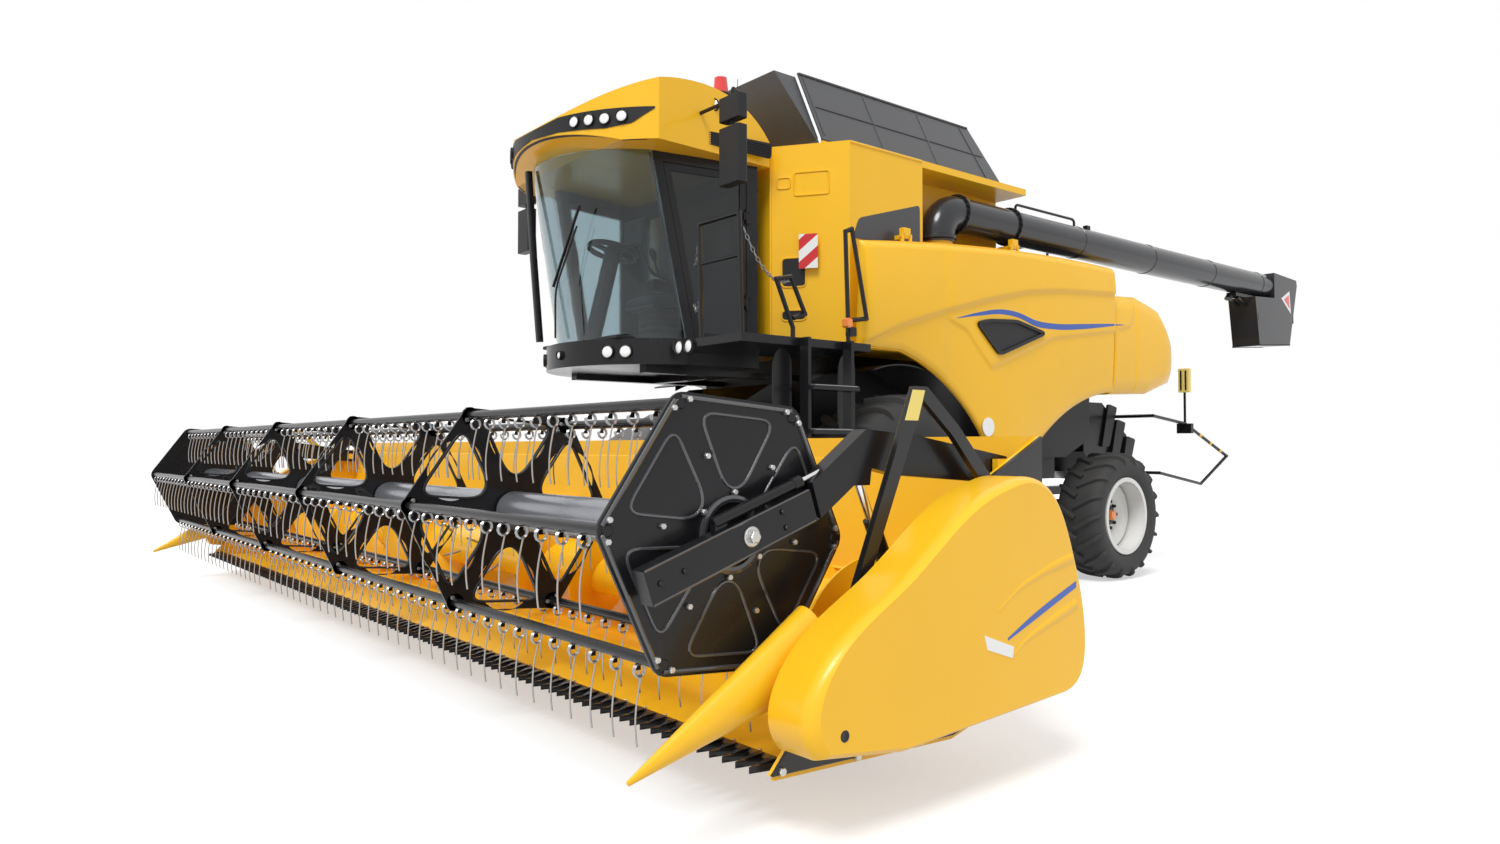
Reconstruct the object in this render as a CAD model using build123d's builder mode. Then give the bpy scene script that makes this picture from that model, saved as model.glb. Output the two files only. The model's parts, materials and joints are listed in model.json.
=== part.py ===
from build123d import *
import os
from math import cos, pi, radians, sin, tan

# A self-propelled combine harvester with its grain header, in millimetres.
# +Z is up, the machine drives towards -Y and its left side is at +X.
# Stations along the machine are measured from the front axle, on the ground.

# Overall reach, which sets the frame's origin in the middle of the ground plan
FRONT_REACH = 4500.0
REAR_REACH = 7850.0
FRONT_AXLE_Y = -(REAR_REACH - FRONT_REACH) / 2

# Clearances
FIT = 0.3
SEAT = 0.3
CLEAR = 5.0

# Wheels
WHEELBASE = 3200.0
FRONT_TYRE_R = 900.0
FRONT_TYRE_W = 700.0
FRONT_RIM_R = 504.0
FRONT_WHEEL_X = 1400.0
REAR_TYRE_R = 650.0
REAR_TYRE_W = 520.0
REAR_RIM_R = 364.0
REAR_WHEEL_X = 1530.0
RIM_WALL = 14.0
LUG_HEIGHT = 45.0
LUG_WIDTH = 44.0
LUG_SLANT = 0.62
LUG_COUNT = 12
TYRE_SIDES = 24
FRONT_DISC_X = 1215.0
REAR_DISC_X = 1480.0
DISC_THICK = 24.0
FRONT_SPINDLE_R = 90.0
REAR_SPINDLE_R = 55.0

# Axles and steering
FRONT_BEAM_H = 260.0
FRONT_BEAM_Y = 260.0
FINAL_DRIVE_R = 220.0
REAR_BEAM_H = 180.0
REAR_BEAM_Y = 160.0
KINGPIN_X = 1120.0
KINGPIN_R = 32.0
YOKE_PLATE = 50.0
KNUCKLE_H = 170.0

# Chassis rails
RAIL_X = 600.0
RAIL_W = 80.0
RAIL_H = 240.0
RAIL_FRONT = -450.0
RAIL_REAR = 3600.0
RAIL_BOTTOM = 1000.0
RAIL_TOP = RAIL_BOTTOM + RAIL_H
CROSS_DEPTH = 160.0

# Threshing body, grain tank and engine
BODY_HALF_W = 780.0
BODY_FRONT = -280.0
BODY_REAR = 4100.0
TANK_BOTTOM = 2150.0
TANK_TOP = 3830.0
TANK_HALF_W = 1500.0
TANK_FRONT = -920.0
TANK_REAR = 1850.0
TANK_NOSE_HALF_W = 950.0
TANK_CORNER_Y = -550.0
TANK_WALL = 25.0
TANK_PLATE = 40.0
MOUTH_HALF_W = 1290.0
MOUTH_FRONT = -690.0
MOUTH_REAR = 1780.0
RECESS_FRONT = 340.0
RECESS_REAR = 1700.0
RECESS_X = 1150.0
RECESS_BOTTOM = 2900.0
RECESS_TOP = 3770.0
ENGINE_DECK_Z = 2300.0
ENGINE_DECK_TOP = 3170.0
ENGINE_DECK_REAR = 3175.0
DECK_HALF_W = 1480.0
DECK_WALL = 25.0
ENGINE_SIZE = (1000.0, 1050.0, 760.0)
ENGINE_Y = 2520.0

# Tank covers
COVER_THICK = 12.0
COVER_LENGTH = 700.0
SIDE_COVER_HINGE_X = 1300.0
SIDE_COVER_HINGE_Z = 3862.0
SIDE_COVER_LEAN = 25.4
END_COVER_HINGE_Z = 3842.0
FRONT_COVER_HINGE_Y = MOUTH_FRONT
FRONT_COVER_LEAN = 19.0
REAR_COVER_HINGE_Y = 1790.0
REAR_COVER_LEAN = 16.0
SIDE_COVER_ENDS = (FRONT_COVER_HINGE_Y + 2 * COVER_THICK, REAR_COVER_HINGE_Y - 2 * COVER_THICK)
END_COVER_LENGTH = 660.0
COVER_WING_FOOT = 45.0
HINGE_PIN_R = 8.0

# Side panels
PANEL_X = 1600.0
PANEL_THICK = 25.0
PANEL_HINGE_X = 1612.0
PANEL_HINGE_STATIONS = (0.0, 1500.0)
PANEL_HINGE_Z = 3105.0
PANEL_HINGE_SLOPE = 4.05

# Fenders
FENDER_R = 1130.0
FENDER_THICK = 12.0
FENDER_INNER_X = 990.0
FENDER_OUTER_X = 1585.0

# Rear hood and chopper
HOOD_FRONT = ENGINE_DECK_REAR + SEAT
HOOD_HALF_W = 1560.0
HOOD_WALL = 25.0
CHOPPER_HALF_W = 700.0

# Cab
CAB_HALF_W = 950.0
CAB_REAR = -1060.0
CAB_FLOOR = 2190.0
CAB_BASE_H = 200.0
CAB_CEILING = 3640.0
CAB_WALL = 25.0
CAB_SIDE_ANGLE = 10.0
POST = 70.0
DOOR_REAR = 105.0
DOOR_BOTTOM_U = 560.0
DOOR_TOP_U = 840.0
DOOR_BOTTOM = 2195.0
DOOR_TOP = 3560.0
DOOR_THICK = 32.0
DOOR_FRAME = 55.0
DOOR_HINGE_HEIGHTS = (2520.0, 3220.0)
DOOR_HINGE_OUT = 12.0
DOOR_HINGE_H = 60.0
DOOR_PIN_R = 5.0
GLASS_THICK = 8.0
SCREEN_BOTTOM_Y = -2230.0
SCREEN_TOP_Y = -2480.0
SCREEN_GAP = 16.0

# Feeder house and header lift
FEEDER_PIVOT = (-550.0, 1620.0)
FEEDER_HALF_W = 600.0
FEEDER_WALL = 20.0
FEEDER_PIN_R = 60.0
FEEDER_FRONT = -2330.0
LIFT_BASE = (-250.0, 620.0)
LIFT_EYE = (-1950.0, 680.0)
LIFT_X = 740.0
LIFT_BARREL_R = 55.0
LIFT_ROD_R = 30.0
LIFT_BARREL_LENGTH = 1200.0
LIFT_ROD_START = 400.0
EYE_WIDTH = 60.0
REEL_EYE_WIDTH = 40.0
LIFT_PIN_R = 25.0
EYE_PLAY = 9.0
ROD_SINK = 60.0

# Header
HEADER_HALF_W = 4470.0
END_SHEET = 30.0
KNIFE_Y = -3850.0
KNIFE_Z = 235.0
GUARD_LENGTH = 150.0
GUARD_PITCH = 76.2
GUARD_THICK = 24.0
HEADER_BACK_Y = -2480.0
HEADER_TOP_Z = 1400.0
SHEET = 10.0
BEAM = 110.0
AUGER_Y = -2930.0
AUGER_Z = 580.0
AUGER_TUBE_R = 150.0
AUGER_HALF_W = 4340.0
FLIGHT_R = 300.0
FLIGHT_THICK = 12.0
FLIGHT_PITCH = 700.0
FLIGHT_CLEAR_HALF_W = 560.0
AUGER_STUB_R = 40.0
SHIELD_X = 4532.0
SHIELD_DEPTH = 215.0
SHIELD_WALL = 12.0
SHIELD_ROUND = 70.0
SHIELD_INNER = 0.95
SHIELD_CENTRE = (-3200.0, 740.0)
STRUT_THICK = 27.0
STRUT_FRONT = ((-3235, 1590), (-3160, 1590), (-3590, 650), (-3650, 650))
STRUT_REAR = ((-3200, 1590), (-3160, 1590), (-2970, 1440), (-2740, 1215), (-2780, 1170), (-3010, 1400), (-3190, 1540))
SHIELD_PADS = ((-3400.0, 700.0), (-2700.0, 1000.0), (-2700.0, 450.0))
DIVIDER_X = 4432.0
DIVIDER_HALF_W = 92.0
DIVIDER_HALF_H = 150.0
DIVIDER_TAIL = (-3700.0, 640.0)

# Reel
REEL_Y = -4000.0
REEL_Z = 1041.0
REEL_R = 510.0
REEL_PHASE = -4.5
REEL_BARS = 6
REEL_BAYS = 5
REEL_HALF_W = 4312.0
REEL_TUBE_R = 90.0
REEL_PLATE = 12.0
REEL_SHAFT_R = 35.0
BAR_R = 22.0
TINE_PITCH = 160.0
TINE_LENGTH = 250.0
TINE_W = 12.0

# Reel arms and their cylinders
ARM_X = 4400.0
ARM_W = 70.0
ARM_PIVOT = (-2600.0, 1250.0)
ARM_PIN_R = 30.0
SLEEVE_SLOPE = 18.7
REEL_LIFT_BASE = (-3150.0, 600.0)
REEL_LIFT_EYE = (-3450.0, 1240.0)
REEL_LIFT_BARREL_R = 32.0
REEL_LIFT_ROD_R = 18.0
REEL_LIFT_BARREL_LENGTH = 520.0
REEL_LIFT_ROD_START = 150.0
REEL_LIFT_PIN_R = 16.0

# Unloading auger
UNLOADER_X = 1420.0
UNLOADER_Y = 620.0
UNLOADER_Z = 3455.0
UNLOADER_R = 160.0
TURRET_TOP = 3160.0
ELBOW_R = 250.0
UNLOADER_END_Y = 7150.0

# Platform and ladder
PLATFORM_OUTER_X = 1780.0
PLATFORM_FRONT = -1900.0
PLATFORM_REAR = -605.0
PLATFORM_THICK = 60.0
LADDER_FRONT = -1350.0
LADDER_REAR = -880.0
LADDER_BOTTOM = 480.0
LADDER_STEPS = 5
RAIL_TUBE_R = 18.0

# Mirrors, beacons and rear guard
MIRROR_X = 1600.0
MIRROR_Y = -1830.0
MIRROR_W = 230.0
MIRROR_DEPTH = 90.0
MIRROR_HEADS = ((3230.0, 3640.0), (3690.0, 3860.0))
MIRROR_TUBE_R = 16.0
MIRROR_FOOT_Y = -1700.0
MIRROR_FOOT_Z = 3920.0
CAB_ROOF_SIDE = 1039.7
BEACON_X = 900.0
BEACON_Y = -1400.0
BEACON_Z = 4152.0
BEACON_R = 62.0
BEACON_H = 150.0
GUARD_X = 1200.0
GUARD_R = 20.0

# Tow hitch
HITCH_Y = 5350.0
HITCH_Z = 820.0
HITCH_BORE_R = 20.0
HITCH_EAR = 30.0
HITCH_GAP = 70.0

MACHINE = Plane(origin=(0, FRONT_AXLE_Y, 0))


def side(x):
    """Plane across the machine at x, drawn as (station, height); it extrudes to the left."""
    return Plane(origin=(x, FRONT_AXLE_Y, 0), x_dir=(0, 1, 0), z_dir=(1, 0, 0))


def level(z):
    """Level plane at height z, drawn as (x, station)."""
    return Plane(origin=(0, FRONT_AXLE_Y, z))


def across(y):
    """Upright plane at station y, drawn as (x, height); it extrudes forwards."""
    return Plane(origin=(0, FRONT_AXLE_Y + y, 0), x_dir=(1, 0, 0), z_dir=(0, -1, 0))


def point(x, y, z):
    """Point from its x, its station and its height."""
    return Vector(x, FRONT_AXLE_Y + y, z)


def along(start, end):
    """Plane at start that faces end."""
    return Plane(origin=start, z_dir=end - start)


def slab(outline, x_from, x_to):
    """Prism of a side outline between two x values."""
    with BuildPart() as prism:
        with BuildSketch(side(x_from)):
            with BuildLine():
                Polyline(*outline, close=True)
            make_face()
        extrude(amount=x_to - x_from)
    return prism.part


def block(x, y, z):
    """Box between pairs of x, station and height."""
    with BuildPart(MACHINE) as box:
        with Locations(((x[0] + x[1]) / 2, (y[0] + y[1]) / 2, (z[0] + z[1]) / 2)):
            Box(x[1] - x[0], y[1] - y[0], z[1] - z[0])
    return box.part


def bar(start, end, radius, sides=6):
    """Straight bar with a regular section between two points."""
    with BuildPart() as rod:
        with BuildSketch(along(start, end)):
            RegularPolygon(radius, sides)
        extrude(amount=(end - start).length)
    return rod.part


def round_bar(start, end, radius):
    """Straight round bar between two points."""
    with BuildPart() as rod:
        with BuildSketch(along(start, end)):
            Circle(radius)
        extrude(amount=(end - start).length)
    return rod.part


def tube_run(points, radius, sides=6):
    """Bars joined end to end through a list of points, each run on by half its radius at a bend."""
    with BuildPart() as run:
        for start, end in zip(points, points[1:]):
            reach = (end - start).normalized() * radius * 0.5
            first = start if start == points[0] else start - reach
            last = end if end == points[-1] else end + reach
            add(bar(first, last, radius, sides))
    return run.part


def cross_pin(x_from, x_to, spot, radius):
    """Round pin along X at a spot of the side view."""
    with BuildPart() as pin:
        with BuildSketch(side(x_from)):
            with Locations(spot):
                Circle(radius)
        extrude(amount=x_to - x_from)
    return pin.part


def both(piece):
    """A piece of the left side together with its mirror image."""
    with BuildPart() as pair:
        add(piece)
        mirror(about=Plane.YZ)
    return pair.part


def save(piece, name):
    """Write one finished piece."""
    piece.label = name
    export_step(piece, f"parts/{name}.step")


def chassis():
    """Two rails with cross members and the plates that carry the feeder house."""
    rail_x = (RAIL_X - RAIL_W / 2, RAIL_X + RAIL_W / 2)
    plate_x = (FEEDER_HALF_W + 90, FEEDER_HALF_W + 130)
    with BuildPart() as frame:
        add(both(block(rail_x, (RAIL_FRONT, RAIL_REAR), (RAIL_BOTTOM, RAIL_TOP))))
        for station in (RAIL_FRONT + CROSS_DEPTH / 2, WHEELBASE / 2, WHEELBASE, RAIL_REAR - CROSS_DEPTH / 2):
            reach = plate_x[1] if station < 0 else RAIL_X
            depth = (station - CROSS_DEPTH / 2, station + CROSS_DEPTH / 2)
            add(block((-reach, reach), depth, (RAIL_BOTTOM + RAIL_H / 3, RAIL_TOP)))
        for x in (plate_x[0], -plate_x[1]):
            with BuildSketch(side(x)):
                with Locations(FEEDER_PIVOT):
                    Circle(FEEDER_PIN_R * 1.9)
                with Locations((RAIL_FRONT + CROSS_DEPTH / 2, RAIL_TOP - RAIL_H / 4)):
                    Rectangle(CROSS_DEPTH, RAIL_H / 2)
                make_hull()
                with Locations(FEEDER_PIVOT):
                    Circle(FEEDER_PIN_R + FIT, mode=Mode.SUBTRACT)
            extrude(amount=plate_x[1] - plate_x[0])
        seat_z = REAR_TYRE_R + REAR_BEAM_H / 2
        add(block((-RAIL_X, RAIL_X), (WHEELBASE - 60, WHEELBASE + 60), (seat_z, RAIL_TOP - RAIL_H / 3)))
    return frame.part


def front_axle():
    """Drive axle beam with a final drive and a spindle at each end."""
    beam_z = (RAIL_BOTTOM - FRONT_BEAM_H, RAIL_BOTTOM)
    disc_face = FRONT_DISC_X - DISC_THICK / 2
    with BuildPart() as axle:
        add(block((-FENDER_INNER_X, FENDER_INNER_X), (-FRONT_BEAM_Y / 2, FRONT_BEAM_Y / 2), beam_z))
        for sign in (1, -1):
            for x, reach, radius in (
                (FENDER_INNER_X - 120, disc_face - SEAT, FINAL_DRIVE_R),
                (FENDER_INNER_X, FRONT_DISC_X + DISC_THICK, FRONT_SPINDLE_R),
            ):
                with BuildSketch(side(sign * x)):
                    with Locations((0, FRONT_TYRE_R)):
                        Circle(radius)
                extrude(amount=sign * (reach - x))
            ear_low = (LIFT_BASE[0] - LIFT_PIN_R * 2, LIFT_BASE[1] - LIFT_PIN_R * 2)
            for x in (LIFT_X - EYE_WIDTH / 2 - CLEAR - 20, LIFT_X + EYE_WIDTH / 2 + CLEAR):
                start = x if sign > 0 else -x - 20
                add(slab([ear_low, (0, ear_low[1]), (0, beam_z[0] + 60), (-FRONT_BEAM_Y / 2, beam_z[0] + 60),
                          (ear_low[0], LIFT_BASE[1] + LIFT_PIN_R * 2)], start, start + 20))
            pin_start = sign * LIFT_X - EYE_WIDTH / 2 - CLEAR
            add(cross_pin(pin_start, pin_start + EYE_WIDTH + 2 * CLEAR, LIFT_BASE, LIFT_PIN_R))
    return axle.part


def rear_axle():
    """Steered axle beam with a yoke for a kingpin at each end."""
    beam_z = (REAR_TYRE_R - REAR_BEAM_H / 2, REAR_TYRE_R + REAR_BEAM_H / 2)
    gap = KNUCKLE_H / 2 + CLEAR
    depth = (WHEELBASE - REAR_BEAM_Y / 2, WHEELBASE + REAR_BEAM_Y / 2)
    yoke_in, yoke_out = KINGPIN_X - 130, KINGPIN_X + 60
    with BuildPart() as axle:
        add(block((-yoke_in, yoke_in), depth, beam_z))
        for sign in (1, -1):
            ends = sorted((sign * (yoke_in - 60), sign * yoke_out))
            for low, high in ((gap, gap + YOKE_PLATE), (-gap - YOKE_PLATE, -gap)):
                add(block(ends, depth, (REAR_TYRE_R + low, REAR_TYRE_R + high)))
            web = sorted((sign * (yoke_in - 60), sign * yoke_in))
            add(block(web, depth, (REAR_TYRE_R - gap - YOKE_PLATE, REAR_TYRE_R + gap + YOKE_PLATE)))
        for sign in (1, -1):
            with BuildSketch(level(REAR_TYRE_R - gap - YOKE_PLATE)):
                with Locations((sign * KINGPIN_X, WHEELBASE)):
                    Circle(KINGPIN_R + FIT)
            extrude(amount=2 * (gap + YOKE_PLATE), mode=Mode.SUBTRACT)
    return axle.part


def knuckle(sign):
    """Steering knuckle: hub block, kingpin and wheel spindle."""
    gap = KNUCKLE_H / 2
    with BuildPart() as piece:
        ends = sorted((sign * (KINGPIN_X - 60), sign * (KINGPIN_X + 90)))
        add(block(ends, (WHEELBASE - 70, WHEELBASE + 70), (REAR_TYRE_R - gap, REAR_TYRE_R + gap)))
        with BuildSketch(level(REAR_TYRE_R - gap - CLEAR - YOKE_PLATE)):
            with Locations((sign * KINGPIN_X, WHEELBASE)):
                Circle(KINGPIN_R)
        extrude(amount=2 * (gap + CLEAR + YOKE_PLATE))
        for start, end, radius in (
            (KINGPIN_X + 90, REAR_DISC_X - DISC_THICK / 2 - SEAT, REAR_SPINDLE_R * 1.4),
            (REAR_DISC_X - DISC_THICK, REAR_DISC_X + DISC_THICK, REAR_SPINDLE_R),
        ):
            with BuildSketch(side(sign * start)):
                with Locations((WHEELBASE, REAR_TYRE_R)):
                    Circle(radius)
            extrude(amount=sign * (end - start))
    return piece.part


def wheel_plane(sign, x, station, height):
    """Plane on a wheel's axis, drawn as (outward offset, radius)."""
    return Plane(origin=point(sign * x, station, height), x_dir=(sign, 0, 0), z_dir=(0, -sign, 0))


def rim(plane, radius, width, disc, bore):
    """Wheel rim: barrel, dished disc and hub, revolved about the axle."""
    half = width * 0.42
    with BuildPart() as piece:
        with BuildSketch(plane):
            with BuildLine():
                Polyline(
                    (-half, radius + 28), (-half + 16, radius + 28), (-half + 16, radius), (half - 16, radius),
                    (half - 16, radius + 28), (half, radius + 28), (half, radius - RIM_WALL),
                    (disc + 70, radius - RIM_WALL), (disc + DISC_THICK / 2, radius * 0.72),
                    (disc + DISC_THICK / 2, bore), (disc - DISC_THICK / 2, bore),
                    (disc - DISC_THICK / 2, radius * 0.74), (disc + 40, radius - RIM_WALL),
                    (-half, radius - RIM_WALL), close=True,
                )
            make_face()
        revolve(axis=Axis(plane.origin, plane.x_dir))
    return piece.part


def tyre(plane, radius, width, rim_radius):
    """Tyre: a many-sided carcass lofted across its width, with two rows of slanted lugs."""
    half = width / 2
    seat = width * 0.42 - 16 - SEAT
    carcass = radius - LUG_HEIGHT
    bore = (rim_radius + SEAT) / cos(pi / TYRE_SIDES)
    flange = (rim_radius + 30) / cos(pi / TYRE_SIDES)
    with BuildPart() as piece:
        for reach, level_r in ((0.96, radius * 0.8), (0.92, radius * 0.9), (0.6, carcass)):
            with BuildSketch(wheel_section(plane, -reach * half)):
                RegularPolygon(level_r, TYRE_SIDES)
        for reach, level_r in ((0.6, carcass), (0.92, radius * 0.9), (0.96, radius * 0.8)):
            with BuildSketch(wheel_section(plane, reach * half)):
                RegularPolygon(level_r, TYRE_SIDES)
        loft(ruled=True)
        lugs = []
        for row in (1, -1):
            lug = tyre_lug(plane, radius, half, row)
            for index in range(LUG_COUNT):
                lugs.append(lug.rotate(Axis(plane.origin, plane.x_dir), 360 / LUG_COUNT * (index + 0.25 * row)))
        add(lugs)
        with BuildSketch(wheel_section(plane, -half)):
            RegularPolygon(bore, TYRE_SIDES)
        extrude(amount=width, mode=Mode.SUBTRACT)
        for start in (-half, seat):
            with BuildSketch(wheel_section(plane, start)):
                RegularPolygon(flange, TYRE_SIDES)
            extrude(amount=half - seat, mode=Mode.SUBTRACT)
    return piece.part


def wheel_section(plane, reach):
    """Plane across a wheel's axis at a distance outwards from its middle."""
    return Plane(origin=plane.origin + plane.x_dir * reach, x_dir=plane.y_dir, z_dir=plane.x_dir)


def tyre_lug(plane, radius, half, row):
    """One lug: a slanted bar from the middle of the tread to its shoulder."""
    reach = half * LUG_SLANT / 2
    top = (radius ** 2 - (reach + LUG_WIDTH / 2) ** 2) ** 0.5
    tread = Plane(origin=plane.origin + plane.y_dir * top, x_dir=plane.x_dir, z_dir=-plane.y_dir)
    inner, outer = -0.04 * half * row, 0.98 * half * row
    with BuildPart() as lug:
        with BuildSketch(tread):
            with BuildLine():
                Polyline((inner, -reach - LUG_WIDTH / 2), (outer, reach - LUG_WIDTH / 2), (outer, reach + LUG_WIDTH / 2),
                         (inner, -reach + LUG_WIDTH / 2), close=True)
            make_face()
        extrude(amount=radius * 0.12)
    return lug.part


def separator_body():
    """Closed threshing and separating housing on the rails."""
    return slab(
        [(BODY_FRONT, RAIL_TOP), (BODY_FRONT, TANK_BOTTOM), (TANK_REAR + SEAT, TANK_BOTTOM),
         (TANK_REAR + SEAT, ENGINE_DECK_Z), (ENGINE_DECK_REAR, ENGINE_DECK_Z), (BODY_REAR, 2000),
         (BODY_REAR, 1450), (RAIL_REAR, RAIL_TOP)],
        -BODY_HALF_W, BODY_HALF_W,
    )


def tank_outline(inset):
    """Plan of the grain tank, set in from its outer face."""
    slant = inset * 0.5
    return [
        (-TANK_NOSE_HALF_W + slant, TANK_FRONT + inset), (TANK_NOSE_HALF_W - slant, TANK_FRONT + inset),
        (TANK_HALF_W - inset, TANK_CORNER_Y + slant), (TANK_HALF_W - inset, TANK_REAR - inset),
        (-TANK_HALF_W + inset, TANK_REAR - inset), (-TANK_HALF_W + inset, TANK_CORNER_Y + slant),
    ]


def grain_tank():
    """Hollow tank with a top plate round its mouth and a recess for the unloading auger."""
    with BuildPart() as tank:
        with BuildSketch(level(TANK_BOTTOM)):
            with BuildLine():
                Polyline(*tank_outline(0), close=True)
            make_face()
        extrude(amount=TANK_TOP - TANK_BOTTOM)
        with BuildSketch(level(TANK_BOTTOM + 150)):
            with BuildLine():
                Polyline(*tank_outline(TANK_WALL), close=True)
            make_face()
        extrude(amount=RECESS_BOTTOM - TANK_WALL - TANK_BOTTOM - 150, mode=Mode.SUBTRACT)
        with BuildSketch(level(RECESS_BOTTOM - TANK_WALL)):
            with BuildLine():
                Polyline(*tank_outline(TANK_WALL), close=True)
            make_face()
            with Locations(((RECESS_X + TANK_HALF_W) / 2, (RECESS_FRONT + TANK_REAR) / 2)):
                Rectangle(TANK_HALF_W - RECESS_X + 2 * TANK_WALL, TANK_REAR - RECESS_FRONT + 2 * TANK_WALL,
                          mode=Mode.SUBTRACT)
        extrude(amount=TANK_TOP - TANK_PLATE - RECESS_BOTTOM + TANK_WALL, mode=Mode.SUBTRACT)
        mouth_y = (MOUTH_FRONT, MOUTH_REAR)
        add(block((-MOUTH_HALF_W, RECESS_X - TANK_WALL), mouth_y, (TANK_TOP - TANK_PLATE, TANK_TOP)),
            mode=Mode.SUBTRACT)
        add(block((RECESS_X, TANK_HALF_W), (RECESS_FRONT, TANK_REAR), (RECESS_BOTTOM, RECESS_TOP)), mode=Mode.SUBTRACT)
        add(block((0, MOUTH_HALF_W), (MOUTH_FRONT, RECESS_FRONT - TANK_WALL), (TANK_TOP - TANK_PLATE, TANK_TOP)),
            mode=Mode.SUBTRACT)
        rim_top = SIDE_COVER_HINGE_Z - COVER_THICK - FIT
        rim_x = (SIDE_COVER_HINGE_X - COVER_THICK, SIDE_COVER_HINGE_X + COVER_THICK)
        add(both(block(rim_x, SIDE_COVER_ENDS, (TANK_TOP - TANK_PLATE / 2, rim_top))))
        add(panel_brackets())
        add(unloader_turret())
    return tank.part


def side_cover(sign):
    """Side flap of the tank covers, leaning in over the mouth on its hinge edge."""
    lean = radians(SIDE_COVER_LEAN)
    hinge = point(sign * SIDE_COVER_HINGE_X, 0, SIDE_COVER_HINGE_Z)
    up = Vector(-sign * sin(lean), 0, cos(lean))
    plane = Plane(origin=hinge, x_dir=(0, 1, 0), z_dir=Vector(0, 1, 0).cross(up))
    back = COVER_LENGTH * cos(lean) * tan(radians(REAR_COVER_LEAN))
    start, end = SIDE_COVER_ENDS
    with BuildPart() as cover:
        with BuildSketch(plane.offset(-COVER_THICK / 2)):
            with BuildLine():
                Polyline((start, 0), (end, 0), (end - back, COVER_LENGTH), (start, COVER_LENGTH), close=True)
            make_face()
        extrude(amount=COVER_THICK)
        x = sign * SIDE_COVER_HINGE_X
        add(round_bar(point(x, start, SIDE_COVER_HINGE_Z), point(x, end, SIDE_COVER_HINGE_Z), COVER_THICK))
    return cover.part


def cover_half_width(rise, margin):
    """Half width between the two side flaps at a height above the end flap's hinge."""
    return SIDE_COVER_HINGE_X - COVER_THICK - margin - rise * tan(radians(SIDE_COVER_LEAN))


def end_cover(hinge_y, lean_degrees, gusset):
    """Front or rear flap of the tank covers; lean is positive forwards."""
    lean = radians(lean_degrees)
    up = Vector(0, -sin(lean), cos(lean))
    plane = Plane(origin=point(0, hinge_y, END_COVER_HINGE_Z), x_dir=(1, 0, 0), z_dir=Vector(1, 0, 0).cross(up))
    rise = END_COVER_LENGTH * cos(lean)
    foot, head = cover_half_width(0, 10), cover_half_width(rise, 10)
    with BuildPart() as cover:
        with BuildSketch(plane.offset(-COVER_THICK / 2)):
            with BuildLine():
                Polyline((-foot, 0), (foot, 0), (head, END_COVER_LENGTH), (-head, END_COVER_LENGTH), close=True)
            make_face()
        extrude(amount=COVER_THICK)
        add(cross_pin(-foot, foot, (hinge_y, END_COVER_HINGE_Z), END_COVER_HINGE_Z - TANK_TOP - FIT))
        if gusset:
            seam = hinge_y + COVER_THICK * 2 - CLEAR
            for sign in (1, -1):
                leg = point(sign * head, hinge_y, END_COVER_HINGE_Z + rise) - point(sign * foot, hinge_y, END_COVER_HINGE_Z)
                wing = Plane(origin=point(sign * foot, 0, END_COVER_HINGE_Z), x_dir=(0, 1, 0),
                             z_dir=Vector(0, 1, 0).cross(leg) * sign)
                slope = leg.length
                with BuildSketch(wing):
                    with BuildLine():
                        Polyline((hinge_y, 0), (seam, sign * COVER_WING_FOOT), (seam, sign * slope),
                                 (hinge_y - rise * tan(lean), sign * slope), close=True)
                    make_face()
                extrude(amount=-COVER_THICK)
    return cover.part


def engine_block():
    """Plain block at the engine's place behind the tank."""
    length, depth, height = ENGINE_SIZE
    return block((-length / 2, length / 2), (ENGINE_Y - depth / 2, ENGINE_Y + depth / 2),
                 (ENGINE_DECK_Z + DECK_WALL, ENGINE_DECK_Z + DECK_WALL + height))


def engine_deck():
    """Hollow engine bay with its cover plate."""
    y = (TANK_REAR + SEAT, ENGINE_DECK_REAR)
    with BuildPart() as deck:
        add(block((-DECK_HALF_W, DECK_HALF_W), y, (ENGINE_DECK_Z, ENGINE_DECK_TOP)))
        add(block((-DECK_HALF_W + DECK_WALL, DECK_HALF_W - DECK_WALL), (y[0] + DECK_WALL, y[1] - DECK_WALL),
                  (ENGINE_DECK_Z + DECK_WALL, ENGINE_DECK_TOP - DECK_WALL)), mode=Mode.SUBTRACT)
    return deck.part


def hinge_height(station):
    """Height of the side panel's hinge axis at a station."""
    return PANEL_HINGE_Z + station * tan(radians(PANEL_HINGE_SLOPE))


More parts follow.
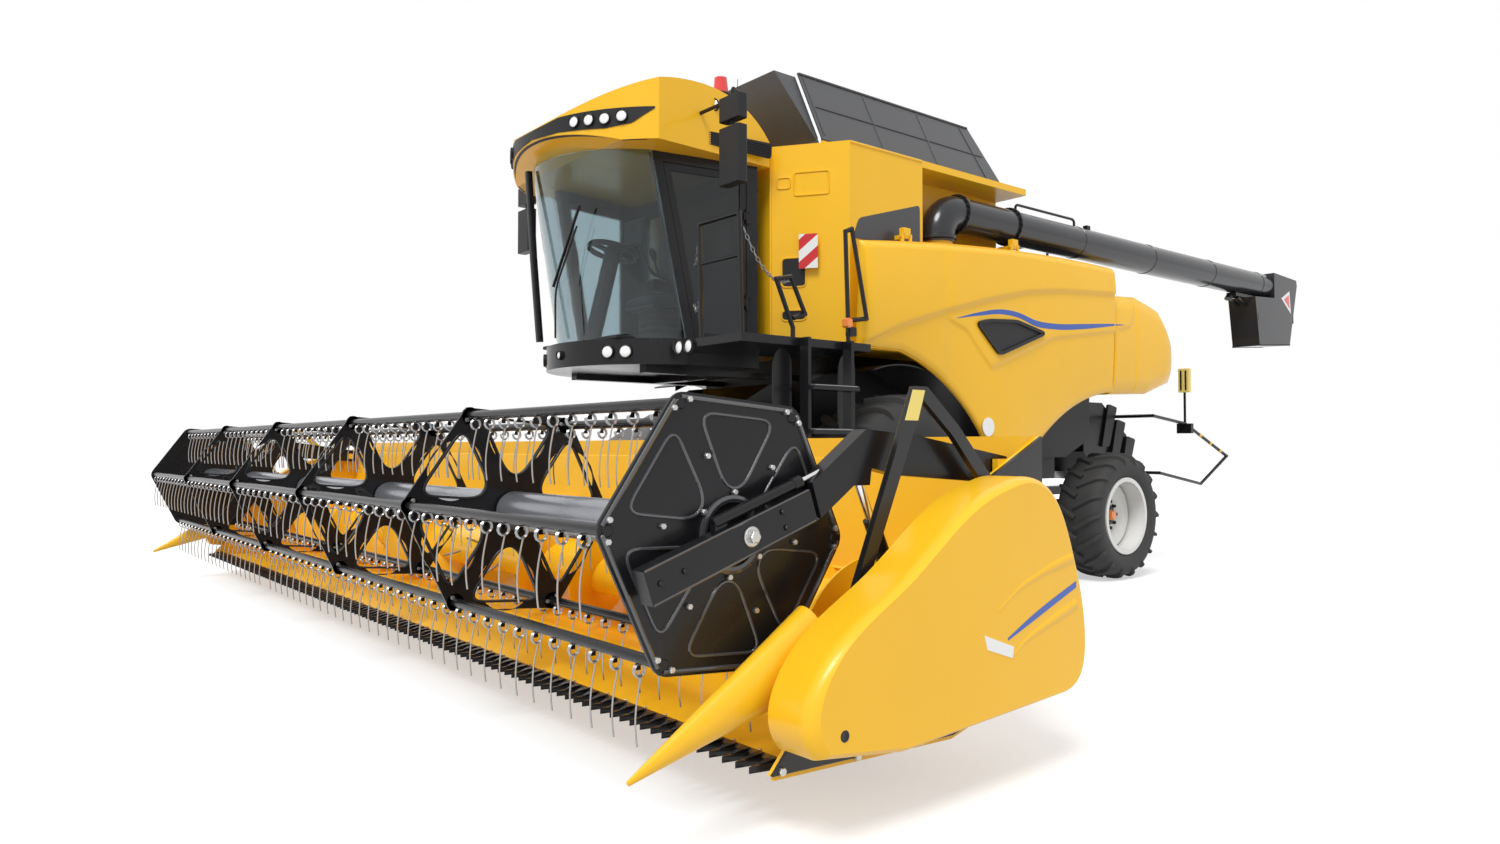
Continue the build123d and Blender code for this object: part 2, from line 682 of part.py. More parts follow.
def side_panel(sign):
    """Large side panel with arched top, wheel cut-outs, low tip and two hinge lugs."""
    inner, outer = sorted((sign * PANEL_X, sign * (PANEL_X + PANEL_THICK)))
    slope = radians(PANEL_HINGE_SLOPE)
    with BuildPart() as panel:
        with BuildSketch(side(inner)):
            with BuildLine():
                ThreePointArc((-530, 3000), (1300, 3165), (3100, 3200))
                Line((3100, 3200), (3165, 1920))
                ThreePointArc((3165, 1920), (2200, 1640), (1500, 1040))
                ThreePointArc((1500, 1040), (1390, 955), (1270, 985))
                ThreePointArc((1270, 985), (750, 1700), (-100, 2140))
                Polyline((-100, 2140), (-590, 2150), (-530, 3000))
            make_face()
        extrude(amount=outer - inner)
        for station in PANEL_HINGE_STATIONS:
            height = hinge_height(station)
            for offset in (-60, 36):
                add(block((inner, outer), (station + offset, station + offset + 24), (height - 90, height + 22)))
            start = point(sign * PANEL_HINGE_X, station - 80 * cos(slope), height - 80 * sin(slope))
            end = point(sign * PANEL_HINGE_X, station + 80 * cos(slope), height + 80 * sin(slope))
            with BuildSketch(along(start, end)):
                Circle(HINGE_PIN_R + FIT)
            extrude(amount=160, mode=Mode.SUBTRACT)
    return panel.part


def panel_brackets():
    """Arms on the tank that hold the side panels' hinge pins."""
    slope = radians(PANEL_HINGE_SLOPE)
    with BuildPart() as brackets:
        for sign in (1, -1):
            for station in PANEL_HINGE_STATIONS:
                height = hinge_height(station)
                recessed = sign > 0 and RECESS_FRONT < station < RECESS_REAR
                inner = TANK_HALF_W - 60 if recessed else TANK_HALF_W
                add(block(sorted((sign * inner, sign * (PANEL_HINGE_X + 8))), (station - 24, station + 24),
                          (height - 18, height + 18)))
                if recessed:
                    add(block((inner, TANK_HALF_W), (station - 24, station + 24), (RECESS_BOTTOM, height)))
                start = point(sign * PANEL_HINGE_X, station - 70 * cos(slope), height - 70 * sin(slope))
                end = point(sign * PANEL_HINGE_X, station + 70 * cos(slope), height + 70 * sin(slope))
                with BuildSketch(along(start, end)):
                    Circle(HINGE_PIN_R)
                extrude(amount=140)
    return brackets.part


def fender(sign):
    """Arched fender over a front wheel with the inner wall of the wheel arch."""
    top = TANK_BOTTOM - SEAT
    x = sorted((sign * FENDER_INNER_X, sign * FENDER_OUTER_X))
    wall = sorted((sign * FENDER_INNER_X, sign * (FENDER_INNER_X + FENDER_THICK)))
    with BuildPart() as arch:
        with BuildSketch(side(x[0])):
            with Locations((0, FRONT_TYRE_R)):
                Circle(FENDER_R + FENDER_THICK)
                Circle(FENDER_R, mode=Mode.SUBTRACT)
            with BuildLine():
                Polyline((0, FRONT_TYRE_R), (2000, FRONT_TYRE_R + 100), (2000, 3000), (-700, 3000), close=True)
            make_face(mode=Mode.INTERSECT)
        extrude(amount=x[1] - x[0])
        with BuildSketch(side(wall[0])):
            with BuildLine():
                Polyline((-500, FRONT_TYRE_R + 200), (1200, FRONT_TYRE_R + 200), (1200, top), (-500, top), close=True)
            make_face()
            with Locations((0, FRONT_TYRE_R)):
                Circle(FENDER_R, mode=Mode.SUBTRACT)
        extrude(amount=FENDER_THICK)
    return arch.part


def rear_hood():
    """Rounded rear hood, open below, with a front frame against the engine bay."""
    profile = [(HOOD_FRONT, 2930), (3700, 2960), (4150, 2860), (4400, 2620), (4470, 2350), (4420, 2080),
               (3900, 1930), (HOOD_FRONT, 1900)]
    inner = [(HOOD_FRONT + HOOD_WALL, 2905), (3700, 2935), (4135, 2838), (4378, 2606), (4444, 2350),
             (4390, 2060), (4300, 1700), (HOOD_FRONT + HOOD_WALL, 1700)]
    with BuildPart() as hood:
        add(slab(profile, -HOOD_HALF_W, HOOD_HALF_W))
        add(slab(inner, -HOOD_HALF_W + HOOD_WALL, HOOD_HALF_W - HOOD_WALL), mode=Mode.SUBTRACT)
        add(block((-BODY_HALF_W - 20, BODY_HALF_W + 20), (HOOD_FRONT - 1, HOOD_FRONT + HOOD_WALL + 1),
                  (1800, ENGINE_DECK_Z + 20)), mode=Mode.SUBTRACT)
    return hood.part


def straw_chopper():
    """Chopper housing under the rear hood."""
    return slab([(BODY_REAR + SEAT, 1300), (BODY_REAR + SEAT, 1880), (4500, 1880), (5050, 1500), (5150, 1150),
                 (4700, 960), (4350, 1060)], -CHOPPER_HALF_W, CHOPPER_HALF_W)


def tow_hitch():
    """Drawbar from the rear cross member to a clevis with an upright bore."""
    low = HITCH_Z - HITCH_GAP / 2 - HITCH_EAR
    high = HITCH_Z + HITCH_GAP / 2 + HITCH_EAR
    with BuildPart() as hitch:
        add(block((-90, 90), (RAIL_REAR - CROSS_DEPTH, HITCH_Y - 100), (HITCH_Z - 50, HITCH_Z + 50)))
        add(block((-90, 90), (RAIL_REAR - CROSS_DEPTH, RAIL_REAR), (HITCH_Z, RAIL_BOTTOM + RAIL_H / 3)))
        add(block((-70, 70), (HITCH_Y - 160, HITCH_Y + 60), (low, high)))
        add(block((-71, 71), (HITCH_Y - 90, HITCH_Y + 61), (HITCH_Z - HITCH_GAP / 2, HITCH_Z + HITCH_GAP / 2)),
            mode=Mode.SUBTRACT)
        with BuildSketch(level(low)):
            with Locations((0, HITCH_Y)):
                Circle(HITCH_BORE_R)
        extrude(amount=high - low, mode=Mode.SUBTRACT)
    return hitch.part


def unloader_turret():
    """Fixed upright stub that carries the unloading auger."""
    with BuildPart() as turret:
        with BuildSketch(level(RECESS_BOTTOM)):
            with Locations((UNLOADER_X, UNLOADER_Y)):
                Circle(UNLOADER_R * 0.9)
        extrude(amount=TURRET_TOP - RECESS_BOTTOM)
    return turret.part


def unloader_elbow():
    """Turning elbow at the foot of the unloading auger."""
    with BuildPart() as elbow:
        with BuildLine():
            Line(point(UNLOADER_X, UNLOADER_Y, TURRET_TOP + SEAT), point(UNLOADER_X, UNLOADER_Y, UNLOADER_Z - ELBOW_R))
            TangentArc(point(UNLOADER_X, UNLOADER_Y, UNLOADER_Z - ELBOW_R),
                       point(UNLOADER_X, UNLOADER_Y + ELBOW_R, UNLOADER_Z), tangent=(0, 0, 1))
        with BuildSketch(level(TURRET_TOP + SEAT)):
            with Locations((UNLOADER_X, UNLOADER_Y)):
                Circle(UNLOADER_R)
        sweep()
    return elbow.part


def unloader_tube():
    """Long tube of the unloading auger with its ring flanges."""
    start = UNLOADER_Y + ELBOW_R
    with BuildPart() as tube:
        with BuildSketch(across(start)):
            with Locations((UNLOADER_X, UNLOADER_Z)):
                Circle(UNLOADER_R)
        extrude(amount=-(UNLOADER_END_Y - start))
        for station in (start, start + 780):
            with BuildSketch(across(station)):
                with Locations((UNLOADER_X, UNLOADER_Z)):
                    Circle(UNLOADER_R * 1.14)
            extrude(amount=-24)
        add(unloader_elbow())
    return tube.part


def unloader_spout():
    """Downward spout at the end of the unloading auger."""
    y = UNLOADER_END_Y
    with BuildPart() as spout:
        add(slab([(y + SEAT, UNLOADER_Z + 160), (REAR_REACH - 20, UNLOADER_Z + 130), (REAR_REACH, UNLOADER_Z + 60),
                  (REAR_REACH - 250, 2700), (y - 450, 2640), (y - 560, UNLOADER_Z - 200),
                  (y + SEAT, UNLOADER_Z - 170)], UNLOADER_X - 170, UNLOADER_X + 170))
    return spout.part


def cab_plan(rear, front_corner, front_centre, half_rear, half_front):
    """Plan of the cab with a bowed front."""
    with BuildSketch(level(0)) as plan:
        with BuildLine():
            Polyline((-half_front, front_corner), (-half_rear, rear), (half_rear, rear), (half_front, front_corner))
            ThreePointArc((half_front, front_corner), (0, front_centre), (-half_front, front_corner))
        make_face()
    return plan.sketch


def cab_support():
    """Two beams from the threshing body that carry the cab."""
    low = CAB_FLOOR - CAB_BASE_H - 50
    with BuildPart() as support:
        add(both(block((500, 590), (-1900, BODY_FRONT - SEAT), (low, low + 50))))
        add(block((-590, 590), (-1100, -1000), (low, low + 50)))
    return support.part


def cab_base():
    """Cab floor box with the dark lower band round its front."""
    with BuildPart() as base:
        add(cab_plan(CAB_REAR + 20, -1720, -2330, CAB_HALF_W, 900).moved(Location((0, 0, CAB_FLOOR - CAB_BASE_H))))
        extrude(amount=CAB_BASE_H)
        add(cab_support())
    return base.part


def cab_side_plane(sign):
    """Plane of a cab side, drawn as (distance ahead of the rear corner, height); it extrudes inwards."""
    turn = radians(CAB_SIDE_ANGLE)
    along_side = Vector(-sign * sin(turn), -cos(turn), 0)
    return Plane(origin=point(sign * CAB_HALF_W, CAB_REAR, 0), x_dir=along_side, z_dir=along_side.cross(Vector(0, 0, 1)))


def cab_side_piece(sign, outline, hole, depth_from, depth_to):
    """Flat piece in a cab side with an optional hole."""
    direction = 1 if sign > 0 else -1
    with BuildPart() as piece:
        with BuildSketch(cab_side_plane(sign).offset(direction * depth_from)):
            with BuildLine():
                Polyline(*outline, close=True)
            make_face()
            if hole:
                with BuildLine():
                    Polyline(*hole, close=True)
                make_face(mode=Mode.SUBTRACT)
        extrude(amount=direction * (depth_to - depth_from))
    return piece.part


def door_outline(inset):
    """Cab door outline, set in from its edge."""
    lean = (DOOR_TOP_U - DOOR_BOTTOM_U) / (DOOR_TOP - DOOR_BOTTOM)
    return [
        (DOOR_REAR + inset, DOOR_BOTTOM + inset), (DOOR_BOTTOM_U - inset + lean * inset, DOOR_BOTTOM + inset),
        (DOOR_TOP_U - inset - lean * inset, DOOR_TOP - inset), (DOOR_REAR + inset, DOOR_TOP - inset),
    ]


def cab_frame():
    """Cab frame: rear wall with its window, corner posts, front posts and top rails."""
    wall = (CAB_REAR - CAB_WALL, CAB_REAR)
    lean = (DOOR_TOP_U - DOOR_BOTTOM_U) / (DOOR_TOP - DOOR_BOTTOM)
    with BuildPart() as frame:
        add(block((-CAB_HALF_W + 40, CAB_HALF_W - 40), wall, (CAB_FLOOR, CAB_CEILING)))
        add(block((-620, 620), (wall[0] - 1, wall[1] + 1), (2900, 3480)), mode=Mode.SUBTRACT)
        for sign in (1, -1):
            rear_post = [(0, CAB_FLOOR), (DOOR_REAR - CLEAR, CAB_FLOOR), (DOOR_REAR - CLEAR, CAB_CEILING), (0, CAB_CEILING)]
            low_u = DOOR_BOTTOM_U + CLEAR - lean * (DOOR_BOTTOM - CAB_FLOOR)
            high_u = DOOR_TOP_U + CLEAR + lean * (CAB_CEILING - DOOR_TOP)
            front_post = [(low_u, CAB_FLOOR), (low_u + POST, CAB_FLOOR), (high_u + POST, CAB_CEILING), (high_u, CAB_CEILING)]
            rail = [(0, DOOR_TOP + CLEAR), (high_u + POST * 0.9, DOOR_TOP + CLEAR), (high_u + POST, CAB_CEILING), (0, CAB_CEILING)]
            for outline in (rear_post, front_post, rail):
                add(cab_side_piece(sign, outline, None, 0, POST))
        add(cab_side_piece(-1, door_outline(-2 * CLEAR), door_outline(DOOR_FRAME), 4, 4 + DOOR_THICK))
        add(block((-CAB_HALF_W - 100, CAB_HALF_W), (-2500, CAB_REAR), (CAB_FLOOR - 50, CAB_FLOOR)), mode=Mode.SUBTRACT)
        for height in DOOR_HINGE_HEIGHTS:
            for low in (height - DOOR_HINGE_H, height + DOOR_HINGE_H / 2 + 2):
                add(door_hinge_block((DOOR_REAR - 30, DOOR_REAR + 7), (-DOOR_HINGE_OUT - 8, 1),
                                     (low, low + DOOR_HINGE_H / 2 - 2)))
            add(door_hinge_pin(height, DOOR_HINGE_H, DOOR_PIN_R))
    return frame.part


def door_hinge_block(u, depth, z):
    """Box on the left cab side, from its distance ahead of the rear corner, depth inwards and height."""
    outline = [(u[0], z[0]), (u[1], z[0]), (u[1], z[1]), (u[0], z[1])]
    return cab_side_piece(1, outline, None, *depth)


def door_hinge_pin(height, half_length, radius):
    """Upright round bar on the door's hinge axis."""
    spot = cab_side_plane(1).offset(-DOOR_HINGE_OUT).from_local_coords(Vector(DOOR_REAR, height, 0))
    rise = Vector(0, 0, half_length)
    return round_bar(spot - rise, spot + rise, radius)


def cab_door():
    """Left door frame with its two hinge barrels."""
    with BuildPart() as door:
        add(cab_side_piece(1, door_outline(0), door_outline(DOOR_FRAME), 4, 4 + DOOR_THICK))
        for height in DOOR_HINGE_HEIGHTS:
            half = DOOR_HINGE_H / 2
            add(door_hinge_block((DOOR_REAR, DOOR_REAR + 24), (-DOOR_HINGE_OUT, 10), (height - half, height + half)))
            add(door_hinge_pin(height, half, DOOR_PIN_R * 2))
            add(door_hinge_pin(height, half + 1, DOOR_PIN_R + FIT), mode=Mode.SUBTRACT)
    return door.part


def door_glass(sign):
    """Pane in a door frame."""
    return cab_side_piece(sign, door_outline(DOOR_FRAME + SEAT), None, 14, 14 + GLASS_THICK)


def screen_section(z, corner_x, corner_y, centre_y):
    """Curved strip of the windscreen at one height."""
    with BuildSketch(level(z)) as strip:
        with BuildLine():
            ThreePointArc((-corner_x, corner_y), (0, centre_y), (corner_x, corner_y))
            Line((corner_x, corner_y), (corner_x, corner_y + GLASS_THICK * 1.3))
            ThreePointArc((corner_x, corner_y + GLASS_THICK * 1.3), (0, centre_y + GLASS_THICK),
                          (-corner_x, corner_y + GLASS_THICK * 1.3))
            Line((-corner_x, corner_y + GLASS_THICK * 1.3), (-corner_x, corner_y))
        make_face()
    return strip.sketch


def post_front(z):
    """Place of the front face of a front post at a height: x and station."""
    lean = (DOOR_TOP_U - DOOR_BOTTOM_U) / (DOOR_TOP - DOOR_BOTTOM)
    u = DOOR_BOTTOM_U + CLEAR + POST + lean * (z - DOOR_BOTTOM)
    turn = radians(CAB_SIDE_ANGLE)
    return CAB_HALF_W - u * sin(turn), CAB_REAR - u * cos(turn)


def windscreen():
    """Bowed windscreen between the front posts."""
    low_x, low_y = post_front(CAB_FLOOR)
    high_x, high_y = post_front(CAB_CEILING)
    with BuildPart() as screen:
        add(screen_section(CAB_FLOOR, low_x, low_y - SCREEN_GAP, SCREEN_BOTTOM_Y))
        add(screen_section(CAB_CEILING, high_x, high_y - SCREEN_GAP, SCREEN_TOP_Y))
        loft()
    return screen.part


def rear_glass():
    """Rear window of the cab."""
    return block((-620 + SEAT, 620 - SEAT), (CAB_REAR - CAB_WALL, CAB_REAR - CAB_WALL + GLASS_THICK), (2900 + SEAT, 3480 - SEAT))


def cab_roof():
    """Roof with a bowed visor, from its plan and its side profile."""
    with BuildPart() as roof:
        add(cab_plan(CAB_REAR + 90, -2100, -2600, 1000, 1060).moved(Location((0, 0, CAB_CEILING))))
        extrude(amount=600)
        with BuildSketch(side(-1200)):
            with BuildLine():
                Spline((-960, 3830), (-1300, 4090), (-1900, 4140), (-2350, 4010), (-2610, 3850))
                Polyline((-2610, 3850), (-2590, 3760), (-2300, CAB_CEILING), (-960, CAB_CEILING), (-960, 3830))
            make_face()
        extrude(amount=2400, mode=Mode.INTERSECT)
        pad_x = (BEACON_X - BEACON_R - 8, BEACON_X + BEACON_R + 8)
        pad_y = (BEACON_Y - BEACON_R - 8, BEACON_Y + BEACON_R + 8)
        add(both(block(pad_x, pad_y, (BEACON_Z - 120, BEACON_Z - SEAT))))
    return roof.part


def operator_seat():
    """Seat on its pedestal."""
    with BuildPart() as seat:
        add(block((-150, 150), (-1480, -1250), (CAB_FLOOR, CAB_FLOOR + 330)))
        add(block((-260, 260), (-1620, -1160), (CAB_FLOOR + 330, CAB_FLOOR + 450)))
        add(block((-250, 250), (-1250, -1130), (CAB_FLOOR + 450, CAB_FLOOR + 1080)))
        add(block((260, 400), (-1700, -1250), (CAB_FLOOR + 480, CAB_FLOOR + 560)))
        add(block((258, 300), (-1400, -1300), (CAB_FLOOR + 400, CAB_FLOOR + 500)))
    return seat.part


def steering_column():
    """Column with its steering wheel."""
    foot = point(0, -2050, CAB_FLOOR)
    head = point(0, -1850, CAB_FLOOR + 780)
    with BuildPart() as column:
        add(bar(foot, head, 70, 8))
        with BuildSketch(Plane(origin=head, z_dir=head - foot)):
            Circle(215)
            Circle(190, mode=Mode.SUBTRACT)
            Rectangle(400, 40)
            Circle(75)
        extrude(amount=30)
    with BuildPart() as trimmed:
        add(column.part)
        add(block((-400, 400), (-2500, -1500), (CAB_FLOOR - 200, CAB_FLOOR)), mode=Mode.SUBTRACT)
    return trimmed.part


def platform():
    """Boarding platform beside the cab."""
    with BuildPart() as deck:
        add(block((CAB_HALF_W + SEAT, PLATFORM_OUTER_X), (PLATFORM_FRONT, PLATFORM_REAR),
                  (TANK_BOTTOM - PLATFORM_THICK, TANK_BOTTOM)))
    return deck.part


def ladder():
    """Boarding ladder on the platform's outer edge."""
    x = (PLATFORM_OUTER_X + SEAT, PLATFORM_OUTER_X + 90)
    top = TANK_BOTTOM - PLATFORM_THICK
    with BuildPart() as steps:
        for y in (LADDER_FRONT, LADDER_REAR - 30):
            add(block(x, (y, y + 30), (LADDER_BOTTOM, TANK_BOTTOM)))
        for index in range(LADDER_STEPS):
            z = LADDER_BOTTOM + index * (top - LADDER_BOTTOM) / LADDER_STEPS
            add(block((x[0], x[1] + 60), (LADDER_FRONT, LADDER_REAR), (z, z + 30)))
    return steps.part


def handrails():
    """Tube rails round the platform."""
    r = RAIL_TUBE_R
    top = TANK_BOTTOM + 3 * SEAT
    with BuildPart() as rails:
        add(tube_run([point(1280, -1870, top), point(1250, -1870, 3000), point(1720, -1870, 3000), point(1750, -1870, top)], r))
        add(bar(point(1260, -1870, 2700), point(1740, -1870, 2700), r * 0.7))
        add(tube_run([point(1760, -1400, top), point(1760, -1400, 2220), point(1760, -1560, 2560), point(1760, -1420, 2590), point(1760, -1280, 2330),
                      point(1760, -1400, 2290)], r))
        add(tube_run([point(1760, -830, top), point(1760, -830, 2220), point(1760, -860, 3000), point(1760, -790, 3030), point(1760, -630, 2350),
                      point(1760, -830, 2320)], r))
    return rails.part


def feeder_house():
    """Hollow feeder channel with its pivot pins and lift pins."""
    outline = [(-620, 1900), (-430, 1850), (-400, 1500), (-430, 1300), (FEEDER_FRONT, 400), (FEEDER_FRONT, 980)]
    inner = [(-640, 1870), (-380, 1830), (-380, 1330), (FEEDER_FRONT - 1, 424), (FEEDER_FRONT - 1, 958)]
    with BuildPart() as feeder:
        add(slab(outline, -FEEDER_HALF_W, FEEDER_HALF_W))
        add(slab(inner, -FEEDER_HALF_W + FEEDER_WALL, FEEDER_HALF_W - FEEDER_WALL), mode=Mode.SUBTRACT)
        add(both(cross_pin(FEEDER_HALF_W - FEEDER_WALL, FEEDER_HALF_W + 130, FEEDER_PIVOT, FEEDER_PIN_R)))
        add(both(cross_pin(FEEDER_HALF_W - FEEDER_WALL, LIFT_X + EYE_WIDTH / 2 + 10, LIFT_EYE, LIFT_PIN_R)))
    return feeder.part


def header_frame():
    """Header table: pan, trough and back sheet as one bent sheet, top beam and end sheets."""
    back = HEADER_BACK_Y
    with BuildPart() as frame:
        with BuildSketch(side(-HEADER_HALF_W)):
            with BuildLine():
                Polyline((KNIFE_Y + SHEET / 2, KNIFE_Z - 10), (-3350, KNIFE_Z - 25))
                Line((-3350, KNIFE_Z - 25), (-3180, 235))
                ThreePointArc((-3180, 235), (-2830, 240), (back - 60, 560))
                Polyline((back - 60, 560), (back, HEADER_TOP_Z - BEAM))
                offset(amount=SHEET / 2)
            make_face()
        extrude(amount=2 * HEADER_HALF_W)
        add(block((-HEADER_HALF_W, HEADER_HALF_W), (back, back + BEAM), (HEADER_TOP_Z - BEAM, HEADER_TOP_Z)))
        add(block((-FEEDER_HALF_W + FEEDER_WALL, FEEDER_HALF_W - FEEDER_WALL), (back - 200, back + 30), (430, 950)),
            mode=Mode.SUBTRACT)
        collar = (back - 90, FEEDER_FRONT - SEAT)
        for x in ((-FEEDER_HALF_W, -FEEDER_HALF_W + FEEDER_WALL), (FEEDER_HALF_W - FEEDER_WALL, FEEDER_HALF_W)):
            add(block(x, collar, (420, 970)))
        add(block((-FEEDER_HALF_W, FEEDER_HALF_W), collar, (955, 975)))
        sheet_outline = [(-3960, 225), (-3760, 440), (-3625, 500), (-3655, 700), (-3500, 800), (-2900, 1150),
                         (back + BEAM, HEADER_TOP_Z), (back + BEAM, 700), (-2420, 330), (-3000, 190)]
        for x in (HEADER_HALF_W, -HEADER_HALF_W - END_SHEET):
            add(slab(sheet_outline, x, x + END_SHEET))
            for spot in SHIELD_PADS:
                pad_x = (SHIELD_X - SEAT) if x > 0 else -(HEADER_HALF_W + END_SHEET / 2)
                add(cross_pin(pad_x - (SHIELD_X - HEADER_HALF_W - END_SHEET / 2) if x > 0 else -(SHIELD_X - SEAT),
                              pad_x, spot, 40))
        for x in (HEADER_HALF_W + END_SHEET / 2, -HEADER_HALF_W - END_SHEET / 2 - STRUT_THICK):
            for outline in (STRUT_FRONT, STRUT_REAR):
                add(slab(outline, x, x + STRUT_THICK))
        for sign in (1, -1):
            bore = cross_pin(min(sign * 4400, sign * 4520), max(sign * 4400, sign * 4520), (AUGER_Y, AUGER_Z), AUGER_STUB_R + FIT)
            add(bore, mode=Mode.SUBTRACT)
            ear = sorted((sign * (ARM_X + EYE_WIDTH / 2 + CLEAR), sign * HEADER_HALF_W))
            add(slab([(REEL_LIFT_BASE[0] - 60, REEL_LIFT_BASE[1] - 60), (REEL_LIFT_BASE[0] + 60, REEL_LIFT_BASE[1] - 60),
                      (REEL_LIFT_BASE[0] + 60, REEL_LIFT_BASE[1] + 40), (REEL_LIFT_BASE[0] - 60, REEL_LIFT_BASE[1] + 40)], *ear))
            pin = sorted((sign * (ARM_X - EYE_WIDTH / 2), sign * (ARM_X + EYE_WIDTH / 2 + CLEAR)))
            add(cross_pin(*pin, REEL_LIFT_BASE, REEL_LIFT_PIN_R))
            post = sorted((sign * (ARM_X + ARM_W / 2 + CLEAR), sign * HEADER_HALF_W))
            add(slab([(ARM_PIVOT[0] - 50, 1100), (ARM_PIVOT[0] + 70, 1100), (ARM_PIVOT[0] + 70, ARM_PIVOT[1] + 50),
                      (ARM_PIVOT[0] - 50, ARM_PIVOT[1] + 50)], *post))
            pin = sorted((sign * (ARM_X - ARM_W / 2 - 10), sign * (ARM_X + ARM_W / 2 + CLEAR)))
            add(cross_pin(*pin, ARM_PIVOT, ARM_PIN_R))
    return frame.part


def knife():
    """Row of pointed knife guards on its bar, cut as one comb."""
    half = HEADER_HALF_W - CLEAR
    count = int(2 * half / GUARD_PITCH)
    start = -count * GUARD_PITCH / 2
    points = [(-half, KNIFE_Y - SEAT), (-half, KNIFE_Y - 45)]
    for index in range(count):
        x = start + index * GUARD_PITCH
        points += [(x + 14, KNIFE_Y - 45), (x + GUARD_PITCH / 2, KNIFE_Y - GUARD_LENGTH), (x + GUARD_PITCH - 14, KNIFE_Y - 45)]
    points += [(half, KNIFE_Y - 45), (half, KNIFE_Y - SEAT)]
    with BuildPart() as comb:
        with BuildSketch(level(KNIFE_Z - GUARD_THICK / 2)):
            with BuildLine():
                Polyline(*points, close=True)
            make_face()
        extrude(amount=GUARD_THICK)
    return comb.part


def header_auger():
    """Intake auger: tube on stub shafts with left and right hand flights that feed the middle."""
    inner = FLIGHT_CLEAR_HALF_W
    middle, height = (FLIGHT_R + AUGER_TUBE_R) / 2, FLIGHT_R - AUGER_TUBE_R
    with BuildPart() as auger:
        add(cross_pin(-AUGER_HALF_W, AUGER_HALF_W, (AUGER_Y, AUGER_Z), AUGER_TUBE_R))
        add(cross_pin(-HEADER_HALF_W - END_SHEET, HEADER_HALF_W + END_SHEET, (AUGER_Y, AUGER_Z), AUGER_STUB_R))
        for sign in (1, -1):
            foot = point(sign * inner, AUGER_Y, AUGER_Z)
            with BuildPart() as flight:
                with BuildLine() as path:
                    Helix(FLIGHT_PITCH, AUGER_HALF_W - inner - FLIGHT_THICK, middle, center=foot,
                          direction=(sign, 0, 0), lefthand=sign > 0)
                start = path.line @ 0
                with BuildSketch(Plane(origin=start, x_dir=start - foot, z_dir=path.line % 0)):
                    Rectangle(height + 6, FLIGHT_THICK)
                sweep(is_frenet=True)
            add(flight.part)
    return auger.part


def shield_outline(size):
    """Side outline of the end shield round its own middle, times a size."""
    with BuildSketch() as outline:
        with BuildLine():
            Spline((-760, -410), (-810, -290), (-750, -140), (-360, 130), (20, 380), (280, 475))
            Spline((280, 475), (580, 420), (720, 160), (800, -140), (770, -350), (640, -410))
            Polyline((640, -410), (-360, -460), (-760, -410))
        make_face()
        scale(by=size)
    return outline.sketch


def header_shield(sign):
    """Large end shield over the header's drives, moulded thin, its outer edge drawn in."""
    face = SHIELD_X + SHIELD_DEPTH
    rounded = face - SHIELD_ROUND
    with BuildPart() as shield:
        add(shield_slice(1.0, *sorted((sign * SHIELD_X, sign * rounded))))
        for x, size in ((rounded, 1.0), (face - SHIELD_ROUND * 0.3, 0.985), (face, 0.95)):
            with BuildSketch(side(sign * x)):
                add(shield_outline(size).moved(Location(SHIELD_CENTRE)))
        loft()
        cut = sorted((sign * (SHIELD_X + SHIELD_WALL), sign * (face - SHIELD_WALL * 2)))
        add(shield_slice(SHIELD_INNER, *cut), mode=Mode.SUBTRACT)
    return shield.part


def shield_slice(size, x_from, x_to):
    """Prism of the shield outline between two x values."""
    with BuildPart() as piece:
        with BuildSketch(side(x_from)):
            add(shield_outline(size).moved(Location(SHIELD_CENTRE)))
        extrude(amount=x_to - x_from)
    return piece.part


def header_divider(sign):
    """Pointed crop divider at the header's front corner."""
    tail = point(sign * DIVIDER_X, *DIVIDER_TAIL)
    tip = point(sign * DIVIDER_X, -FRONT_REACH, 300)
    with BuildPart() as divider:
        with BuildSketch(Plane(origin=tail, x_dir=(1, 0, 0), z_dir=tip - tail)):
            Ellipse(DIVIDER_HALF_W, DIVIDER_HALF_H)
        with BuildSketch(Plane(origin=tip, x_dir=(1, 0, 0), z_dir=tip - tail)):
            Ellipse(DIVIDER_HALF_W / 16, DIVIDER_HALF_H / 16)
        loft(ruled=True)
        tongue = sorted((sign * DIVIDER_X, sign * (HEADER_HALF_W - SEAT)))
        add(slab([(-3740, 600), (-3480, 560), (-3420, 660), (-3460, 760), (-3690, 720)], *tongue))
    return divider.part


def reel_bar_spots():
    """Places of the six tine bars in the side view."""
    return [
        (REEL_Y + REEL_R * cos(radians(REEL_PHASE + 60 * i)), REEL_Z + REEL_R * sin(radians(REEL_PHASE + 60 * i)))
        for i in range(REEL_BARS)
    ]


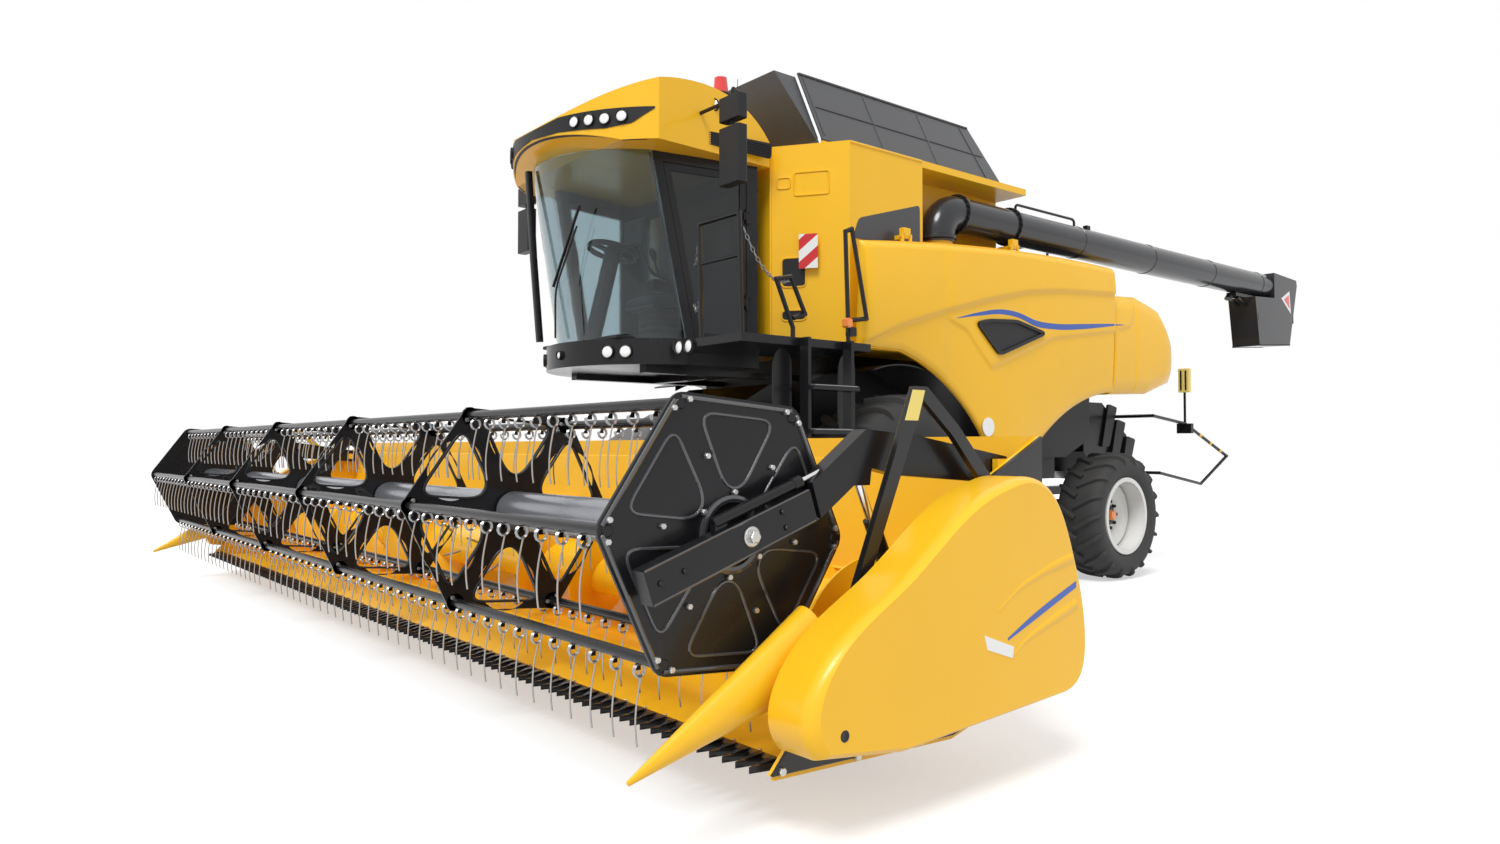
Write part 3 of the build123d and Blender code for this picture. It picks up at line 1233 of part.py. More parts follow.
def reel_frames():
    """Central tube with closed end plates and open frames between the bays."""
    bay = 2 * REEL_HALF_W / REEL_BAYS
    with BuildPart() as frames:
        add(cross_pin(-REEL_HALF_W, REEL_HALF_W, (REEL_Y, REEL_Z), REEL_TUBE_R))
        add(cross_pin(-ARM_X - ARM_W / 2, ARM_X + ARM_W / 2, (REEL_Y, REEL_Z), REEL_SHAFT_R))
        for index in range(REEL_BAYS + 1):
            x = -REEL_HALF_W + index * bay - REEL_PLATE / 2
            with BuildSketch(side(x)):
                with Locations(*reel_bar_spots()):
                    Circle(BAR_R * 1.9)
                make_hull()
                if 0 < index < REEL_BAYS:
                    with Locations((REEL_Y, REEL_Z)):
                        with PolarLocations(0, REEL_BARS, start_angle=REEL_PHASE):
                            with BuildLine():
                                Polyline((250, 45), (400, 55), (262, 330), (160, 215), close=True)
                            make_face(mode=Mode.SUBTRACT)
                for spot in reel_bar_spots():
                    with Locations(spot):
                        Circle(BAR_R + SEAT, mode=Mode.SUBTRACT)
                    with Locations((spot[0], spot[1] - 12)):
                        Rectangle(8 + 2 * SEAT, 38, mode=Mode.SUBTRACT)
            extrude(amount=REEL_PLATE)
    return frames.part


def reel_bars():
    """Six tine bars, each cut with its pointed tines as one comb."""
    half = REEL_HALF_W + REEL_PLATE
    reach = REEL_HALF_W - 60
    count = int(2 * reach / TINE_PITCH)
    start = -count * TINE_PITCH / 2
    with BuildPart() as bars:
        for spot in reel_bar_spots():
            add(bar(point(-half, *spot), point(half, *spot), BAR_R))
            points = [(-reach, spot[1] + 6), (-reach, spot[1] - BAR_R - 8)]
            for index in range(count + 1):
                x = max(-reach + TINE_W, min(start + index * TINE_PITCH, reach - TINE_W))
                points += [(x - TINE_W / 2, spot[1] - BAR_R - 8), (x, spot[1] - TINE_LENGTH), (x + TINE_W / 2, spot[1] - BAR_R - 8)]
            points += [(reach, spot[1] - BAR_R - 8), (reach, spot[1] + 6)]
            with BuildSketch(across(spot[0] + 4)):
                with BuildLine():
                    Polyline(*points, close=True)
                make_face()
            extrude(amount=8)
    return bars.part


def sleeve_line(distance, rise=0.0):
    """Side-view place at a distance ahead of the reel axis along the sleeve, and above it."""
    slope = radians(SLEEVE_SLOPE)
    return (REEL_Y - distance * cos(slope) - rise * sin(slope), REEL_Z - distance * sin(slope) + rise * cos(slope))


def reel_arms():
    """Both reel arms: rear plate part with its knee and the straight rail of the sleeve."""
    half = ARM_W / 2
    rail = half - 10 - CLEAR - 8
    with BuildPart() as arms:
        for sign in (1, -1):
            x = sorted((sign * (ARM_X - half), sign * (ARM_X + half)))
            rear = [sleeve_line(-330, 80), (-3430, 1420), (-3150, 1400), (ARM_PIVOT[0] + 60, ARM_PIVOT[1] + 60),
                    (ARM_PIVOT[0] + 60, ARM_PIVOT[1] - 60), (-3250, 1240), (-3400, 1270), sleeve_line(-330, -60)]
            add(slab(rear, *x))
            core = sorted((sign * (ARM_X - rail), sign * (ARM_X + rail)))
            add(slab([sleeve_line(-340, 30), sleeve_line(-340, -30), sleeve_line(-90, -30), sleeve_line(-90, 30)], *core))
            hole = sorted((sign * (ARM_X - half - 1), sign * (ARM_X + half + 1)))
            add(cross_pin(*hole, ARM_PIVOT, ARM_PIN_R + FIT), mode=Mode.SUBTRACT)
            ear = sorted((sign * (ARM_X + EYE_WIDTH / 2 + CLEAR), sign * (ARM_X + half)))
            slot = sorted((sign * (ARM_X - half - 1), sign * (ARM_X + EYE_WIDTH / 2 - 4)))
            add(slab([(REEL_LIFT_EYE[0] - 70, 1100), (REEL_LIFT_EYE[0] + 70, 1100), (REEL_LIFT_EYE[0] + 70, REEL_LIFT_EYE[1] + 75),
                      (REEL_LIFT_EYE[0] - 70, REEL_LIFT_EYE[1] + 75)], *slot), mode=Mode.SUBTRACT)
            plate = sorted((sign * (ARM_X + EYE_WIDTH / 2 - 4), sign * (ARM_X + half)))
            add(slab([(REEL_LIFT_EYE[0] - 40, REEL_LIFT_EYE[1] - 35), (REEL_LIFT_EYE[0] + 40, REEL_LIFT_EYE[1] - 35),
                      (REEL_LIFT_EYE[0] + 60, 1330), (REEL_LIFT_EYE[0] - 60, 1330)], *plate))
            pin = sorted((sign * (ARM_X - half), sign * (ARM_X + EYE_WIDTH / 2 - 2)))
            add(cross_pin(*pin, REEL_LIFT_EYE, REEL_LIFT_PIN_R))
    return arms.part


def reel_sleeves():
    """Box sleeves on the arms' rails that carry the reel's bearings."""
    half = ARM_W / 2
    rail = half - 10 - CLEAR - 8
    with BuildPart() as sleeves:
        for sign in (1, -1):
            x = sorted((sign * (ARM_X - half), sign * (ARM_X + half)))
            add(slab([sleeve_line(450, 60), sleeve_line(450, -60), sleeve_line(-310, -60), sleeve_line(-310, 60)], *x))
            core = sorted((sign * (ARM_X - rail - FIT), sign * (ARM_X + rail + FIT)))
            add(slab([sleeve_line(-70, 30 + FIT), sleeve_line(-70, -30 - FIT), sleeve_line(-320, -30 - FIT),
                      sleeve_line(-320, 30 + FIT)], *core), mode=Mode.SUBTRACT)
            hole = sorted((sign * (ARM_X - half - 1), sign * (ARM_X + half + 1)))
            add(cross_pin(*hole, (REEL_Y, REEL_Z), REEL_SHAFT_R + FIT), mode=Mode.SUBTRACT)
    return sleeves.part


def cylinder_barrels(x, base, eye, length, barrel_r, rod_r, rod_start, pin_r, width):
    """Pair of cylinder barrels: eye at the base, tube and bore for the rod."""
    with BuildPart() as barrels:
        for sign in (1, -1):
            start, end = point(sign * x, *base), point(sign * x, *eye)
            plane = along(start, end)
            neck = pin_r * 4
            with BuildSketch(plane.offset(pin_r * 1.2)):
                Circle(min(width / 2 - 2, barrel_r))
            extrude(amount=neck)
            with BuildSketch(plane.offset(neck)):
                Circle(barrel_r)
            extrude(amount=length - neck)
            with BuildSketch(plane.offset(rod_start - ROD_SINK)):
                Circle(rod_r + FIT)
            extrude(amount=length - rod_start + ROD_SINK + 1, mode=Mode.SUBTRACT)
            add(cross_pin(sign * x - width / 2, sign * x + width / 2, base, pin_r * 2))
            add(cross_pin(sign * x - width / 2 - 1, sign * x + width / 2 + 1, base, pin_r + FIT), mode=Mode.SUBTRACT)
    return barrels.part


def cylinder_rods(x, base, eye, rod_r, rod_start, pin_r, width):
    """Pair of cylinder rods: shaft and an eye with play round its pin."""
    with BuildPart() as rods:
        for sign in (1, -1):
            start, end = point(sign * x, *base), point(sign * x, *eye)
            plane = along(start, end)
            with BuildSketch(plane.offset(rod_start)):
                Circle(rod_r)
            extrude(amount=(end - start).length - rod_start - pin_r - EYE_PLAY)
            add(cross_pin(sign * x - width / 2, sign * x + width / 2, eye, pin_r * 1.6 + EYE_PLAY))
            add(cross_pin(sign * x - width / 2 - 1, sign * x + width / 2 + 1, eye, pin_r + EYE_PLAY), mode=Mode.SUBTRACT)
    return rods.part


def outside_mirror(sign):
    """Outside mirror: small and large head on a bent tube from the roof's corner."""
    x = sorted((sign * (MIRROR_X - MIRROR_W / 2), sign * (MIRROR_X + MIRROR_W / 2)))
    y = (MIRROR_Y - MIRROR_DEPTH / 2, MIRROR_Y + MIRROR_DEPTH / 2)
    with BuildPart() as piece:
        for low, high in MIRROR_HEADS:
            add(block(x, y, (low, high)))
        fillet(piece.edges().filter_by(Axis.Z), 18)
        foot = point(sign * (CAB_ROOF_SIDE + SEAT), MIRROR_FOOT_Y, MIRROR_FOOT_Z)
        elbow = point(sign * (MIRROR_X - 60), MIRROR_FOOT_Y, MIRROR_FOOT_Z)
        top = point(sign * MIRROR_X, MIRROR_Y, MIRROR_FOOT_Z)
        add(tube_run([foot, elbow, top], MIRROR_TUBE_R))
        add(bar(point(sign * MIRROR_X, MIRROR_Y, MIRROR_HEADS[0][0] + 60), point(sign * MIRROR_X, MIRROR_Y, MIRROR_FOOT_Z),
                MIRROR_TUBE_R))
    return piece.part


def beacon(sign):
    """Round beacon on the roof."""
    with BuildPart() as piece:
        with BuildSketch(level(BEACON_Z)):
            with Locations((sign * BEACON_X, BEACON_Y)):
                Circle(BEACON_R)
        extrude(amount=BEACON_H, taper=4)
    return piece.part


def rear_guard(sign):
    """Tube loop beside the chopper with a reflector plate on an upright."""
    x = sign * GUARD_X
    foot = sign * (CHOPPER_HALF_W + SEAT)
    with BuildPart() as guard:
        add(tube_run([point(foot, 4760, 1720), point(x, 4760, 1720), point(x, 5520, 1640), point(x, 6600, 1240),
                      point(x, 5900, 900), point(x, 4900, 1050), point(foot, 4900, 1050)], GUARD_R))
        add(bar(point(x, 5520, 1640), point(x, 5520, 2260), GUARD_R * 0.8))
        add(block((x - 55, x + 55), (5500, 5540), (2030, 2300)))
        add(block((x - 90, x + 90), (5490, 5550), (1520, 1640)))
    return guard.part


def cab_windows():
    """Right side pane and rear pane of the cab."""
    with BuildPart() as panes:
        add(door_glass(-1))
        add(rear_glass())
    return panes.part


def main():
    os.makedirs("parts", exist_ok=True)
    for sign, name in ((1, "left"), (-1, "right")):
        save(knuckle(sign), f"knuckle_{name}")
        front = wheel_plane(sign, FRONT_WHEEL_X, 0, FRONT_TYRE_R)
        rear = wheel_plane(sign, REAR_WHEEL_X, WHEELBASE, REAR_TYRE_R)
        front_disc, rear_disc = FRONT_DISC_X - FRONT_WHEEL_X, REAR_DISC_X - REAR_WHEEL_X
        save(rim(front, FRONT_RIM_R, FRONT_TYRE_W, front_disc, FRONT_SPINDLE_R + FIT), f"front_rim_{name}")
        save(tyre(front, FRONT_TYRE_R, FRONT_TYRE_W, FRONT_RIM_R), f"front_tyre_{name}")
        save(rim(rear, REAR_RIM_R, REAR_TYRE_W, rear_disc, REAR_SPINDLE_R + FIT), f"rear_rim_{name}")
        save(tyre(rear, REAR_TYRE_R, REAR_TYRE_W, REAR_RIM_R), f"rear_tyre_{name}")
        save(side_cover(sign), f"tank_cover_{name}")
        save(side_panel(sign), f"side_panel_{name}")
    pieces = {
        "chassis": chassis(),
        "front_axle": front_axle(),
        "rear_axle": rear_axle(),
        "fenders": both(fender(1)),
        "separator_body": separator_body(),
        "grain_tank": grain_tank(),
        "tank_cover_front": end_cover(FRONT_COVER_HINGE_Y, FRONT_COVER_LEAN, True),
        "tank_cover_rear": end_cover(REAR_COVER_HINGE_Y, REAR_COVER_LEAN, False),
        "engine_block": engine_block(),
        "engine_deck": engine_deck(),
        "rear_hood": rear_hood(),
        "rear_guards": both(rear_guard(1)),
        "mirrors": both(outside_mirror(1)),
        "beacons": both(beacon(1)),
        "straw_chopper": straw_chopper(),
        "tow_hitch": tow_hitch(),
        "unloader_tube": unloader_tube(),
        "unloader_spout": unloader_spout(),
        "cab_base": cab_base(),
        "cab_frame": cab_frame(),
        "cab_door": cab_door(),
        "cab_door_glass": door_glass(1),
        "cab_windows": cab_windows(),
        "windscreen": windscreen(),
        "cab_roof": cab_roof(),
        "operator_seat": operator_seat(),
        "steering_column": steering_column(),
        "platform": platform(),
        "ladder": ladder(),
        "handrails": handrails(),
        "feeder_house": feeder_house(),
        "header_frame": header_frame(),
        "header_shields": both(header_shield(1)),
        "header_dividers": both(header_divider(1)),
        "knife": knife(),
        "header_auger": header_auger(),
        "reel_frames": reel_frames(),
        "reel_bars": reel_bars(),
        "reel_arms": reel_arms(),
        "reel_sleeves": reel_sleeves(),
        "lift_barrels": cylinder_barrels(LIFT_X, LIFT_BASE, LIFT_EYE, LIFT_BARREL_LENGTH, LIFT_BARREL_R,
                                         LIFT_ROD_R, LIFT_ROD_START, LIFT_PIN_R, EYE_WIDTH),
        "lift_rods": cylinder_rods(LIFT_X, LIFT_BASE, LIFT_EYE, LIFT_ROD_R, LIFT_ROD_START, LIFT_PIN_R, EYE_WIDTH),
        "reel_lift_barrels": cylinder_barrels(ARM_X, REEL_LIFT_BASE, REEL_LIFT_EYE, REEL_LIFT_BARREL_LENGTH,
                                              REEL_LIFT_BARREL_R, REEL_LIFT_ROD_R, REEL_LIFT_ROD_START,
                                              REEL_LIFT_PIN_R, REEL_EYE_WIDTH),
        "reel_lift_rods": cylinder_rods(ARM_X, REEL_LIFT_BASE, REEL_LIFT_EYE, REEL_LIFT_ROD_R,
                                        REEL_LIFT_ROD_START, REEL_LIFT_PIN_R, REEL_EYE_WIDTH),
    }
    for name, piece in pieces.items():
        save(piece, name)


main()
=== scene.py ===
"""Looks of a combine harvester with its grain header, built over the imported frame.

Everything is in metres in the frame's axes: +Z up, the machine drives towards -Y, its left side is +X.
A station is a distance along the machine measured from the front axle.
"""

import json
import logging
import math
from dataclasses import dataclass, field
from enum import Enum

import bmesh
import bpy
import numpy as np
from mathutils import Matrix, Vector


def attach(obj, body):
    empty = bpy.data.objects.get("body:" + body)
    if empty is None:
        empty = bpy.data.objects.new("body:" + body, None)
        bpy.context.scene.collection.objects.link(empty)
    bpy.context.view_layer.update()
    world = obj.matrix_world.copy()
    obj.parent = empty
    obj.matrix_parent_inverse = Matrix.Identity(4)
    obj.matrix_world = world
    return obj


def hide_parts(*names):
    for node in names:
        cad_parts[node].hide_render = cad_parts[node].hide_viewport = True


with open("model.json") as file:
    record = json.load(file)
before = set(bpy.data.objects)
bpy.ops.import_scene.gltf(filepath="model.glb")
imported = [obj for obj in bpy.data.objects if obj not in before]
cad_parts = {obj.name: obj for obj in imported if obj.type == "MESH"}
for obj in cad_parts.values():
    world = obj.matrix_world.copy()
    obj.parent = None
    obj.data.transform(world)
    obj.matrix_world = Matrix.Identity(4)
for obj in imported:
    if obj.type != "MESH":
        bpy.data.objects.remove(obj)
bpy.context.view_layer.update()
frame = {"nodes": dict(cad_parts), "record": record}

LOG = logging.getLogger("harvester")
AXLE_Y = -1.675
MIRROR_FACE = -1.7845
Array = np.ndarray
SIDES = (1, -1)


def spot(x: float, station: float, z: float) -> Array:
    """Point from its x, its station and its height."""
    return np.array([x, station + AXLE_Y, z], float)


def spots(rows: list) -> Array:
    """Points from rows of x, station and height."""
    return np.array(rows, float) + np.array([0.0, AXLE_Y, 0.0])


def at_x(x: float, flat: Array) -> Array:
    """Points of a side view, given by station and height, set at an x."""
    flat = np.asarray(flat, float)
    return spots(np.column_stack([np.full(len(flat), x), flat]))


# Shapes


@dataclass
class Shell:
    """Points, the four-sided faces between them and the polygons that close its ends."""

    points: Array
    quads: Array
    rims: list = field(default_factory=list)

    def copies(self, places: Array, turns: Array | None = None) -> "Shell":
        """The shell repeated at each place, each copy turned by its own 3x3 matrix.

        Args:
            places: (k, 3) offsets.
            turns: (k, 3, 3) matrices, or None for copies that aren't turned.

        Returns:
            One shell with all the copies.
        """
        count, size = len(places), len(self.points)
        if turns is None:
            turns = np.broadcast_to(np.eye(3), (count, 3, 3))
        points = np.einsum("kij,nj->kni", turns, self.points) + np.asarray(places)[:, None]
        step = size * np.arange(count)
        quads = (self.quads[None] + step[:, None, None]).reshape(-1, 4)
        return Shell(points.reshape(-1, 3), quads, [rim + start for start in step for rim in self.rims])

    def mirrored(self) -> "Shell":
        """The shell's likeness on the other side of the machine."""
        return Shell(self.points * np.array([-1.0, 1.0, 1.0]), self.quads, self.rims)


def joined(shells: list) -> Shell:
    """One shell from several.

    Args:
        shells: the shells to put together.

    Returns:
        A shell with all their points and faces.
    """
    starts = np.cumsum([0] + [len(s.points) for s in shells[:-1]])
    quads = [s.quads + start for s, start in zip(shells, starts)]
    rims = [rim + start for s, start in zip(shells, starts) for rim in s.rims]
    return Shell(np.concatenate([s.points for s in shells]), np.concatenate(quads), rims)


def weave(rows: int, cols: int, loop_rows: bool = False, loop_cols: bool = True) -> Array:
    """Four-sided faces of a grid of rows and columns, each neighbour pair joined.

    Args:
        rows: number of rows.
        cols: number of points in a row.
        loop_rows: the last row joins the first.
        loop_cols: the last column joins the first.

    Returns:
        (n, 4) indices.
    """
    row = np.arange(rows if loop_rows else rows - 1)
    col = np.arange(cols if loop_cols else cols - 1)
    a, b = np.meshgrid(row, col, indexing="ij")
    a1, b1 = (a + 1) % rows, (b + 1) % cols
    corners = [a * cols + b, a1 * cols + b, a1 * cols + b1, a * cols + b1]
    return np.stack(corners, -1).reshape(-1, 4)


def circle(radius: float, sides: int = 8) -> Array:
    """Round section: radius times the cosine and sine of evenly spaced angles."""
    angle = np.linspace(0, 2 * np.pi, sides, endpoint=False)
    return radius * np.stack([np.cos(angle), np.sin(angle)], -1)


def oblong(width: float, height: float) -> Array:
    """Rectangular section round its own middle."""
    return np.array([(-1, -1), (1, -1), (1, 1), (-1, 1)]) * (width / 2, height / 2)


def unit(vectors: Array) -> Array:
    """Vectors divided by their length."""
    return vectors / np.maximum(np.linalg.norm(vectors, axis=-1, keepdims=True), 1e-12)


def carry(section: Array, path: Array, lift: Array, closed: bool = False, size: Array | None = None) -> Shell:
    """A section carried along a path: each path point plus the section's two numbers along right and top.

    Right is the path's direction crossed with the lift, and top is right crossed with the direction.

    Args:
        section: (m, 2) closed section.
        path: (n, 3) points.
        lift: (3,) or (n, 3) direction that the section's top leans to.
        closed: the path joins its own start.
        size: (n,) factors on the section.

    Returns:
        A closed shell.
    """
    path = np.asarray(path, float)
    ahead = np.roll(path, -1, 0) - np.roll(path, 1, 0) if closed else np.gradient(path, axis=0)
    ahead = unit(ahead)
    right = unit(np.cross(ahead, np.broadcast_to(np.asarray(lift, float), path.shape)))
    top = np.cross(right, ahead)
    size = np.ones(len(path)) if size is None else np.asarray(size, float)
    across = right[:, None] * section[None, :, :1] + top[:, None] * section[None, :, 1:]
    points = path[:, None] + size[:, None, None] * across
    rows, cols = points.shape[:2]
    rims = [] if closed else [np.arange(cols), (rows - 1) * cols + np.arange(cols)]
    return Shell(points.reshape(-1, 3), weave(rows, cols, closed), rims)


def rounded(corners: list, radius: float, steps: int = 5, closed: bool = False) -> Array:
    """A run of corners with each one rounded: a quadratic curve (1-s)²a + 2s(1-s)p + s²b from the point a
    before the corner p to the point b after it.

    Args:
        corners: points in two or three dimensions.
        radius: how far before and after a corner its curve starts.
        steps: points in a curve.
        closed: the last corner joins the first.

    Returns:
        (n, d) points.
    """
    p = np.asarray(corners, float)
    before, after = np.roll(p, 1, 0) - p, np.roll(p, -1, 0) - p
    cut_a = np.minimum(radius / np.linalg.norm(before, axis=1), 0.48)[:, None]
    cut_b = np.minimum(radius / np.linalg.norm(after, axis=1), 0.48)[:, None]
    s = np.linspace(0, 1, steps)[None, :, None]
    a, b = (p + before * cut_a)[:, None], (p + after * cut_b)[:, None]
    curve = (1 - s) ** 2 * a + 2 * s * (1 - s) * p[:, None] + s ** 2 * b
    if closed:
        return curve.reshape(-1, p.shape[1])
    return np.concatenate([p[:1], curve[1:-1].reshape(-1, p.shape[1]), p[-1:]])


def prism(outline: Array, reach: Array) -> Shell:
    """An outline in space and its copy moved by a vector, with the wall between them.

    Args:
        outline: (n, 3) corners in order.
        reach: the vector from one end to the other.

    Returns:
        A closed shell.
    """
    outline = np.asarray(outline, float)
    count = len(outline)
    points = np.concatenate([outline, outline + np.asarray(reach, float)])
    return Shell(points, weave(2, count), [np.arange(count), count + np.arange(count)])


def turned(profile: list, centre: Array, axis: Array, sides: int = 24, loop: bool = False) -> Shell:
    """A profile of (distance along the axis, radius) turned round an axis.

    Each point is the centre + axis·distance + radius·(u·cosine + v·sine), with u and v square to the axis.

    Args:
        profile: (n, 2) rows.
        centre: where the distance is 0.
        axis: direction of the axis.
        sides: points round the axis.
        loop: the profile joins its own start.

    Returns:
        A closed shell.
    """
    profile = np.asarray(profile, float)
    axis = unit(np.asarray(axis, float))
    u = unit(np.cross(axis, (0.0, 0.0, 1.0) if abs(axis[2]) < 0.9 else (1.0, 0.0, 0.0)))
    v = np.cross(axis, u)
    angle = np.linspace(0, 2 * np.pi, sides, endpoint=False)
    ring = np.cos(angle)[:, None] * u + np.sin(angle)[:, None] * v
    points = np.asarray(centre, float) + profile[:, :1, None] * axis + profile[:, 1:, None] * ring[None]
    rows = len(profile)
    rims = []
    if not loop:
        rims = [row * sides + np.arange(sides) for row in (0, rows - 1) if profile[row, 1] > 1e-4]
    return Shell(points.reshape(-1, 3), weave(rows, sides, loop), rims)


def rod(start: Array, end: Array, radius: float, sides: int = 10) -> Shell:
    """Straight round rod with small chamfers.

    Args:
        start: middle of one end.
        end: middle of the other end.
        radius: its radius.
        sides: points round it.

    Returns:
        A closed shell.
    """
    start, end = np.asarray(start, float), np.asarray(end, float)
    length = float(np.linalg.norm(end - start))
    edge = min(radius * 0.2, length * 0.1)
    profile = [(0, radius - edge), (edge, radius), (length - edge, radius), (length, radius - edge)]
    return turned(profile, start, end - start, sides)


def tube(corners: Array, radius: float, bend: float, lift: tuple, sides: int = 10) -> Shell:
    """Bent round tube through corners; lift is square to the plane of its bends."""
    return carry(circle(radius, sides), rounded(corners, bend, 6), lift)


def bolts(places: Array, axis: tuple, radius: float = 0.012, height: float = 0.009) -> Shell:
    """Six-sided bolt heads with drawn-in tops, all facing one way."""
    profile = [(-0.004, radius), (height * 0.75, radius), (height, radius * 0.82)]
    return turned(profile, (0, 0, 0), axis, 6).copies(np.asarray(places, float))


def spin_x(angles: Array) -> Array:
    """Matrices that turn by each angle about the X axis.

    Args:
        angles: (k,) angles in radians.

    Returns:
        (k, 3, 3) matrices.
    """
    c, s = np.cos(angles), np.sin(angles)
    zero, one = np.zeros_like(c), np.ones_like(c)
    return np.stack([one, zero, zero, zero, c, -s, zero, s, c], -1).reshape(-1, 3, 3)


def chain(start: Array, end: Array, sag: float, pitch: float = 0.034, wire: float = 0.0035) -> Shell:
    """Hanging chain: oval links along a parabola, each one turned a quarter from its neighbour.

    Args:
        start: one end.
        end: the other end.
        sag: depth of the middle below the straight line.
        pitch: distance between links.
        wire: radius of a link's wire.

    Returns:
        The links as one shell.
    """
    reach = float(np.linalg.norm(end - start))
    length = reach + 2.7 * sag * sag / max(reach, 0.01)
    count = max(int(length / pitch), 3)
    t = (np.arange(count) + 0.5) / count
    line = start + (end - start) * t[:, None]
    line[:, 2] -= 4 * sag * t * (1 - t)
    ahead = unit(np.gradient(line, axis=0))
    side = unit(np.cross(ahead, (0.31, 0.17, 0.93)))
    up = np.cross(side, ahead)
    odd = (np.arange(count) % 2)[:, None].astype(float)
    right = side * (1 - odd) + up * odd
    turns = np.stack([ahead, right, np.cross(ahead, right)], -1)
    angle = np.linspace(0, 2 * np.pi, 10, endpoint=False)
    oval = np.stack([np.cos(angle) * pitch * 0.68, np.sin(angle) * pitch * 0.34, 0 * angle], -1)
    return carry(circle(wire, 5), oval, (0, 0, 1), closed=True).copies(line, turns)


# Finishes


class Grain(Enum):
    """Kinds of fine surface texture."""

    PAINT = "paint"
    CAST = "cast"
    RUBBER = "rubber"
    BRUSHED = "brushed"
    MOULDED = "moulded"
    CLOTH = "cloth"
    SMOOTH = "smooth"


GRAIN_SIZES = {
    Grain.PAINT: (140.0, 0.0006),
    Grain.CAST: (320.0, 0.0030),
    Grain.RUBBER: (210.0, 0.0020),
    Grain.BRUSHED: (420.0, 0.0006),
    Grain.MOULDED: (650.0, 0.0012),
    Grain.CLOTH: (900.0, 0.0016),
    Grain.SMOOTH: (30.0, 0.0002),
}


def node(tree: bpy.types.NodeTree, kind: str, inputs: dict | None = None,
         **settings: object) -> bpy.types.Node:
    """New shader node with its settings and inputs.

    Args:
        tree: the nodes to add to.
        kind: the node's type, without the word that all types start with.
        inputs: a value, or a socket to link, for each input's name or number.
        **settings: the node's own properties, set before the inputs.

    Returns:
        The node.
    """
    made = tree.nodes.new("ShaderNode" + kind)
    for key, value in settings.items():
        setattr(made, key, value)
    for key, value in (inputs or {}).items():
        if isinstance(value, bpy.types.NodeSocket):
            tree.links.new(value, made.inputs[key])
        else:
            made.inputs[key].default_value = value
    return made


TONE_SCALE = 1.7
BRUSH_STRETCH = (0.04, 1.0, 1.0)
DUST_COLOUR = (0.42, 0.36, 0.27, 1)


class Groups:
    """The shader node groups that the finishes share, each made once."""

    made: dict = {}

    @classmethod
    def start(cls, name: str, entries: tuple, exits: tuple) -> tuple:
        """New group with its sockets.

        Args:
            name: the group's name.
            entries: names of the numbers that go in, after the vector.
            exits: names of the numbers that come out.

        Returns:
            The group's nodes, its input sockets and the node of its outputs.
        """
        tree = bpy.data.node_groups.new(name, "ShaderNodeTree")
        tree.interface.new_socket("Vector", in_out="INPUT", socket_type="NodeSocketVector")
        for names, way in ((entries, "INPUT"), (exits, "OUTPUT")):
            for socket in names:
                tree.interface.new_socket(socket, in_out=way, socket_type="NodeSocketFloat")
        cls.made[name] = tree
        return tree, tree.nodes.new("NodeGroupInput").outputs, tree.nodes.new("NodeGroupOutput")

    @classmethod
    def grain(cls) -> bpy.types.NodeTree:
        """Fine height and broad tone: two noises on the vector, one at each scale.

        Returns:
            The group's nodes.
        """
        name = "surface_grain"
        if name in cls.made:
            return cls.made[name]
        tree, entry, leave = cls.start(name, ("Fine", "Broad"), ("Height", "Tone"))
        for scale, detail, out in (("Fine", 3.0, "Height"), ("Broad", 5.0, "Tone")):
            noise = node(tree, "TexNoise",
                         {"Vector": entry["Vector"], "Scale": entry[scale], "Detail": detail})
            tree.links.new(noise.outputs["Fac"], leave.inputs[out])
        return tree

    @classmethod
    def dust(cls) -> bpy.types.NodeTree:
        """Dust mask: fades with height above the ground, lies thicker on what faces up, broken by noise.

        Returns:
            The group's nodes.
        """
        name = "settled_dust"
        if name in cls.made:
            return cls.made[name]
        tree, entry, leave = cls.start(name, ("Reach", "Amount"), ("Mask",))
        height = node(tree, "SeparateXYZ", {0: entry["Vector"]}).outputs["Z"]
        facing = node(tree, "SeparateXYZ", {0: node(tree, "NewGeometry").outputs["Normal"]}).outputs["Z"]
        fall = node(tree, "MapRange", {"Value": height, "From Max": entry["Reach"], "To Min": 1.0,
                                       "To Max": 0.0},
                    interpolation_type="SMOOTHSTEP").outputs["Result"]
        lying = node(tree, "Math", {0: facing, 1: 0.5, 2: 0.45}, operation="MULTIPLY_ADD",
                     use_clamp=True).outputs[0]
        noise = node(tree, "TexNoise",
                     {"Vector": entry["Vector"], "Scale": 6.0, "Detail": 8.0}).outputs["Fac"]
        mask = fall
        for factor in (lying, noise, entry["Amount"]):
            mask = node(tree, "Math", {0: mask, 1: factor}, operation="MULTIPLY").outputs[0]
        tree.links.new(mask, leave.inputs["Mask"])
        return tree


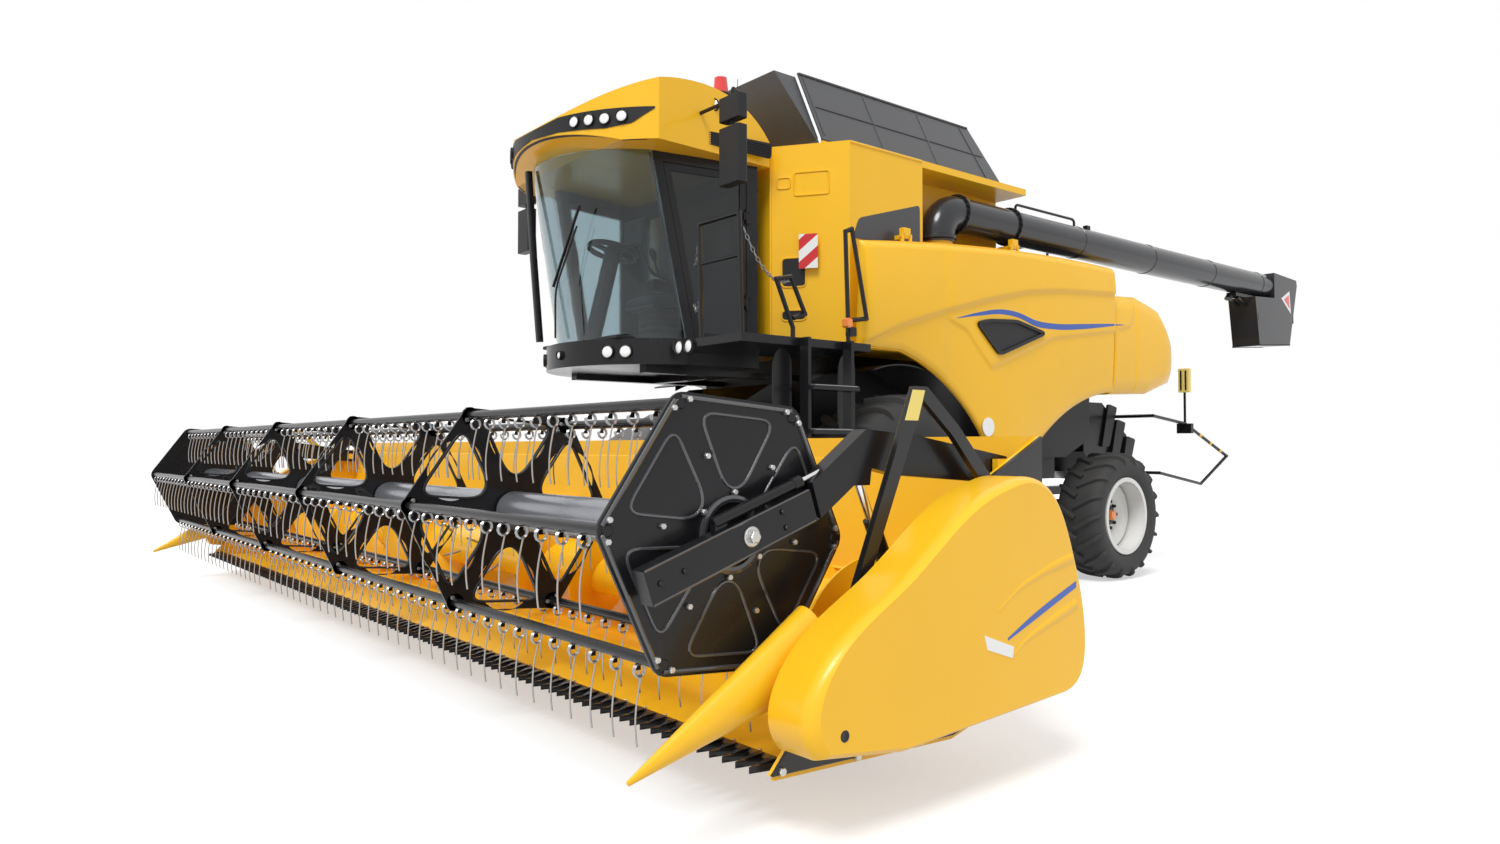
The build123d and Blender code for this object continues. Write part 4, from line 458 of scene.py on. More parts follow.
@dataclass(frozen=True)
class Finish:
    """A surface finish: its colour, gloss, grain, and how much dust lies on it."""

    name: str
    colour: tuple
    roughness: float
    grain: Grain = Grain.PAINT
    metallic: float = 0.0
    coat: float = 0.0
    tone: float = 0.10
    dust: float = 0.12
    dust_reach: float = 1.6
    clear: float = 0.0
    glow: float = 0.0
    specular: float = 0.5

    def material(self) -> bpy.types.Material:
        """The finish's material, made on its first use.

        Returns:
            The material.
        """
        known = bpy.data.materials.get(self.name)
        if known:
            return known
        made = bpy.data.materials.new(self.name)
        made.use_nodes = True
        tree = made.node_tree
        shader = tree.nodes["Principled BSDF"]
        place = node(tree, "TexCoord").outputs["Object"]
        scale, depth = GRAIN_SIZES[self.grain]
        source = place
        if self.grain is Grain.BRUSHED:
            source = node(tree, "Mapping", {"Vector": place, "Scale": BRUSH_STRETCH}).outputs["Vector"]
        grain = node(tree, "Group", {"Vector": source, "Fine": scale, "Broad": TONE_SCALE},
                     node_tree=Groups.grain())
        tone = grain.outputs["Tone"]
        dark = tuple(c * (1 - self.tone) for c in self.colour)
        light = tuple(min(c * (1 + self.tone * 0.6), 1.0) for c in self.colour)
        tint = node(tree, "Mix", {"A": (*dark, 1), "B": (*light, 1), "Factor": tone},
                    data_type="RGBA").outputs["Result"]
        veil = node(tree, "Group", {"Vector": place, "Reach": self.dust_reach, "Amount": self.dust},
                    node_tree=Groups.dust()).outputs["Mask"]
        dusted = node(tree, "Mix", {"A": tint, "B": DUST_COLOUR, "Factor": veil},
                      data_type="RGBA").outputs["Result"]
        low, high = max(self.roughness - 0.05, 0.02), min(self.roughness + 0.08, 1.0)
        gloss = node(tree, "MapRange", {"Value": tone, "To Min": low, "To Max": high}).outputs["Result"]
        bump = node(tree, "Bump", {"Strength": 0.35, "Distance": depth, "Height": grain.outputs["Height"]})
        for name, socket in (("Base Color", dusted), ("Roughness", gloss),
                             ("Normal", bump.outputs["Normal"])):
            tree.links.new(socket, shader.inputs[name])
        values = {"Metallic": self.metallic, "Specular IOR Level": self.specular, "Coat Weight": self.coat,
                  "Coat Roughness": 0.06}
        if self.grain is Grain.CLOTH:
            values["Sheen Weight"] = 0.4
        if self.glow:
            tree.links.new(tint, shader.inputs["Emission Color"])
            values["Emission Strength"] = self.glow
        if self.clear:
            values |= {"Transmission Weight": self.clear, "IOR": 1.45}
            self.pass_shadow(tree, shader)
        for name, value in values.items():
            shader.inputs[name].default_value = value
        return made

    def pass_shadow(self, tree: bpy.types.NodeTree, shader: bpy.types.Node) -> None:
        """Lets light through a glass to what stands behind it.

        Args:
            tree: the material's nodes.
            shader: its surface shader.
        """
        rays = node(tree, "LightPath").outputs["Is Shadow Ray"]
        thin = node(tree, "BsdfTransparent",
                    {"Color": (*[0.55 + 0.35 * c for c in self.colour], 1)}).outputs[0]
        blend = node(tree, "MixShader", {"Fac": rays, 1: shader.outputs[0], 2: thin})
        tree.links.new(blend.outputs[0], tree.nodes["Material Output"].inputs["Surface"])


YELLOW = Finish("golden_yellow_paint", (0.96, 0.53, 0.012), 0.30, Grain.PAINT, coat=0.12, tone=0.05,
                dust=0.04, specular=0.4)
COVER = Finish("cover_grey_paint", (0.052, 0.053, 0.058), 0.36, Grain.PAINT, coat=0.1, tone=0.16, dust=0.03)
BLACK = Finish("gloss_black_paint", (0.010, 0.010, 0.012), 0.24, Grain.PAINT, coat=0.05, tone=0.25, dust=0.06,
               specular=0.28)
TUBE = Finish("tube_grey_paint", (0.030, 0.031, 0.035), 0.22, Grain.PAINT, metallic=0.2, coat=0.25, tone=0.15,
              specular=0.35)
HOUSING = Finish("housing_grey_paint", (0.020, 0.020, 0.022), 0.42, Grain.PAINT, tone=0.2, dust=0.15,
                 specular=0.3)
RUBBER = Finish("tyre_rubber", (0.012, 0.012, 0.013), 0.60, Grain.RUBBER, tone=0.3, dust=0.12, dust_reach=1.9,
                specular=0.25)
RIM = Finish("rim_white_enamel", (0.74, 0.74, 0.72), 0.30, Grain.PAINT, coat=0.3, tone=0.05, dust=0.16)
GLASS = Finish("tinted_glass", (0.50, 0.60, 0.63), 0.02, Grain.SMOOTH, tone=0.03, dust=0.0, clear=1.0,
               specular=0.35)
DARK_GLASS = Finish("dark_door_glass", (0.10, 0.12, 0.13), 0.02, Grain.SMOOTH, tone=0.05, dust=0.0, clear=0.9,
                    specular=0.25)
STEEL = Finish("worn_steel", (0.32, 0.32, 0.33), 0.34, Grain.BRUSHED, metallic=0.9, tone=0.25)
WIRE = Finish("spring_wire", (0.40, 0.40, 0.41), 0.30, Grain.BRUSHED, metallic=0.85, tone=0.2)
BOLT = Finish("plated_bolt", (0.55, 0.55, 0.54), 0.28, Grain.CAST, metallic=0.9, tone=0.15)
CHROME = Finish("polished_rod", (0.75, 0.75, 0.76), 0.08, Grain.SMOOTH, metallic=1.0, tone=0.04)
IRON = Finish("rough_cast_iron", (0.07, 0.07, 0.072), 0.60, Grain.CAST, metallic=0.3, tone=0.3, dust=0.3,
              dust_reach=4)
PLASTIC = Finish("grained_dark_plastic", (0.014, 0.014, 0.016), 0.46, Grain.MOULDED, tone=0.15, dust=0.04,
                 specular=0.3)
CLOTH = Finish("seat_cloth", (0.045, 0.046, 0.052), 0.85, Grain.CLOTH, tone=0.25, dust=0.0)
LAMP = Finish("lamp_glass", (0.92, 0.93, 0.95), 0.08, Grain.SMOOTH, coat=1.0, tone=0.04, dust=0.0, glow=0.12)
# Also on the rear hub caps, where its slight glow is a painted glow, not a lamp.
AMBER = Finish("amber_lens", (0.90, 0.24, 0.02), 0.14, Grain.SMOOTH, coat=0.8, tone=0.08, dust=0.0, glow=0.08)
# Also on the spout mark's centre, where its slight glow is a painted glow, not a lamp.
RED = Finish("red_lens", (0.72, 0.03, 0.025), 0.16, Grain.SMOOTH, coat=0.8, tone=0.10, dust=0.0, glow=0.05)
BLUE = Finish("blue_stripe_film", (0.004, 0.075, 0.42), 0.30, Grain.PAINT, coat=0.4, tone=0.05, dust=0.03)
# White for the panels' discs and the spout's mark, and for the painted highlight on the shields.
WHITE = Finish("white_film_and_painted_highlight", (0.88, 0.88, 0.87), 0.35, Grain.PAINT, coat=0.3, tone=0.03, dust=0.04)
MIRROR_GLASS = Finish("mirror_glass", (0.80, 0.82, 0.83), 0.04, Grain.SMOOTH, metallic=1.0, tone=0.02,
                      dust=0.0)

SLOT_FINISHES = {
    "body_yellow": YELLOW, "cover_grey": COVER, "frame_black": BLACK, "tube_grey": TUBE,
    "tyre_rubber": RUBBER,
    "rim_white": RIM, "window_glass": GLASS, "knife_steel": BLACK, "rod_chrome": CHROME, "engine_iron": IRON,
    "seat_cloth": CLOTH, "dark_plastic": PLASTIC, "lamp_lens": RED,
}
NODE_FINISHES = {
    "separator_body": HOUSING, "engine_deck": HOUSING, "chassis": HOUSING, "feeder_house": BLACK,
    "cab_door_glass": DARK_GLASS, "handrails": BLACK, "header_auger": YELLOW,
}


def split_by_side(name: str, inner: Finish, outer: Finish, reach: float) -> bpy.types.Material:
    """Material with one finish's colour up to a distance from the machine's middle and another's beyond it.

    Args:
        name: the material's name.
        inner: finish of what lies nearer to the middle; its gloss and grain hold everywhere.
        outer: finish whose colour the rest gets.
        reach: the distance along X.

    Returns:
        The material.
    """
    made = inner.material().copy()
    made.name = name
    tree = made.node_tree
    parts = node(tree, "SeparateXYZ", {0: node(tree, "TexCoord").outputs["Object"]})
    away = node(tree, "Math", {0: parts.outputs["X"]}, operation="ABSOLUTE").outputs[0]
    beyond = node(tree, "Math", {0: away, 1: reach}, operation="GREATER_THAN").outputs[0]
    paint_over(tree, beyond, outer.colour)
    return made


def paint_over(tree: bpy.types.NodeTree, mask: bpy.types.NodeSocket, colour: tuple) -> None:
    """Lays a colour over a material's own where a mask is 1.

    Args:
        tree: the material's nodes.
        mask: 1 where the colour goes.
        colour: red, green and blue.
    """
    base = tree.nodes["Principled BSDF"].inputs["Base Color"]
    mix = node(tree, "Mix", {"A": base.links[0].from_socket, "B": (*colour, 1), "Factor": mask},
               data_type="RGBA")
    tree.links.new(mix.outputs["Result"], base)


def dress_nodes() -> None:
    """Gives each CAD node the finish of its slot, or its own."""
    for row in frame["record"]["subparts"]:
        node = frame["nodes"][row["node"]]
        finish = NODE_FINISHES.get(row["node"], SLOT_FINISHES[row["material_slot"]])
        node.data.materials.clear()
        node.data.materials.append(finish.material())
    table = frame["nodes"]["header_frame"].data.materials
    table.clear()
    table.append(split_by_side("table_yellow_black_struts", YELLOW, BLACK, 4.4853))


def placed(name: str, data: bpy.types.ID) -> bpy.types.Object:
    """New object with its data, linked to the scene.

    Args:
        name: the object's name.
        data: its mesh, camera or lamp.

    Returns:
        The object, at the origin.
    """
    made = bpy.data.objects.new(name, data)
    bpy.context.scene.collection.objects.link(made)
    return made


def make(name: str, shells: list, finish: Finish, body: str,
         sharp: float = 35.0) -> bpy.types.Object:
    """Turns shells into one finished object that rides on a body.

    Args:
        name: the piece's name.
        shells: what it is made of.
        finish: its finish.
        body: the CAD body that it moves with.
        sharp: edges sharper than this many degrees stay crisp.

    Returns:
        The object, at the origin, with its place in its mesh.
    """
    whole = joined(shells)
    mesh = bpy.data.meshes.new(name)
    faces = whole.quads.tolist() + [rim.tolist() for rim in whole.rims]
    mesh.from_pydata(whole.points.tolist(), [], faces)
    work = bmesh.new()
    work.from_mesh(mesh)
    bmesh.ops.remove_doubles(work, verts=work.verts, dist=1e-5)
    bmesh.ops.recalc_face_normals(work, faces=work.faces)
    work.to_mesh(mesh)
    work.free()
    mesh.shade_smooth()
    mesh.set_sharp_from_angle(angle=math.radians(sharp))
    mesh.materials.append(finish.material())
    piece = placed(name, mesh)
    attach(piece, body)
    LOG.info("%s: %d faces on %s", name, len(mesh.polygons), body)
    return piece


# Sub-assemblies


@dataclass
class Reel:
    """The reel's bars, spring tines and the pressed ribs of its end plates."""

    station: float = -4.0
    height: float = 1.041
    bar_circle: float = 0.51
    phase: float = math.radians(-4.5)
    half: float = 4.318
    bar_radius: float = 0.021
    tine_pitch: float = 0.152
    tine_length: float = 0.235
    coil_radius: float = 0.024
    wire: float = 0.0038
    plates: tuple = tuple(np.linspace(-4.312, 4.312, 6))
    opening: tuple = ((0.175, -0.045), (0.440, -0.195), (0.440, 0.195), (0.175, 0.045))
    opening_radius: float = 0.085

    def bar_places(self) -> Array:
        """Stations and heights of the six bars."""
        angle = self.phase + np.arange(6) * np.pi / 3
        return np.stack([self.station + self.bar_circle * np.cos(angle),
                         self.height + self.bar_circle * np.sin(angle)], -1)

    def bars(self) -> None:
        """Round bars; the clips at the tines are made with the tines."""
        shells = []
        for y, z in self.bar_places():
            end = self.half + 0.006
            shells.append(rod(spot(-end, y, z), spot(end, y, z), self.bar_radius, 12))
        piece = make("reel_tine_bars", shells, BLACK, "reel")
        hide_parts("reel_bars")

    def tines(self) -> None:
        """Spring tines: a wire that turns twice round a small circle beside the bar, then runs down with a
        slight bend; the helix is radius times cosine and sine of the angle, its x grows with the angle."""
        angle = np.linspace(-np.pi / 2, 3.5 * np.pi, 22)
        coil = np.stack([0.0065 * (angle - angle[0]) / (2 * np.pi) * 1.6, self.coil_radius * np.cos(angle),
                         self.coil_radius * np.sin(angle)], -1)
        fall = np.linspace(0, 1, 8)[1:]
        leg = np.stack([np.full(7, coil[-1, 0]), coil[-1, 1] - 0.022 * np.sin(fall * 2.4),
                        coil[-1, 2] - self.tine_length * fall], -1)
        path = np.concatenate([coil, leg])
        one = carry(circle(self.wire, 4), path, (1, 0, 0))
        clip = carry(oblong(0.018, 0.006), np.array([(0.004, 0, 0.05), (0.004, 0, 0.02), (0.004, 0, 0.0)]),
                     (1, 0, 0))
        reach = self.half - 0.12
        xs = np.arange(-reach, reach, self.tine_pitch)
        xs = xs[np.min(np.abs(xs[:, None] - np.array(self.plates)[None]), 1) > 0.03]
        drop = self.bar_radius + 0.022
        places = spots([(x, y, z - drop) for y, z in self.bar_places() for x in xs])
        make("reel_spring_tines", [one.copies(places)], WIRE, "reel", 60)
        make("reel_tine_clips", [clip.copies(places)], BLACK, "reel")

    def sector(self, corners: list, index: int) -> Array:
        """Corners given by (radius, angle from the middle between two bars) as stations and heights.

        Args:
            corners: rows of radius and angle in degrees.
            index: number of the sixth.

        Returns:
            (n, 2) stations and heights.
        """
        middle = self.phase + np.pi / 6 + index * np.pi / 3
        rows = np.array(corners, float)
        angle = middle + np.radians(rows[:, 1])
        return np.stack([self.station + rows[:, 0] * np.cos(angle), self.height + rows[:, 0] * np.sin(angle)],
                        -1)

    def open_frame(self, x: float, thick: float) -> Shell:
        """Pressed frame with one rounded opening in each sixth.

        Each sixth is a ring between its straight outline and its opening. Along each ray from the opening's
        middle, the outline is the nearest of its four sides, and the opening follows its rounded corners.

        Args:
            x: place of its middle plane.
            thick: its thickness.

        Returns:
            A closed shell with flat discs at the bars.
        """
        slope = math.tan(math.pi / 6)
        middle = np.array([0.335, 0.0])
        rim = self.bar_circle * math.cos(math.pi / 6) + 0.038
        corners = np.array([(0.078, -0.078 * slope), (rim, -rim * slope), (rim, rim * slope),
                            (0.078, 0.078 * slope)]) - middle
        hole = rounded(self.opening, self.opening_radius, 7, closed=True) - middle
        bearing = np.arctan2(hole[:, 1], hole[:, 0])
        order = np.argsort(bearing)
        angle = np.sort(np.concatenate([np.linspace(-np.pi, np.pi, 48, endpoint=False),
                                        np.arctan2(corners[:, 1], corners[:, 0])]))
        ray = np.stack([np.cos(angle), np.sin(angle)], -1)
        side = np.roll(corners, -1, 0) - corners
        normal = np.stack([side[:, 1], -side[:, 0]], -1)
        facing = ray @ normal.T
        far = np.where(facing > 1e-9, (corners * normal).sum(1) / np.where(facing > 1e-9, facing, 1.0),
                       1e9).min(1)
        near = np.interp(angle, bearing[order], np.linalg.norm(hole[order], axis=1), period=2 * np.pi)
        outer, inner = middle + far[:, None] * ray, middle + near[:, None] * ray
        loops = []
        for flat, offset in ((outer, -thick / 2), (inner, -thick / 2), (inner, thick / 2),
                             (outer, thick / 2)):
            loops.append(np.column_stack([np.full(len(flat), offset), flat]))
        ring = Shell(np.concatenate(loops), weave(4, len(angle), True))
        turns = spin_x(self.phase + np.pi / 6 + np.arange(6) * np.pi / 3)
        hub = spot(x, self.station, self.height)
        disc = [(-thick / 2, 0.0418), (thick / 2, 0.0418)]
        discs = [turned(disc, spot(x, *place), (1, 0, 0), 18) for place in self.bar_places()]
        return joined([ring.copies(np.broadcast_to(hub, (6, 3)), turns)] + discs)

    def frames(self) -> None:
        """The four open frames, the two closed end plates, the central tube and its shafts."""
        hub = spot(0, self.station, self.height)
        shells = [self.open_frame(x, 0.012) for x in self.plates[1:-1]]
        corner = self.phase + np.arange(6) * np.pi / 3
        radius = self.bar_circle + 0.048
        hexagon = rounded(np.stack([radius * np.cos(corner), radius * np.sin(corner)], -1), 0.045, 6,
                          closed=True)
        for side in SIDES:
            rows = at_x(side * 4.306, hexagon + (self.station, self.height))
            shells.append(prism(rows, (side * 0.012, 0, 0)))
            shells.append(rod(hub + (side * 4.30, 0, 0), hub + (side * 4.435, 0, 0), 0.035, 24))
        shells.append(turned([(-4.31, 0.088), (4.31, 0.088)], hub, (1, 0, 0), 36))
        piece = make("reel_plates_and_tube", shells, BLACK, "reel")
        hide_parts("reel_frames")

    def plate_ribs(self) -> None:
        """Pressed ribs: a half-round section along rounded triangles and along the plate's rim, in a lighter
        grey that paints the highlight on their edges.
        """
        ribs, heads, lips = [], [], []
        for side in SIDES:
            x = side * (self.half + 0.001)
            for index in range(6):
                corners = self.sector([(0.17, -14), (0.17, 14), (0.455, 22.5), (0.455, -22.5)], index)
                flat = rounded(corners, 0.07, 6, closed=True)
                ribs.append(carry(circle(0.006, 6), at_x(x, flat), (1, 0, 0), closed=True))
                edge = self.sector([(0.530, -28.5), (0.530, 28.5)], index)
                ribs.append(rod(spot(x, *edge[0]), spot(x, *edge[1]), 0.0085, 8))
                spread = self.sector([(0.51, -26), (0.51, 26), (0.30, 26), (0.15, 0)], index)
                heads.append(bolts(at_x(x + side * 0.004, spread), (side, 0, 0), 0.012, 0.012))
            hub = spot(x, self.station, self.height)
            ring = [(0, 0.14), (side * 0.012, 0.14), (side * 0.016, 0.128), (side * 0.012, 0.115), (0, 0.115)]
            ribs.append(turned(ring, hub, (1, 0, 0), 32, loop=True))
        for x in self.plates[1:-1]:
            for index in range(6):
                outline = self.hole(index)
                for face in (-0.007, 0.007):
                    lips.append(carry(circle(0.0065, 5), at_x(x + face, outline), (1, 0, 0), closed=True))
                spread = self.sector([(0.50, -27), (0.50, 27)], index)
                heads.append(bolts(at_x(x + 0.008, spread), (1, 0, 0), 0.011, 0.010))
        # The ribs' lighter grey is a painted highlight.
        make("reel_plate_ribs", ribs, RIB_HIGHLIGHT, "reel")
        make("reel_frame_lips", lips, BLACK, "reel")
        make("reel_bolts", heads, BOLT, "reel")

    def hole(self, index: int) -> Array:
        """Outline of a sixth's opening as stations and heights.

        Args:
            index: number of the sixth.

        Returns:
            (n, 2) stations and heights.
        """
        turn = self.phase + np.pi / 6 + index * np.pi / 3
        rows = rounded(self.opening, self.opening_radius, 7, closed=True)
        return np.stack([self.station + rows[:, 0] * np.cos(turn) - rows[:, 1] * np.sin(turn),
                         self.height + rows[:, 0] * np.sin(turn) + rows[:, 1] * np.cos(turn)], -1)

    def hub_tube(self) -> None:
        """Bright sleeve over the reel's central tube, between its frames."""
        shells = []
        edges = self.plates
        for a, b in zip(edges[:-1], edges[1:]):
            shells.append(turned([(0, 0.089), (0, 0.094), (b - a - 0.05, 0.094), (b - a - 0.05, 0.089)],
                                 spot(a + 0.025, self.station, self.height), (1, 0, 0), 36, loop=True))
        make("reel_centre_tube", shells, SILVER, "reel")

    def build(self) -> None:
        """Builds all the reel's pieces."""
        self.frames()
        self.bars()
        self.tines()
        self.plate_ribs()
        self.hub_tube()


# Lighter grey with a strong coat on the reel's pressed ribs and the sleeves' edge beads, which are gloss
# black: a painted highlight along those edges.
RIB_HIGHLIGHT = Finish("pressed_rib_painted_highlight", (0.060, 0.061, 0.066), 0.16, Grain.PAINT, coat=0.9, tone=0.2, dust=0.0)
SILVER = Finish("silver_tube_paint", (0.30, 0.31, 0.34), 0.26, Grain.PAINT, metallic=0.6, coat=0.3, tone=0.12,
                dust=0.05)


@dataclass
class ReelArm:
    """Fittings of a reel arm: its fore-and-aft cylinder, the reel's end bolt, the sleeve's bolts and edge
    beads, and a plate on the strut.
    """

    side: int
    x: float = 4.4
    slope: float = math.radians(18.7)

    def line(self, distance: float, rise: float, out: float = 0.0) -> Array:
        """Point at a distance ahead of the reel's axis along the sleeve, above it, and outwards of it.

        Args:
            distance: how far ahead of the axis.
            rise: how far above the sleeve's middle.
            out: how far outwards.

        Returns:
            The point.
        """
        y = -4.0 - distance * math.cos(self.slope) - rise * math.sin(self.slope)
        z = 1.041 - distance * math.sin(self.slope) + rise * math.cos(self.slope)
        return spot(self.side * (self.x + out), y, z)

    def build(self) -> None:
        """Builds the cylinder in two parts, the bolt and the edge beads."""
        name = "left" if self.side > 0 else "right"
        barrel = [rod(self.line(0.12, 0.092), self.line(-0.30, 0.092), 0.021, 14)]
        barrel.append(rod(self.line(-0.26, 0.092), self.line(-0.305, 0.092), 0.026, 14))
        barrel.append(upright_box(self.line(0.10, 0.072), (0.03, 0.05, 0.06)))
        make(f"reel_slide_barrel_{name}", barrel, BLACK, "sleeves")
        rods = [rod(self.line(-0.05, 0.092), self.line(-0.60, 0.092), 0.011, 12),
                rod(self.line(-0.585, 0.092), self.line(-0.63, 0.092), 0.020, 12)]
        make(f"reel_slide_rod_{name}", rods, CHROME, "arms")
        out = self.side
        face = self.line(0, 0, 0.035)
        shells = [turned([(0, 0.036), (0.005, 0.036), (0.008, 0.032), (0.008, 0.020)], face, (out, 0, 0), 24),
                  turned([(0.005, 0.024), (0.024, 0.024), (0.028, 0.019)], face, (out, 0, 0), 6)]
        make(f"reel_axle_bolt_{name}", shells, BOLT, "sleeves")
        heads = [bolts(np.array([self.line(0.30, 0.0, 0.035), self.line(-0.16, 0.03, 0.035),
                                 self.line(-0.16, -0.03, 0.035),
                                 self.line(0.40, 0.0, 0.035)]), (out, 0, 0), 0.011, 0.009)]
        make(f"reel_sleeve_bolts_{name}", heads, BLACK, "sleeves")
        # Edge beads along the sleeve in the lighter grey of a painted highlight.
        rim = [rod(self.line(0.445, 0.0585, 0.032), self.line(-0.305, 0.0585, 0.032), 0.005, 6),
               rod(self.line(0.445, -0.0585, 0.032), self.line(-0.305, -0.0585, 0.032), 0.005, 6)]
        make(f"reel_sleeve_edges_{name}", rim, RIB_HIGHLIGHT, "sleeves")
        label = prism(spots([(out * 4.5125, -3.250, 1.575), (out * 4.5125, -3.178, 1.575),
                             (out * 4.5125, -3.220, 1.455), (out * 4.5125, -3.296, 1.455)]),
                      (out * 0.0014, 0, 0))
        make(f"strut_plate_{name}", [label], PALE, "header")


PALE = Finish("pale_yellow_film", (0.90, 0.72, 0.20), 0.45, Grain.PAINT, tone=0.04, dust=0.03)


def upright_box(centre: Array, size: tuple, edge: float = 0.004) -> Shell:
    """Block with drawn-in top and bottom edges round a centre.

    Args:
        centre: its middle.
        size: its three sizes.
        edge: how far the top and the bottom draw in.

    Returns:
        A closed shell.
    """
    x, y, z = (s / 2 for s in size)
    rows = [(-z, -edge), (-z + edge, 0.0), (z - edge, 0.0), (z, -edge)]
    points = [[(centre[0] + sx * (x + inset), centre[1] + sy * (y + inset), centre[2] + height)
               for sx, sy in ((-1, -1), (1, -1), (1, 1), (-1, 1))] for height, inset in rows]
    return Shell(np.array(points, float).reshape(-1, 3), weave(4, 4), [np.arange(4), 12 + np.arange(4)])


@dataclass
class Cutter:
    """The header's knife: pressed guards with their lips and bolts, the table's fasteners and folds, and the
    auger's fingers.
    """

    half: float = 4.465
    pitch: float = 0.0762
    knife_station: float = -3.85
    height: float = 0.235

    def build(self) -> None:
        """Pointed guards as a section that shrinks and dips towards its tip, with their lips and bolts."""
        count = int(2 * self.half / self.pitch)
        xs = (np.arange(count) - (count - 1) / 2) * self.pitch
        t = np.linspace(0, 1, 7)
        path = np.stack([0 * t, -0.02 - 0.128 * t, 0.004 - 0.012 * t ** 2], -1)
        size = np.array([1.0, 1.0, 0.95, 0.8, 0.6, 0.36, 0.10])
        guard = carry(np.array([(-0.017, -0.012), (0.017, -0.012), (0.013, 0.008), (0, 0.015),
                                (-0.013, 0.008)]), path,
                      (0, 0, 1), size=size)
        lip = carry(oblong(0.030, 0.006),
                    np.array([(0, -0.03, 0.022), (0, -0.07, 0.020), (0, -0.105, 0.012)]), (0, 0, 1),
                    size=np.array([1.0, 0.9, 0.35]))
        places = spots(np.stack([xs, np.full(count, self.knife_station), np.full(count, self.height)], -1))
        make("knife_guards", [guard.copies(places), lip.copies(places)], BLACK, "header")
        heads = bolts(spots(np.stack([xs[::2], np.full(len(xs[::2]), self.knife_station + 0.028),
                                      np.full(len(xs[::2]), self.height + 0.0)], -1)), (0, 0, 1), 0.008,
                      0.006)
        make("knife_bolts", [heads], BOLT, "header")
        self.fasteners()

    def fasteners(self) -> None:
        """Bolts and folded edges on the end sheets and the back sheet's stiffening folds."""
        folds, heads = [], []
        for side in SIDES:
            x = side * 4.502
            heads.append(bolts(spots([(x, -3.92, 0.236), (x, -3.55, 0.215), (x, -3.20, 0.205)]), (side, 0, 0),
                               0.016, 0.01))
            folds.append(carry(oblong(0.030, 0.012),
                               spots([(x - side * 0.017, -3.95, 0.222), (x - side * 0.017, -3.0, 0.188),
                                      (x - side * 0.017, -2.45, 0.325)]), (1, 0, 0)))
        for x in np.linspace(-4.2, 4.2, 13):
            if abs(x) < 0.66:
                continue
            folds.append(carry(circle(0.010, 6),
                               spots([(x, -2.530, 0.66), (x, -2.501, 0.95), (x, -2.486, 1.25)]), (1, 0, 0)))
        long_fold = spots([(-4.44, -2.530, 0.72), (-0.62, -2.530, 0.72)])
        folds.append(carry(circle(0.012, 6), long_fold, (0, 0, 1)))
        folds.append(carry(circle(0.012, 6), long_fold * (-1, 1, 1), (0, 0, 1)))
        make("table_folds", folds, YELLOW, "header")
        make("table_bolts", heads, BOLT, "header")
        fingers = []
        angle = np.arange(14) * 2.4
        xs = np.linspace(-0.5, 0.5, 14)
        for x, a in zip(xs, angle):
            foot = spot(x, -2.93 + 0.14 * math.cos(a), 0.58 + 0.14 * math.sin(a))
            tip = spot(x, -2.93 + 0.285 * math.cos(a), 0.58 + 0.285 * math.sin(a))
            fingers.append(rod(foot, tip, 0.008, 8))
        make("auger_fingers", fingers, STEEL, "auger")


